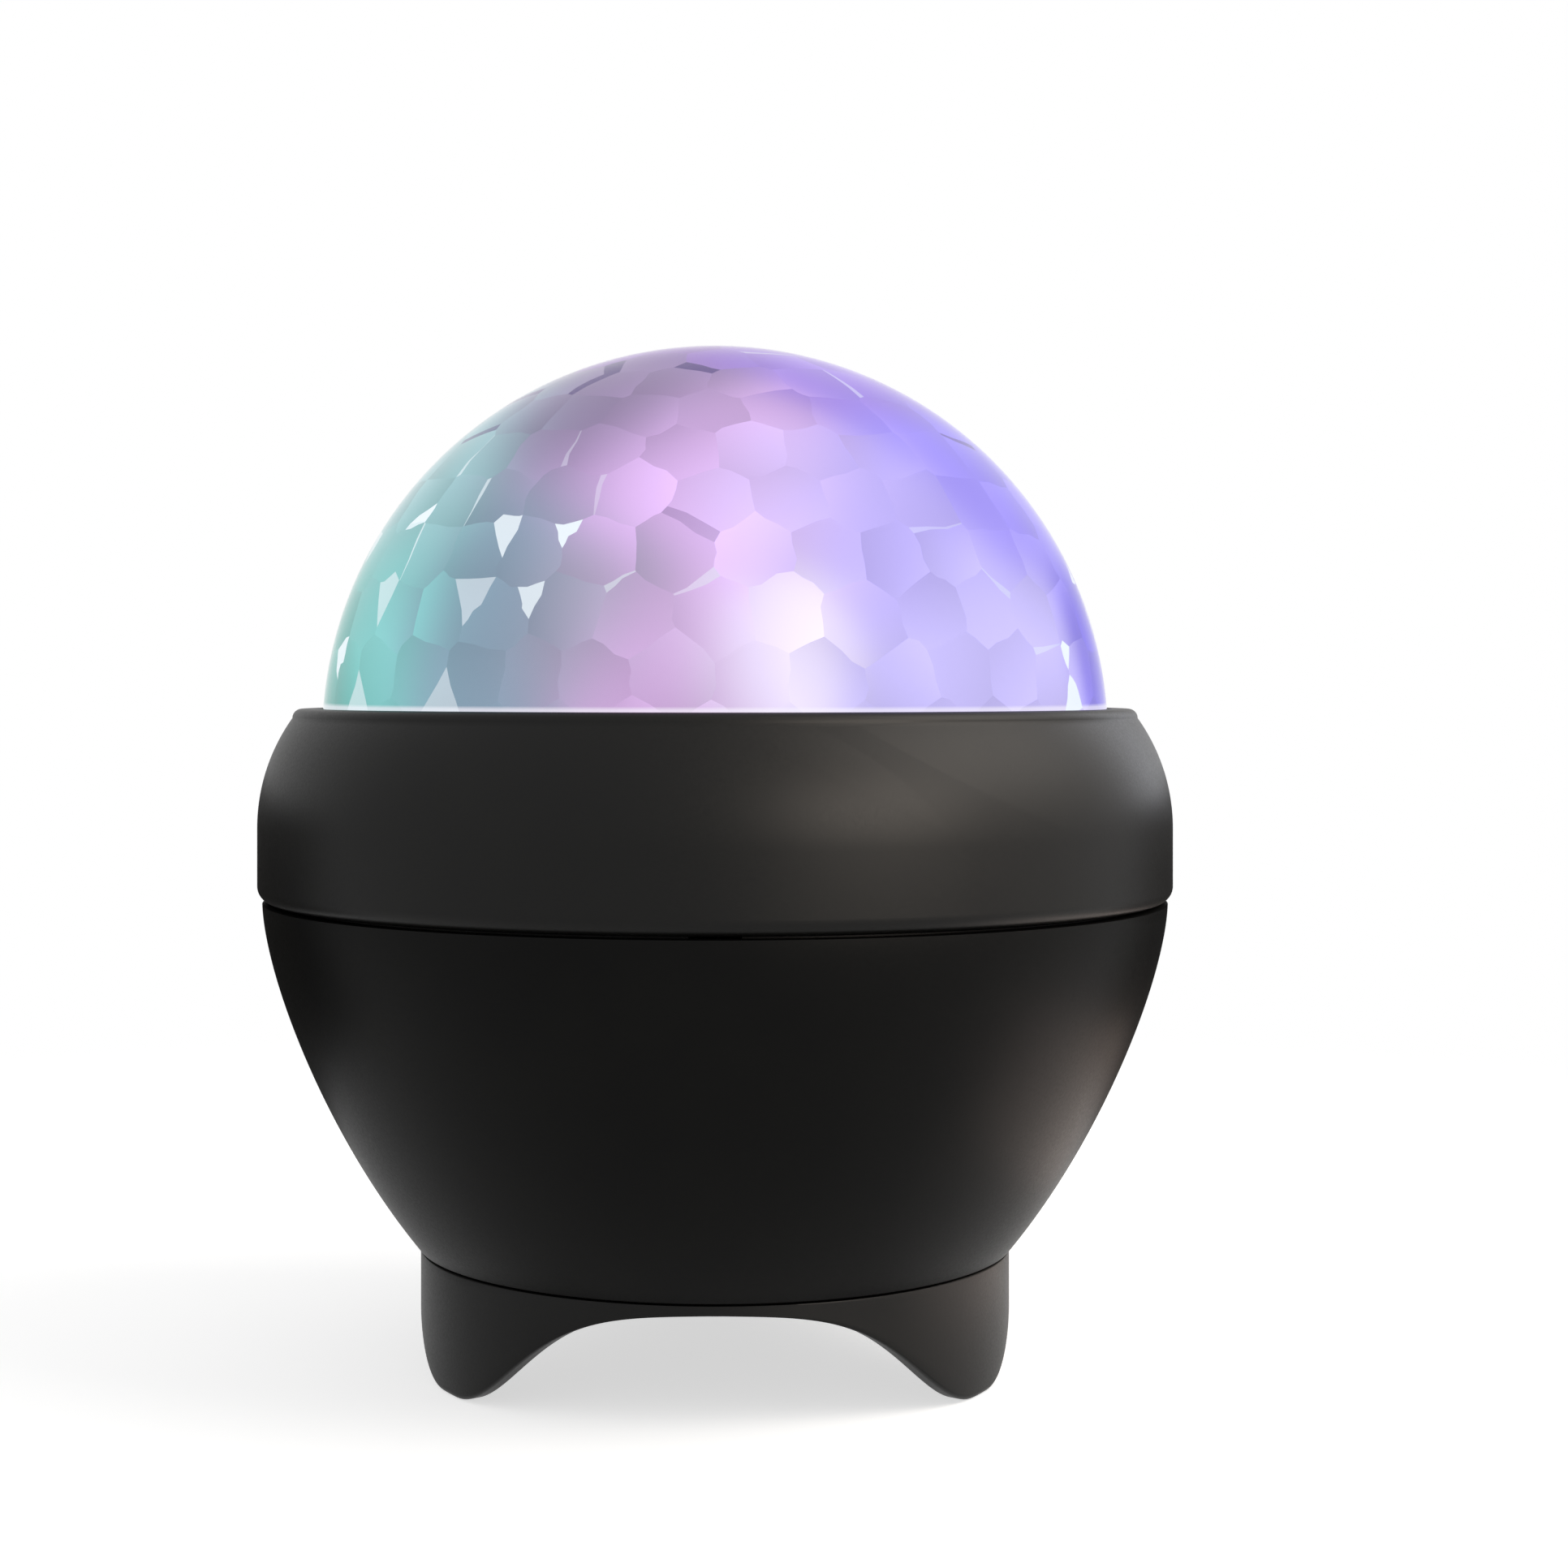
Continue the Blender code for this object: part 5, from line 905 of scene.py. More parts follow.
class GeometryRule:
    """A Geometry Nodes tree with named inputs, built in the script and baked to a plain mesh."""

    def __init__(self, name: str) -> None:
        """Start the tree with its geometry input and output.

        Args:
            name: The tree's name.
        """
        self.name = name
        self.tree = bpy.data.node_groups.new(name, "GeometryNodeTree")
        for way in ("INPUT", "OUTPUT"):
            self.tree.interface.new_socket("Geometry", in_out=way, socket_type="NodeSocketGeometry")
        self.source = self.node("NodeGroupInput")
        self.values: dict[str, object] = {}

    def setting(self, name: str, value: object, kind: str = "NodeSocketFloat") -> bpy.types.NodeSocket:
        """Add a named input.

        Args:
            name: The input's name.
            value: Its value on the modifier.
            kind: The socket's type.

        Returns:
            The socket inside the tree.
        """
        socket = self.tree.interface.new_socket(name, in_out="INPUT", socket_type=kind)
        self.values[socket.identifier] = value
        return self.source.outputs[name]

    def node(
        self, kind: str, values: dict | None = None, links: dict | None = None, **settings: object
    ) -> bpy.types.Node:
        """Add a node to the tree, as add_node does."""
        return add_node(self.tree, kind, values, links, **settings)

    def bake(self, geometry: Source, finish: Finish, start: bpy.types.Object) -> bpy.types.Object:
        """Realize, set the material and bake the result to a plain mesh.

        Args:
            geometry: What gives the finished geometry.
            finish: The finish that it gets.
            start: The object that the tree starts from, which gets the mesh.

        Returns:
            The start object, with the baked mesh.
        """
        material = self.setting("Material", material_of(finish), "NodeSocketMaterial")
        real = self.node("GeometryNodeRealizeInstances", links={"Geometry": geometry})
        last = self.node("GeometryNodeSetMaterial", links={"Geometry": real, "Material": material})
        self.node("NodeGroupOutput", links={"Geometry": last})
        change = start.modifiers.new(self.name, "NODES")
        change.node_group = self.tree
        for identifier, value in self.values.items():
            change[identifier] = value
        return baked(start)


# The dome

@dataclass
class CrystalDome:
    """The clear dome: a smooth outside and a flange over an inside of flat facets in rows.

    The lists of clipped corners and edges are places on its front.
    """

    radius: float = 51.7 * MM
    centre_height: float = 82.2 * MM
    wall: float = 2.5 * MM
    flange_radius: float = 55.0 * MM
    flange_top: float = 79.2 * MM
    flange_bottom: float = 77.4 * MM
    steps: int = 256
    curve_steps: int = 72
    seed: int = 5

    # The rows of facets, from pole to equator, and how uneven they are, in radians
    rows: int = 10
    round_equator: int = 35
    jitter: float = 0.022
    facet_weld: float = 0.05 * MM

    # The waves along their edges, and the shortest edge that has them
    wave_length: float = 2.6 * MM
    wave_reach: float = 0.75 * MM
    wave_least: float = 2.4 * MM

    # Clipped corners, each painted as a glint: x, z and reach in millimetres
    glints: tuple[Place, ...] = (
        (-25.4, 108.3, 3.2),
        (-16.4, 107.1, 2.0),
        (-30.6, 98.6, 3.8),
        (-22.2, 97.4, 2.2),
        (-38.9, 98.3, 4.2),
        (-43.0, 89.9, 4.2),
        (-34.6, 89.9, 4.0),
        (-35.0, 110.0, 3.0),
        (42.7, 89.7, 2.8),
    )
    # How strong each kite's painted glint is
    glint_tone: Point = (0.4, 0.95)
    tail_share: Point = (0.2, 0.5)
    peak_share: Point = (0.35, 0.65)
    peak_rise: Point = (0.1, 0.35)

    # More of them on the sides and at the rear, with their turns in half circles from +X
    stray_count: int = 7
    stray_turn: Point = (-0.15, 1.15)
    stray_rise: Point = (12.0 * MM, 42.0 * MM)
    stray_reach: Point = (2.0 * MM, 3.4 * MM)

    # Clipped edges painted as streaks of light: x, z and set-back in millimetres, and the painted light's
    # strength
    streaks: tuple[tuple[float, float, float, float], ...] = (
        (-29.6, 117.3, 0.35, 0.5),
        (-28.2, 110.7, 0.3, 0.5),
        (-36.0, 110.2, 0.4, 0.75),
        (-37.0, 104.0, 0.35, 0.6),
        (-19.1, 116.3, 0.4, 0.22),
        (-12.5, 111.4, 0.4, 0.25),
        (-10.6, 103.6, 0.5, 0.4),
        (-3.3, 101.2, 0.7, 0.25),
        (8.3, 129.6, 0.6, 0.35),
        (14.5, 127.0, 0.5, 0.35),
        (26.1, 107.7, 0.45, 0.22),
        (32.1, 102.4, 0.5, 0.3),
        (38.0, 92.0, 0.5, 0.35),
        (46.2, 98.4, 0.35, 0.5),
    )
    streak_taper: float = 0.8

    # The same for clipped edges painted with shade
    slits: tuple[tuple[float, float, float, float], ...] = (
        (-1.0, 127.7, 1.2, 0.85),
        (-11.7, 128.5, 1.4, 0.85),
        (-16.8, 124.7, 0.9, 0.8),
        (-24.4, 124.6, 1.2, 0.7),
        (-30.6, 118.0, 0.7, 0.7),
        (-5.1, 107.1, 0.8, 0.25),
        (28.0, 121.0, 0.6, 0.6),
    )
    slit_taper: float = 0.3

    # What keeps steep and short edges from being clipped
    steep_cost: float = 3.0 * MM
    short_edge: float = 3.0 * MM
    short_cost: float = 9.0 * MM

    # The facets' random levels, a painted shading gradient across each, and two facets painted brighter as
    # highlights at x and z in millimetres
    level_step: float = 0.05
    painted_gradient_strength: float = 0.12
    painted_gradient_length: float = 5.0 * MM
    accent: float = 0.16
    accent_reach: float = 4.5 * MM
    accents: tuple[Point, ...] = ((-6.4, 111.5), (6.0, 101.0))

    def directions(self) -> list[Vector]:
        """Set out every facet's direction on a whole sphere, in staggered, slightly uneven rows.

        Returns:
            The directions.
        """
        draw = random.Random(self.seed)
        found = [UP, -UP]
        for row in range(1, 2 * self.rows):
            slope = math.pi / 2 * row / self.rows
            count = round(self.round_equator * math.sin(slope))
            shift = 0.5 * (row % 2)
            for i in range(count):
                turn = math.tau * (i + shift) / count - math.pi / 2
                turn += draw.uniform(-self.jitter, self.jitter) / math.sin(slope)
                tilt = slope + draw.uniform(-self.jitter, self.jitter)
                level = math.sin(tilt)
                found.append(Vector((level * math.cos(turn), level * math.sin(turn), math.cos(tilt))))
        return found

    def facets(self) -> bpy.types.Object:
        """Plane the faceted inside by rule: the dual of the hull of all the facets' directions.

        Returns:
            The closed faceted shape.
        """
        bm = bmesh.new()
        for direction in self.directions():
            bm.verts.new(direction)
        start = object_from("facets", bm)
        rule = GeometryRule("faceted inside")
        apothem = rule.setting("Apothem", self.radius - self.wall)
        centre = rule.setting("Centre height", self.centre_height)
        weld = rule.setting("Weld distance", self.facet_weld)

        hull = rule.node("GeometryNodeConvexHull", links={"Geometry": rule.source})
        normal = rule.node("GeometryNodeInputNormal").outputs["Normal"]
        place = rule.node("GeometryNodeInputPosition")
        depth = rule.node("ShaderNodeVectorMath", links={0: normal, 1: place}, operation="DOT_PRODUCT")
        reach = rule.node("ShaderNodeMath", links={0: apothem, 1: depth}, operation="DIVIDE")
        pole = rule.node("ShaderNodeVectorMath", links={0: normal, "Scale": reach}, operation="SCALE")
        capture = rule.node("GeometryNodeCaptureAttribute", links={"Geometry": hull}, domain="FACE")
        capture.capture_items.new("VECTOR", "Pole")
        wire(capture, links={"Pole": pole})
        dual = rule.node("GeometryNodeDualMesh", links={"Mesh": capture})
        links = {"Geometry": dual, "Position": capture.outputs["Pole"]}
        planed = rule.node("GeometryNodeSetPosition", links=links)
        clean = rule.node("GeometryNodeMergeByDistance", links={"Geometry": planed, "Distance": weld})
        lift = rule.node("ShaderNodeCombineXYZ", links={"Z": centre})
        raised = rule.node("GeometryNodeTransform", links={"Geometry": clean, "Translation": lift})
        return rule.bake(raised, LIT_FACETS, start)

    def outside(self) -> list[Point]:
        """Draw the smooth outside, from the pole to the flange's lower edge.

        Returns:
            Its points as radius and height.
        """
        curve = arc((0.0, self.centre_height), self.radius, 90.0, 0.0, self.curve_steps)
        return [
            (0.0, self.centre_height + self.radius),
            *curve[1:],
            (self.radius, self.flange_top),
            (self.flange_radius, self.flange_top),
            (self.flange_radius, self.flange_bottom),
        ]

    def build(self) -> bpy.types.Object:
        """Join the outside, the faceted inside and the flange's underside, and dress the dome.

        Returns:
            The dome.
        """
        facets = self.facets()
        bm = bmesh.new()
        bm.from_mesh(facets.data)
        bpy.data.objects.remove(facets, do_unlink=True)
        bmesh.ops.bisect_plane(
            bm,
            geom=bm.verts[:] + bm.edges[:] + bm.faces[:],
            dist=WELD_DISTANCE,
            plane_co=(0.0, 0.0, self.flange_bottom),
            plane_no=-UP,
            clear_outer=True,
        )
        for face in bm.faces:
            face.material_index = 1
        self.clip(bm)
        self.wave(bm)
        self.tone(bm)
        inner_rim = [edge for edge in bm.edges if edge.is_boundary]
        rim = turned(bm, self.outside(), self.steps, closed=False)[-1]
        outer_rim = [bm.edges.get(pair) for pair in zip(rim, rim[1:] + rim[:1])]
        bmesh.ops.bridge_loops(bm, edges=inner_rim + outer_rim)
        dome = object_from("faceted_dome", bm)
        dome.data.materials.append(material_of(DOME_SKIN))
        dome.data.materials.append(material_of(LIT_FACETS))
        return dress(dome, None, "dome_clear", "crystal_dome", sharp=4.0)

    def on_front(self, x: float, z: float) -> Vector:
        """Find the point of the inside's front at a sideways place and height.

        Args:
            x: The sideways place in millimetres.
            z: The height in millimetres.

        Returns:
            The point.
        """
        rise = z * MM - self.centre_height
        depth = (self.radius - self.wall) ** 2 - (x * MM) ** 2 - rise**2
        return Vector((x * MM, -math.sqrt(max(depth, 0.0)), z * MM))

    def stray(self, draw: random.Random) -> Vector:
        """Draw a place for a glint on the sides or at the rear.

        Args:
            draw: The dome's random draws.

        Returns:
            The place.
        """
        turn = draw.uniform(*self.stray_turn) * math.pi
        height = self.flange_top + draw.uniform(*self.stray_rise)
        around = math.sqrt((self.radius - self.wall) ** 2 - (height - self.centre_height) ** 2)
        return Vector((around * math.cos(turn), around * math.sin(turn), height))

    def clip(self, bm: bmesh.types.BMesh) -> None:
        """Clip some corners and edges of the facets, and mark them for painted light or painted shade.

        Corners clipped near the green lamp get painted glints as kites, and clipped edges get painted
        streaks of light. Edges clipped near the pole get painted shade.

        Args:
            bm: The faceted inside.
        """
        draw = random.Random(self.seed)
        glint = bm.faces.layers.float.new(CLIP_PAINTED_GLINT)
        shade = bm.faces.layers.float.new(CLIP_PAINTED_SHADE)
        for x, z, reach in self.glints:
            self.clip_corner(bm, self.on_front(x, z), reach * MM, draw, glint)
        for _ in range(self.stray_count):
            self.clip_corner(bm, self.stray(draw), draw.uniform(*self.stray_reach), draw, glint)
        for x, z, width, share in self.streaks:
            self.clip_edge(bm, self.on_front(x, z), width * MM, self.streak_taper, glint, share)
        for x, z, width, share in self.slits:
            self.clip_edge(bm, self.on_front(x, z), width * MM, self.slit_taper, shade, share)

    def clip_corner(
        self,
        bm: bmesh.types.BMesh,
        spot: Vector,
        reach: float,
        draw: random.Random,
        layer: bmesh.types.BMLayerItem,
    ) -> None:
        """Clip the corner nearest a place, as a kite whose lower end is drawn out to a point.

        Args:
            bm: The faceted inside.
            spot: The place.
            reach: How far along its edges the corner is clipped.
            draw: The dome's random draws.
            layer: The face layer that takes each kite's painted glint strength.
        """
        corner = min(bm.verts, key=lambda v: (v.co - spot).length)
        made = bmesh.ops.bevel(
            bm, geom=[corner], offset=reach, segments=1, affect="VERTICES", material=1
        )
        # Each new kite gets a random painted glint strength
        for face in made["faces"]:
            face[layer] = draw.uniform(*self.glint_tone)
            lowest = min(face.verts, key=lambda v: v.co.z)
            onward = [e.other_vert(lowest) for e in lowest.link_edges if face not in e.link_faces]
            for other in onward[:1]:
                lowest.co = lowest.co.lerp(other.co, draw.uniform(*self.tail_share))
            middle = face.calc_center_median()
            side = draw.choice(list(face.edges))
            _, peak = bmesh.utils.edge_split(side, side.verts[0], draw.uniform(*self.peak_share))
            peak.co += (peak.co - middle).normalized() * reach * draw.uniform(*self.peak_rise)

    def clip_edge(
        self,
        bm: bmesh.types.BMesh,
        spot: Vector,
        width: float,
        taper: float,
        layer: bmesh.types.BMLayerItem,
        share: float,
    ) -> None:
        """Clip the edge nearest a place, of those that lie fairly level, and taper one end.

        Args:
            bm: The faceted inside.
            spot: The place.
            width: How far the edge is set back on each side.
            taper: How far one end closes, from 0 to 1.
            layer: The face layer that takes the painted light or painted shade.
            share: The strength of that painted light or shade.
        """

        def remoteness(edge: bmesh.types.BMEdge) -> float:
            """Measure an edge's distance from the place, longer for steep and short edges.

            Args:
                edge: The edge.

            Returns:
                The distance.
            """
            first, last = (vertex.co for vertex in edge.verts)
            length = edge.calc_length()
            away = ((first + last) / 2 - spot).length
            steep = abs(first.z - last.z) / max(length, WELD_DISTANCE)
            return away + steep * self.steep_cost + (self.short_cost if length < self.short_edge else 0.0)

        edge = min(bm.edges, key=remoteness)
        made = bmesh.ops.bevel(bm, geom=[edge], offset=width, segments=1, affect="EDGES", material=1)
        for face in made["faces"]:
            face[layer] = share
            end = min(face.edges, key=lambda e: e.calc_length())
            middle = (end.verts[0].co + end.verts[1].co) / 2
            for vertex in end.verts:
                vertex.co = vertex.co.lerp(middle, taper)

    def wave(self, bm: bmesh.types.BMesh) -> None:
        """Make the facets' longer edges a little wavy, as the polished mould leaves them.

        Args:
            bm: The faceted inside.
        """
        # Without a seed, the noise would start from the clock
        seed_set(self.seed)
        centre = UP * self.centre_height
        for edge in [e for e in bm.edges if not e.is_boundary and e.calc_length() > self.wave_least]:
            spot = edge.verts[0]
            for share in (1 / 3, 1 / 2):
                _, spot = bmesh.utils.edge_split(edge, spot, share)
                outward = (spot.co - centre).normalized()
                shift = noise_vector(spot.co / self.wave_length)
                spot.co += (shift - outward * shift.dot(outward)) * self.wave_reach

    def tone(self, bm: bmesh.types.BMesh) -> None:
        """Give each facet a random shift of where its painted light is looked up, a random level and a soft
        painted shading from side to side; facets near the accents are painted brighter as highlights.

        Args:
            bm: The faceted inside.
        """
        draw = random.Random(self.seed + 1)
        tone = bm.faces.layers.float_vector.new(FACET_TONE)
        lean = bm.loops.layers.float.new(FACET_LEVEL_AND_PAINTED_SHADING)
        accents = [self.on_front(x, z) for x, z in self.accents]
        for face in bm.faces:
            face[tone] = Vector([draw.uniform(-1.0, 1.0) for _ in range(3)])
            side = Vector([draw.uniform(-1.0, 1.0) for _ in range(3)]).normalized()
            level = draw.uniform(-self.level_step, self.level_step)
            middle = face.calc_center_median()
            # Painted highlight: facets near the accents get a brighter level
            if any((middle - spot).length < self.accent_reach for spot in accents):
                level = self.accent
            for loop in face.loops:
                # Painted shading: a gradient across the facet along a random side
                rise = (loop.vert.co - middle).dot(side) / self.painted_gradient_length
                loop[lean] = level + self.painted_gradient_strength * rise


# The case

@dataclass
class TopRing:
    """The black ring: rim, curved shoulder, upright side and rolled lip, with its inner features."""

    radius: float = 60.0 * MM
    seam: float = 61.2 * MM
    opening: float = 52.0 * MM
    opening_edge: float = 0.25 * MM
    shoulder: float = 70.7 * MM
    curve: float = 24.654 * MM
    rim_fillet: float = 1.2 * MM
    lip_fillet: float = 2.0 * MM
    wall: float = 2.4 * MM
    collar_foot: float = 79.5 * MM
    collar_radius: float = 53.6 * MM
    collar_ledge: float = 0.8 * MM
    tongue_radius: float = 56.55 * MM
    tongue_inner: float = 55.15 * MM
    tongue_foot: float = 58.7 * MM
    ledge_top: float = 63.0 * MM
    boss_radius: float = 2.3 * MM
    boss_bottom: float = 66.3 * MM
    boss_top: float = 76.8 * MM
    bore_depth: float = 7.0 * MM
    web_half: float = 0.8 * MM
    notch_half: float = 3.0 * MM
    rim_end: float = 8.0
    rim_steps: int = 8
    shoulder_steps: int = 28
    lip_steps: int = 10
    inside_steps: int = 12
    steps: int = 288

    def profile(self) -> list[Point]:
        """Draw the ring's section.

        Returns:
            Its points as radius and height.
        """
        centre = (self.radius - self.curve, self.shoulder)
        rim_angle = math.degrees(math.asin((RIM_HEIGHT - self.rim_fillet - self.shoulder) / self.curve))
        shoulder = arc(centre, self.curve, rim_angle, 0.0, self.shoulder_steps)
        rim_centre = (shoulder[0][0] - self.rim_fillet, RIM_HEIGHT - self.rim_fillet)
        inner_curve = self.curve - self.wall
        reach = (self.collar_radius + self.collar_ledge - centre[0]) / inner_curve
        inside_end = math.degrees(math.acos(reach))
        inside = arc(centre, inner_curve, 0.0, inside_end, self.inside_steps)
        lip_centre = (self.radius - self.lip_fillet, self.seam + self.lip_fillet)
        return [
            (self.opening, RIM_HEIGHT - self.opening_edge),
            (self.opening + self.opening_edge, RIM_HEIGHT),
            *arc(rim_centre, self.rim_fillet, 90.0, self.rim_end, self.rim_steps),
            *shoulder,
            *arc(lip_centre, self.lip_fillet, 0.0, -90.0, self.lip_steps),
            (self.tongue_radius, self.seam),
            (self.tongue_radius, self.tongue_foot),
            (self.tongue_inner, self.tongue_foot),
            (self.tongue_inner, self.ledge_top),
            (self.radius - self.wall, self.ledge_top),
            *inside,
            (self.collar_radius, inside[-1][1]),
            (self.collar_radius, self.collar_foot),
            (self.opening, self.collar_foot),
        ]

    def build(self) -> None:
        """Turn the ring, add the bosses for the deck's screws, and dress it."""
        ring = lathe("ring_cover", self.profile(), self.steps)
        inner = self.radius - self.wall
        bosses, cuts = [], []
        for angle in SCREW_ANGLES:
            at, turn = polar(BOSS_CIRCLE, angle), turned_place(angle)
            bosses.append(rod("boss", self.boss_radius, self.boss_bottom, self.boss_top, at))
            low = (BOSS_CIRCLE + self.boss_radius - 2 * EMBED, -self.web_half, self.boss_bottom + EMBED)
            high = (inner + EMBED, self.web_half, self.shoulder)
            bosses.append(placed(block("web", low, high), turn))
            bore_top = self.boss_bottom + self.bore_depth
            cuts.append(rod("bore", SCREW_BORE, self.boss_bottom - OVERRUN, bore_top, at))
            low = (self.tongue_inner - OVERRUN, -self.notch_half, self.tongue_foot - OVERRUN)
            high = (inner + GAP, self.notch_half, self.ledge_top + GAP)
            cuts.append(placed(block("notch", low, high), turn))
        shaped(ring, Join.UNION, *bosses)
        shaped(ring, Join.CUT, *cuts)
        dress(ring, SATIN, BODY_BLACK, "top_ring")


@dataclass
class BowlShell:
    """The black bowl below the ring, with its button holes, socket slot and standoffs."""

    top_radius: float = 59.35 * MM
    top: float = 60.9 * MM
    foot_radius: float = 39.15 * MM
    foot: float = 15.9 * MM
    foot_edge: float = 0.3 * MM
    foot_share: float = 0.985
    top_lean: float = 2.0
    foot_lean: float = 39.0
    top_handle_share: float = 0.21
    foot_handle_share: float = 0.42
    wall: float = 2.2 * MM
    flange_inner: float = 27.0 * MM
    side_steps: int = 64
    inside_steps: int = 40
    socket_steps: int = 20
    steps: int = 288
    share_tolerance: float = 1e-6

    # The standoffs of the main board and, along the buttons' frame, of the button board
    standoff_radius: float = 2.4 * MM
    standoff_top: float = 23.7 * MM
    rear_standoff_radius: float = 2.1 * MM
    rear_standoff_ends: Point = (-9.53 * MM, -3.74 * MM)

    button_height: float = 52.0 * MM
    button_spacing: float = 10.5 * MM
    button_radius: float = 3.2 * MM
    hole_ends: Point = (-4.9 * MM, 2.0 * MM)
    socket_height: float = 27.53 * MM
    socket_width: float = 8.94 * MM
    socket_thickness: float = 3.26 * MM
    slot_ends: Point = (42.0 * MM, 62.0 * MM)

    def side(self, share: float) -> tuple[Vector, Vector]:
        """Find a point of the outer side and its outward normal.

        Args:
            share: 0 at the seam, 1 at the crease.

        Returns:
            The point as radius and height, and the normal.
        """
        rise = self.top - self.foot
        top_turn, foot_turn = math.radians(self.top_lean), math.radians(self.foot_lean)
        start = Vector((self.top_radius, self.top))
        end = Vector((self.foot_radius, self.foot))
        first = start - self.top_handle_share * rise * Vector((math.sin(top_turn), math.cos(top_turn)))
        second = end + self.foot_handle_share * rise * Vector((math.sin(foot_turn), math.cos(foot_turn)))
        rest = 1 - share
        point = (
            start * rest**3 + first * 3 * rest**2 * share + second * 3 * rest * share**2 + end * share**3
        )
        along = (
            (first - start) * rest**2 + (second - first) * 2 * rest * share + (end - second) * share**2
        ).normalized()
        return point, Vector((-along.y, along.x))

    def share_at(self, height: float) -> float:
        """Find where on the side a height lies, by halving.

        Args:
            height: The height.

        Returns:
            The share, 0 at the seam and 1 at the crease.
        """
        low, high = 0.0, 1.0
        while high - low > self.share_tolerance:
            middle = (low + high) / 2
            low, high = (middle, high) if self.side(middle)[0].y > height else (low, middle)
        return low

    def line(self, offset: float, end: float, steps: int) -> list[Point]:
        """Draw the side from the seam down, moved out by an offset.

        Args:
            offset: How far it is moved out.
            end: The share at which it ends.
            steps: How many pieces it has.

        Returns:
            Its points as radius and height.
        """
        points = []
        for i in range(steps + 1):
            point, normal = self.side(end * i / steps)
            points.append(tuple(point + normal * offset))
        return points

    def button_frame(self) -> Matrix:
        """Find the buttons' frame: its origin on the bowl at the rear, +Z outwards.

        Returns:
            The frame as a matrix.
        """
        point, normal = self.side(self.share_at(self.button_height))
        outward = Vector((0.0, normal.x, normal.y))
        across = Vector((1.0, 0.0, 0.0))
        frame = Matrix((across, outward.cross(across), outward)).transposed().to_4x4()
        frame.translation = (0.0, point.x, point.y)
        return frame

    def profile(self) -> list[Point]:
        """Draw the bowl's section.

        Returns:
            Its points as radius and height.
        """
        floor = self.foot + self.wall
        inside = self.line(-self.wall, self.share_at(floor + self.wall / 2), self.inside_steps)
        inside[0] = (self.top_radius - self.wall, self.top)
        outside = self.line(0.0, self.foot_share, self.side_steps)
        edge = (self.foot_radius, self.foot, self.foot_edge)
        foot = rounded([(*outside[-1], 0.0), edge, (0.0, self.foot, 0.0)])
        return [
            *outside,
            *foot[1:-1],
            (self.flange_inner, self.foot),
            (self.flange_inner, floor),
            (inside[-1][0] - self.wall, floor),
            *reversed(inside),
        ]

    def socket_outline(self, grow: float) -> list[Point]:
        """Draw the charging socket's rounded outline.

        Args:
            grow: How much larger it is on every side.

        Returns:
            Its points.
        """
        radius = self.socket_thickness / 2 + grow
        reach = (self.socket_width - self.socket_thickness) / 2
        return oblong(reach, radius, self.socket_steps)

    def socket_solid(self, grow: float, front: float, back: float) -> bpy.types.Object:
        """Extrude the socket's outline between two places along Y."""
        upright = Matrix.Translation((0.0, 0.0, self.socket_height)) @ Matrix.Rotation(-math.pi / 2, 4, "X")
        return placed(extruded("socket_solid", self.socket_outline(grow), front, back), upright)

    def build(self) -> None:
        """Turn the bowl, join its standoffs, cut its openings and dress it."""
        bowl = lathe("bowl_cover", self.profile(), self.steps)
        frame = self.button_frame()
        floor = self.foot + self.wall
        standoffs = [
            rod("standoff", self.standoff_radius, floor - EMBED, self.standoff_top, at)
            for at in BOARD_SCREWS
        ]
        for side in (-1, 1):
            at = (side * REAR_SCREW_REACH, 0.0)
            rear = rod("standoff", self.rear_standoff_radius, *self.rear_standoff_ends, at)
            standoffs.append(placed(rear, frame))
        shaped(bowl, Join.UNION, *standoffs)
        cuts = [self.socket_solid(GAP, *self.slot_ends)]
        for number in (-1, 0, 1):
            at = (number * self.button_spacing, 0.0)
            cuts.append(placed(rod("hole", self.button_radius + GAP, *self.hole_ends, at), frame))
        for angle in SCREW_ANGLES:
            at = polar(SCREW_CIRCLE, angle)
            cuts.append(rod("screw_hole", SCREW_BORE, self.foot - OVERRUN, floor + OVERRUN, at))
        shaped(bowl, Join.CUT, *cuts)
        dress(bowl, BOWL, BODY_BLACK, "bowl_shell")


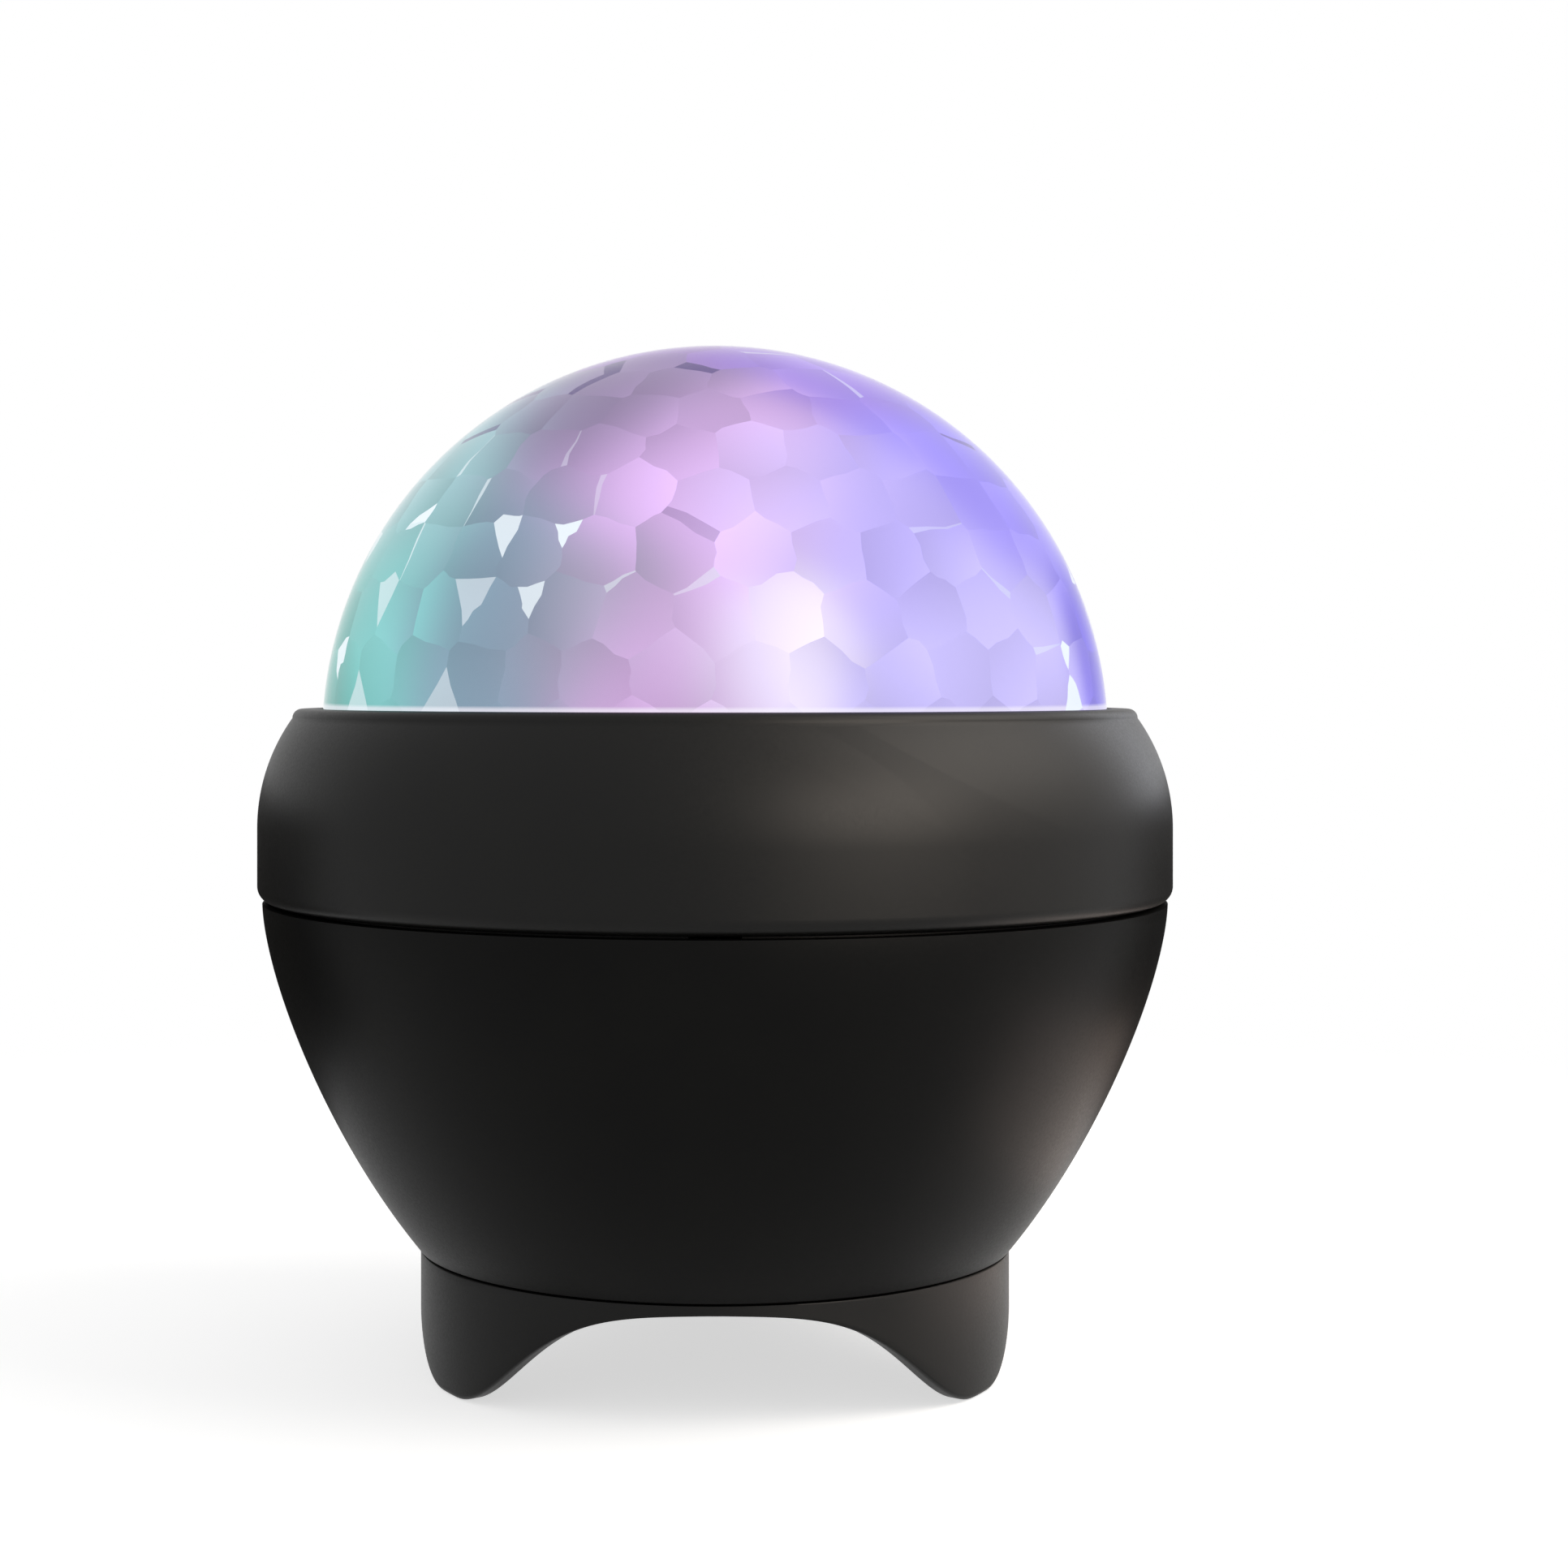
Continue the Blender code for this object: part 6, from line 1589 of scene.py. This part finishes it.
@dataclass
class TripodBase:
    """The base moulding: a skirt that drops into three feet, ribs and a vented floor plate."""

    radius: float = 38.85 * MM
    top: float = 15.6 * MM
    wall: float = 2.8 * MM
    top_edge: float = 0.25 * MM
    fillet: float = 0.7 * MM
    fillet_steps: int = 8
    flat_angle: float = 3.0
    spread_angle: float = 24.2
    arch: float = 14.45 * MM
    side_rows: int = 14
    side_rest: float = 2.0 * MM
    steps: int = 360

    plate_top: float = 15.3 * MM
    plate_bottom: float = 13.9 * MM
    plate_steps: int = 180
    rib_half: float = 0.8 * MM
    rib_length: float = 7.0 * MM
    rib_foot: float = 4.5 * MM

    vent_count: int = 8
    vent_circle: float = 18.0 * MM
    vent_half_length: float = 3.2 * MM
    vent_radius: float = 0.8 * MM
    vent_steps: int = 8

    # A face whose normal is nearer to upright than this is shaded flat
    level_normal: float = 0.99999

    def lift(self, angle: float) -> float:
        """Find the height of the skirt's lower edge.

        Args:
            angle: Where on the skirt, in degrees.

        Returns:
            The height.
        """
        away = min(abs((angle - foot + 180.0) % 360.0 - 180.0) for foot in FOOT_ANGLES)
        spread = max(away - self.flat_angle, 0.0) / self.spread_angle
        return self.arch * (1 - math.exp(-(spread**2)))

    def skirt(self) -> bpy.types.Object:
        """Turn the skirt and lift its lower edge between the feet.

        Returns:
            The skirt.
        """
        inner = self.radius - self.wall
        corners = [
            (inner, self.top, 0.0),
            (self.radius, self.top, self.top_edge),
            (self.radius, 0.0, self.fillet),
            (inner, 0.0, self.fillet),
        ]
        profile = rounded(corners, self.fillet_steps)
        start, reach = self.top - self.top_edge, self.top - self.side_rest
        side = [(self.radius, start - reach * i / self.side_rows) for i in range(1, self.side_rows)]
        split = self.fillet_steps + 2
        skirt = lathe("tripod_cover", profile[:split] + side + profile[split:], self.steps)
        for vertex in skirt.data.vertices:
            angle = math.degrees(math.atan2(vertex.co.y, vertex.co.x))
            vertex.co.z += self.lift(angle) * (1 - vertex.co.z / self.top)
        return skirt

    def vents(self) -> bpy.types.Object:
        """Set the vents' rounded slots out in a circle with Geometry Nodes, as one cutter.

        Returns:
            The cutter.
        """
        outline = oblong(self.vent_half_length, self.vent_radius, self.vent_steps)
        slot = extruded("vent_slot", outline, self.plate_bottom - OVERRUN, self.plate_top + OVERRUN)
        placed(slot, Matrix.Translation((self.vent_circle, 0.0, 0.0)))
        rule = GeometryRule("vent ring")
        count = rule.setting("Vents", self.vent_count, "NodeSocketInt")
        points = rule.node("GeometryNodePoints", links={"Count": count})
        index = rule.node("GeometryNodeInputIndex")
        share = rule.node("ShaderNodeMath", links={0: index, 1: count}, operation="DIVIDE")
        turn = rule.node("ShaderNodeMath", {1: math.tau}, {0: share}, operation="MULTIPLY")
        rotation = rule.node("FunctionNodeAxisAngleToRotation", {"Axis": UP}, {"Angle": turn})
        links = {"Points": points, "Instance": rule.source, "Rotation": rotation}
        return rule.bake(rule.node("GeometryNodeInstanceOnPoints", links=links), SATIN, slot)

    def build(self) -> None:
        """Join the plate and ribs to the skirt, cut vents and screw holes, and dress the base."""
        base = self.skirt()
        inner = self.radius - self.wall
        plate_radius = inner + EMBED
        section = [
            (0.0, self.plate_top),
            (plate_radius, self.plate_top),
            (plate_radius, self.plate_bottom),
            (0.0, self.plate_bottom),
        ]
        joined = [lathe("plate", section, self.plate_steps)]
        outline = [
            (plate_radius, self.plate_bottom + EMBED),
            (inner - self.rib_length, self.plate_bottom + EMBED),
            (inner - self.rib_length, self.plate_bottom - EMBED),
            (plate_radius, self.rib_foot),
        ]
        for angle in FOOT_ANGLES:
            rib = extruded("rib", outline, -self.rib_half, self.rib_half)
            joined.append(placed(rib, turned_place(angle) @ Matrix.Rotation(math.pi / 2, 4, "X")))
        shaped(base, Join.UNION, *joined)
        cuts = [self.vents()]
        for angle in SCREW_ANGLES:
            at = polar(SCREW_CIRCLE, angle)
            cuts.append(rod("hole", SCREW_BORE, self.plate_bottom - OVERRUN, self.plate_top + OVERRUN, at))
        shaped(base, Join.CUT, *cuts)
        dress(base, SATIN, BODY_BLACK, "tripod_base", sharp=40.0)
        for face in base.data.polygons:
            face.use_smooth = abs(face.normal.z) < self.level_normal


# Buttons and socket

@dataclass
class PushButtons:
    """Three round buttons that follow the bowl, each with a flange and a stem behind the wall."""

    bowl: BowlShell
    proud: float = 0.8 * MM
    edge: float = 0.35 * MM
    flange_width: float = 0.8 * MM
    flange_thickness: float = 0.8 * MM
    flange_edge: float = 0.1 * MM
    stem_radius: float = 1.3 * MM
    stem_end: float = -6.63 * MM
    stem_edge: float = 0.2 * MM
    rings: int = 5
    crown_rounds: int = 3
    steps: int = 64
    names: tuple[str, ...] = ("power", "colour", "spin")

    def wall_depth(self, x: float) -> float:
        """Return how far behind the buttons' frame the bowl's inner wall lies at a sideways place."""
        outer = self.bowl.side(self.bowl.share_at(self.bowl.button_height))[0].x
        return outer - math.sqrt((outer - self.bowl.wall) ** 2 - x**2)

    def crown(self, place: Matrix, x: float, y: float) -> float:
        """Find how high a cap's face stands in the button's frame, where it follows the bowl.

        Args:
            place: The button's frame.
            x: The place across the cap.
            y: The place up the cap.

        Returns:
            The face's height along the frame's Z.
        """
        height = self.proud
        for _ in range(self.crown_rounds):
            spot = place @ Vector((x, y, height))
            point, normal = self.bowl.side(self.bowl.share_at(spot.z))
            height += self.proud - (spot.xy.length - point.x) * normal.x
        return height

    def build(self) -> None:
        """Turn each button, fit its face to the bowl's curve and dress it on its own body."""
        radius = self.bowl.button_radius
        flange = radius + self.flange_width
        for number, name in zip((-1, 0, 1), self.names):
            x = number * self.bowl.button_spacing
            flange_top = -self.wall_depth(abs(x) + flange) - GAP
            flange_bottom = flange_top - self.flange_thickness
            corners = [(radius * ring / self.rings, self.proud, 0.0) for ring in range(self.rings)] + [
                (radius, self.proud, self.edge),
                (radius, flange_top, 0.0),
                (flange, flange_top, self.flange_edge),
                (flange, flange_bottom, self.flange_edge),
                (self.stem_radius, flange_bottom, 0.0),
                (self.stem_radius, self.stem_end, self.stem_edge),
                (0.0, self.stem_end, 0.0),
            ]
            place = self.bowl.button_frame() @ Matrix.Translation((x, 0.0, 0.0))
            button = lathe(name + "_cap", rounded(corners), self.steps)
            for vertex in button.data.vertices:
                if vertex.co.z > 0.0:
                    vertex.co.z += self.crown(place, vertex.co.x, vertex.co.y) - self.proud
            placed(button, place)
            solid = f"{name}_button"
            dress(button, BUTTON, "button_black", solid, body=solid, sharp=50.0)


@dataclass
class ChargingSocket:
    """The rounded steel charging socket at the rear, with its tongue and contacts."""

    bowl: BowlShell
    mouth: float = 45.9 * MM
    length: float = 7.3 * MM
    wall: float = 0.32 * MM
    back_wall: float = 1.5 * MM
    tongue_width: float = 6.7 * MM
    tongue_thickness: float = 0.7 * MM
    tongue_set_back: float = 0.8 * MM
    tongue_fillet: float = 0.4 * MM
    contact_count: int = 12
    contact_pitch: float = 0.5 * MM
    contact_half: float = 0.13 * MM
    contact_rise: float = 0.03 * MM
    contact_back: float = 0.2 * MM
    contact_front: float = 0.5 * MM

    def build(self) -> None:
        """Make the shell, its tongue and the row of contacts."""
        back = self.mouth - self.length
        shell = self.bowl.socket_solid(0.0, back, self.mouth)
        shell.name = "charging_socket"
        inside_back = back + self.back_wall
        inside = self.bowl.socket_solid(-self.wall, inside_back, self.mouth + OVERRUN)
        shaped(shell, Join.CUT, inside)
        dress(shell, ZINC, BRIGHT_STEEL, "usb_socket", sharp=40.0)
        half, reach = self.tongue_thickness / 2, self.tongue_width / 2
        front = self.mouth - self.tongue_set_back
        middle = self.bowl.socket_height
        corners = [
            (-reach, inside_back - EMBED, 0.0),
            (reach, inside_back - EMBED, 0.0),
            (reach, front, self.tongue_fillet),
            (-reach, front, self.tongue_fillet),
        ]
        tongue = extruded("socket_tongue", rounded(corners), middle - half, middle + half)
        dress(tongue, EPOXY, "chip_black", sharp=40.0)
        self.contacts(inside_back, front, middle + half)

    def contacts(self, back: float, front: float, height: float) -> None:
        """Lay the contacts in a row on both sides of the tongue with Geometry Nodes.

        Args:
            back: Where they start along Y.
            front: Where the tongue ends.
            height: The tongue's upper face.
        """
        low = (-self.contact_half, back + self.contact_back, height - self.contact_rise)
        high = (self.contact_half, front - self.contact_front, height + self.contact_rise)
        strip = block("socket_contacts", low, high)
        below = placed(block("below", low, high), Matrix.Translation((0.0, 0.0, -self.tongue_thickness)))
        shaped(strip, Join.UNION, below)
        rule = GeometryRule("contact row")
        count = rule.setting("Contacts", self.contact_count, "NodeSocketInt")
        pitch = rule.setting("Pitch", self.contact_pitch)
        start = rule.setting("Start", -self.contact_pitch * (self.contact_count - 1) / 2)
        first = rule.node("ShaderNodeCombineXYZ", links={"X": start})
        step = rule.node("ShaderNodeCombineXYZ", links={"X": pitch})
        links = {"Count": count, "Start Location": first, "Offset": step}
        line = rule.node("GeometryNodeMeshLine", links=links)
        links = {"Points": line, "Instance": rule.source}
        rule.bake(rule.node("GeometryNodeInstanceOnPoints", links=links), GOLD, strip)
        dress(strip, GOLD, BRIGHT_STEEL, sharp=40.0)


# Screws

@dataclass
class ScrewSet:
    """Equal cross-head screws, set out on their places with Geometry Nodes.

    The size gives the head's radius and height, and the shank's radius and length, in millimetres.
    """

    name: str
    node: str
    places: list[Matrix]
    size: tuple[float, float, float, float]
    finish: Metal
    slot: str
    crown_share: float = 0.62
    rim_share: float = 0.35
    fillet_share: float = 0.3
    tip_share: float = 0.4
    cross_reach_share: float = 0.55
    cross_half_share: float = 0.11
    fillet_steps: int = 3
    steps: int = 32

    def single(self) -> bpy.types.Object:
        """Make one screw, its head on z = 0 and its shank along -Z.

        Returns:
            The screw.
        """
        head, dome, shank, length = (value * MM for value in self.size)
        fillet = dome * self.fillet_share
        corners = [
            (0.0, dome, 0.0),
            (head * self.crown_share, dome, fillet),
            (head, dome * self.rim_share, fillet),
            (head, 0.0, 0.0),
            (shank, 0.0, 0.0),
            (shank, -length, shank * self.tip_share),
            (0.0, -length, 0.0),
        ]
        screw = lathe(self.name, rounded(corners, self.fillet_steps), self.steps)
        reach, half = head * self.cross_reach_share, head * self.cross_half_share
        depth, above = dome * self.rim_share, dome + OVERRUN
        first = block("slot", (-reach, -half, depth), (reach, half, above))
        second = block("slot", (-half, -reach, depth), (half, reach, above))
        return shaped(screw, Join.CUT, first, second)

    def build(self) -> None:
        """Copy the screw to every place and dress the set as one piece."""
        screw = self.single()
        holder = bpy.data.meshes.new(self.name + "_places")
        holder.from_pydata([place.translation for place in self.places], [], [])
        turns = holder.attributes.new("turn", "QUATERNION", "POINT")
        for number, place in enumerate(self.places):
            turns.data[number].value = place.to_quaternion()
        start = bpy.data.objects.new(self.name + "_set", holder)
        bpy.context.scene.collection.objects.link(start)
        rule = GeometryRule(self.name + " places")
        shape = rule.setting("Screw", screw, "NodeSocketObject")
        info = rule.node("GeometryNodeObjectInfo", links={"Object": shape})
        turn = rule.node("GeometryNodeInputNamedAttribute", {"Name": "turn"}, data_type="QUATERNION")
        links = {"Points": rule.source, "Instance": info.outputs["Geometry"], "Rotation": turn}
        rule.bake(rule.node("GeometryNodeInstanceOnPoints", links=links), self.finish, start)
        bpy.data.objects.remove(screw, do_unlink=True)
        nodes = [f"{self.node}_{number + 1}" for number in range(len(self.places))]
        dress(start, self.finish, self.slot, *nodes, sharp=35.0)


def screw_sets(bowl: BowlShell) -> list[ScrewSet]:
    """Set out every set of screws.

    Args:
        bowl: The bowl, which places the button board's screws.

    Returns:
        The sets.
    """
    upright = Matrix.Identity(4)
    over = Matrix.Rotation(math.pi, 4, "X")
    sink_angles, lamp_angles = (90.0, 210.0, 330.0), (60.0, 180.0, 300.0)

    def circle(angles: tuple[float, ...], radius: float, height: float, turn: Matrix) -> list[Matrix]:
        """Return places on a circle at a height."""
        return [turned_place(angle, radius, height) @ turn for angle in angles]

    def pair(frame: Matrix, reach: Place, turn: Matrix) -> list[Matrix]:
        """Return two places in a frame, the second mirrored from the first in its main plane."""
        x, y, z = reach
        return [frame @ Matrix.Translation((side * x, side * y, z)) @ turn for side in (-1, 1)]

    case = circle(SCREW_ANGLES, SCREW_CIRCLE, 13.6 * MM, over)
    ring = circle(SCREW_ANGLES, BOSS_CIRCLE, 64.1 * MM, over)
    sink = circle(sink_angles, 17.2 * MM, 66.3 * MM, upright)
    lamps = circle(lamp_angles, 12.6 * MM, 66.1 * MM, upright)
    motor = pair(turned_place(-30.0, 35.0 * MM), (0.0, 10.55 * MM, 66.3 * MM), upright)
    rear = pair(bowl.button_frame(), (REAR_SCREW_REACH, 0.0, -11.33 * MM), over)
    board = [Matrix.Translation((x, y, 25.9 * MM)) for x, y in BOARD_SCREWS]
    bright = (ZINC, BRIGHT_STEEL)
    return [
        ScrewSet("case_screws", "base_screw", case, (2.4, 0.5, 1.1, 13.0), BLACK_STEEL, "black_steel"),
        ScrewSet("ring_screws", "deck_screw", ring, (2.2, 1.6, 1.1, 7.2), *bright),
        ScrewSet("sink_screws", "heat_sink_screw", sink, (1.8, 1.2, 1.0, 4.8), *bright),
        ScrewSet("lamp_board_screws", "led_board_screw", lamps, (1.5, 1.0, 0.8, 2.8), *bright),
        ScrewSet("bracket_screws", "motor_screw", motor, (1.8, 1.2, 0.9, 4.0), *bright),
        ScrewSet("rear_board_screws", "button_board_screw", rear, (1.8, 1.2, 0.9, 4.2), *bright),
        ScrewSet("main_board_screws", "board_screw", board, (1.8, 1.2, 0.9, 5.6), *bright),
    ]


# Pieces inside

@dataclass
class Inside:
    """The deck, heat sink, lamps, ripple drive and electronics, which keep their solids."""

    frame: dict
    finishes: tuple[tuple[Finish, tuple[str, ...]], ...] = (
        (WHITE_ABS, ("deck_plate", "motor_bracket")),
        (SINK, ("heat_sink",)),
        (WHITE_BOARD, ("led_board",)),
        (GREEN_BOARD, ("control_board", "button_board")),
        (NYLON, ("axle_washer", "drive_pinion")),
        (WHEEL_ACRYLIC, ("ripple_wheel",)),
        (ZINC, ("lens_axle", "axle_clip", "motor_shaft", "gear_motor")),
        (CAN, ("capacitor_1", "capacitor_2")),
        (EPOXY, ("driver_chip", "power_switch", "colour_switch", "spin_switch")),
        (PVC, ("led_lead", "motor_lead", "button_lead")),
    )

    def refinish(self, name: str, finish: Finish) -> None:
        """Give a solid that stays a finish of its own.

        Args:
            name: The solid's name.
            finish: The finish.
        """
        mesh = self.frame["nodes"][name].data
        mesh.materials.clear()
        mesh.materials.append(material_of(finish))
        log.info("%s: solid kept, now %s", name, finish.name)

    def build(self) -> None:
        """Finish every solid that stays."""
        for finish, names in self.finishes:
            for name in names:
                self.refinish(name, finish)
        for lamp in LampColour:
            name, colour, pale = lamp.value
            self.refinish(name, LampLens(f"lit {lamp.name.lower()} epoxy lens", colour, pale))


# Studio

@dataclass(frozen=True)
class SoftLamp:
    """A soft rectangular lamp that faces the object.

    One that is for gloss only works as a photographer's white card does.
    """

    name: str
    place: Place
    size: Point
    power: float
    colour: str = "ffffff"
    gloss_only: bool = False
    aim_height: float = 70.0 * MM

    def build(self, shaded: bpy.types.Collection) -> None:
        """Hang the lamp.

        Args:
            shaded: The light linking that says what its light is kept off.
        """
        data = bpy.data.lights.new(self.name, "AREA")
        data.shape = "RECTANGLE"
        data.size, data.size_y = self.size
        data.energy = self.power
        data.color = linear(self.colour)[:3]
        lamp = bpy.data.objects.new(self.name, data)
        lamp.location = self.place
        aim = UP * self.aim_height - Vector(self.place)
        lamp.rotation_euler = aim.to_track_quat("-Z", "Y").to_euler()
        lamp.light_linking.receiver_collection = shaded
        lamp.visible_diffuse = not self.gloss_only
        bpy.context.scene.collection.objects.link(lamp)


@dataclass
class Studio:
    """The pale floor, the white background, the soft lamps and the camera."""

    # The camera, matched to the photograph's perspective and crop
    camera_distance: float = 356.0 * MM
    camera_height: float = 89.4 * MM
    focal_px: float = 3300.0
    picture_px: float = 1932.0
    axis_left_px: float = 85.0
    horizon_up_px: float = 124.0
    sensor: float = 36.0
    clip_start: float = 10.0 * MM

    # The floor lies a little below the feet
    floor_height: float = -0.05 * MM
    floor_steps: int = 96
    flag_radius: float = 125.0 * MM
    flag_height: float = 80.0 * MM
    flag_sectors: tuple[Point, ...] = ((100.0, 184.0), (8.0, 75.0))
    flag_steps: int = 24

    # How bright the background is as a light and as it is seen
    lighting_level: float = 0.55
    seen_level: float = 1.0
    lamps: tuple[SoftLamp, ...] = (
        SoftLamp("key_lamp", (0.58, -0.16, 0.56), (0.6, 0.6), 4.5, "fff8f0"),
        SoftLamp("key_card", (0.58, -0.16, 0.56), (0.6, 0.6), 21.0, "fff2e4", gloss_only=True),
        SoftLamp("front_card", (0.46, -0.62, 0.28), (0.5, 0.4), 6.0, "fff2e4", gloss_only=True),
        SoftLamp("fill_lamp", (-0.7, -0.7, 0.5), (1.4, 1.4), 1.8),
        SoftLamp("low_card", (0.074, -0.002, 0.003), (0.08, 0.06), 0.022, "ffe6d8", gloss_only=True),
        SoftLamp("side_card", (0.55, 0.5, 0.3), (0.3, 0.4), 0.8, "f2f5ff", gloss_only=True),
    )

    def kept_off(self, dome: bpy.types.Object) -> bpy.types.Collection:
        """Keep the lamps off the glowing dome, so that they leave no window shapes on it.

        Args:
            dome: The dome.

        Returns:
            The light linking for the lamps.
        """
        shaded = bpy.data.collections.new("flagged_off")
        shaded.objects.link(dome)
        shaded.collection_objects[0].light_linking.link_state = "EXCLUDE"
        return shaded

    def camera(self) -> None:
        """Place the camera where the photograph was taken from."""
        data = bpy.data.cameras.new("photo_camera")
        data.sensor_width = self.sensor
        data.lens = self.focal_px * self.sensor / self.picture_px
        data.shift_x = self.axis_left_px / self.picture_px
        data.shift_y = -self.horizon_up_px / self.picture_px
        data.clip_start = self.clip_start
        camera = bpy.data.objects.new("photo_camera", data)
        camera.location = (0.0, -self.camera_distance, self.camera_height)
        camera.rotation_euler = (math.pi / 2, 0.0, 0.0)
        bpy.context.scene.collection.objects.link(camera)
        bpy.context.scene.camera = camera

    def world(self) -> None:
        """Light the object with a plain grey and show the camera white."""
        world = bpy.data.worlds.new("studio")
        bpy.context.scene.world = world
        world.use_nodes = True
        span = {"To Min": self.lighting_level, "To Max": self.seen_level}
        level = add_node(world.node_tree, "ShaderNodeMapRange", span, {"Value": seen(world.node_tree)})
        background = world.node_tree.nodes["Background"]
        wire(background, {"Color": linear("ffffff")}, {"Strength": level})

    def floor(self) -> None:
        """Lay the pale floor, which keeps the object's shadow."""
        bm = bmesh.new()
        bmesh.ops.create_circle(bm, cap_ends=True, segments=self.floor_steps, radius=FLOOR_RADIUS)
        floor = object_from("floor", bm)
        placed(floor, Matrix.Translation((0.0, 0.0, self.floor_height)))
        floor.data.materials.append(material_of(FLOOR_PAINT))

    def flags(self) -> None:
        """Stand two low curved black flags beside the object, which keep its sides dark.

        Only gloss sees them. They are hidden from the camera and from soft light.
        """
        for number, (start, end) in enumerate(self.flag_sectors):
            outline = arc((0.0, 0.0), self.flag_radius, start, end, self.flag_steps)
            bm = bmesh.new()
            low = [bm.verts.new((x, y, 0.0)) for x, y in outline]
            high = [bm.verts.new((x, y, self.flag_height)) for x, y in outline]
            for i in range(self.flag_steps):
                bm.faces.new((low[i], low[i + 1], high[i + 1], high[i]))
            flag = object_from(f"studio_flag_{number + 1}", bm)
            flag.data.materials.append(material_of(FLAG_FELT))
            flag.visible_camera = False
            flag.visible_diffuse = False
            flag.visible_shadow = False
            flag.visible_transmission = False

    def build(self, dome: bpy.types.Object) -> None:
        """Set up the view and the light.

        Args:
            dome: The dome, which glows by itself.
        """
        bpy.context.scene.view_settings.view_transform = "Standard"
        self.camera()
        self.world()
        self.floor()
        self.flags()
        shaded = self.kept_off(dome)
        for lamp in self.lamps:
            lamp.build(shaded)


def main() -> None:
    """Build the lamp around its frame."""
    logging.basicConfig(level=logging.INFO, format="%(message)s")
    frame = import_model()
    Studio().build(CrystalDome().build())
    TopRing().build()
    bowl = BowlShell()
    bowl.build()
    TripodBase().build()
    PushButtons(bowl).build()
    ChargingSocket(bowl).build()
    for screws in screw_sets(bowl):
        screws.build()
    Inside(frame).build()


if __name__ == "__main__":
    main()
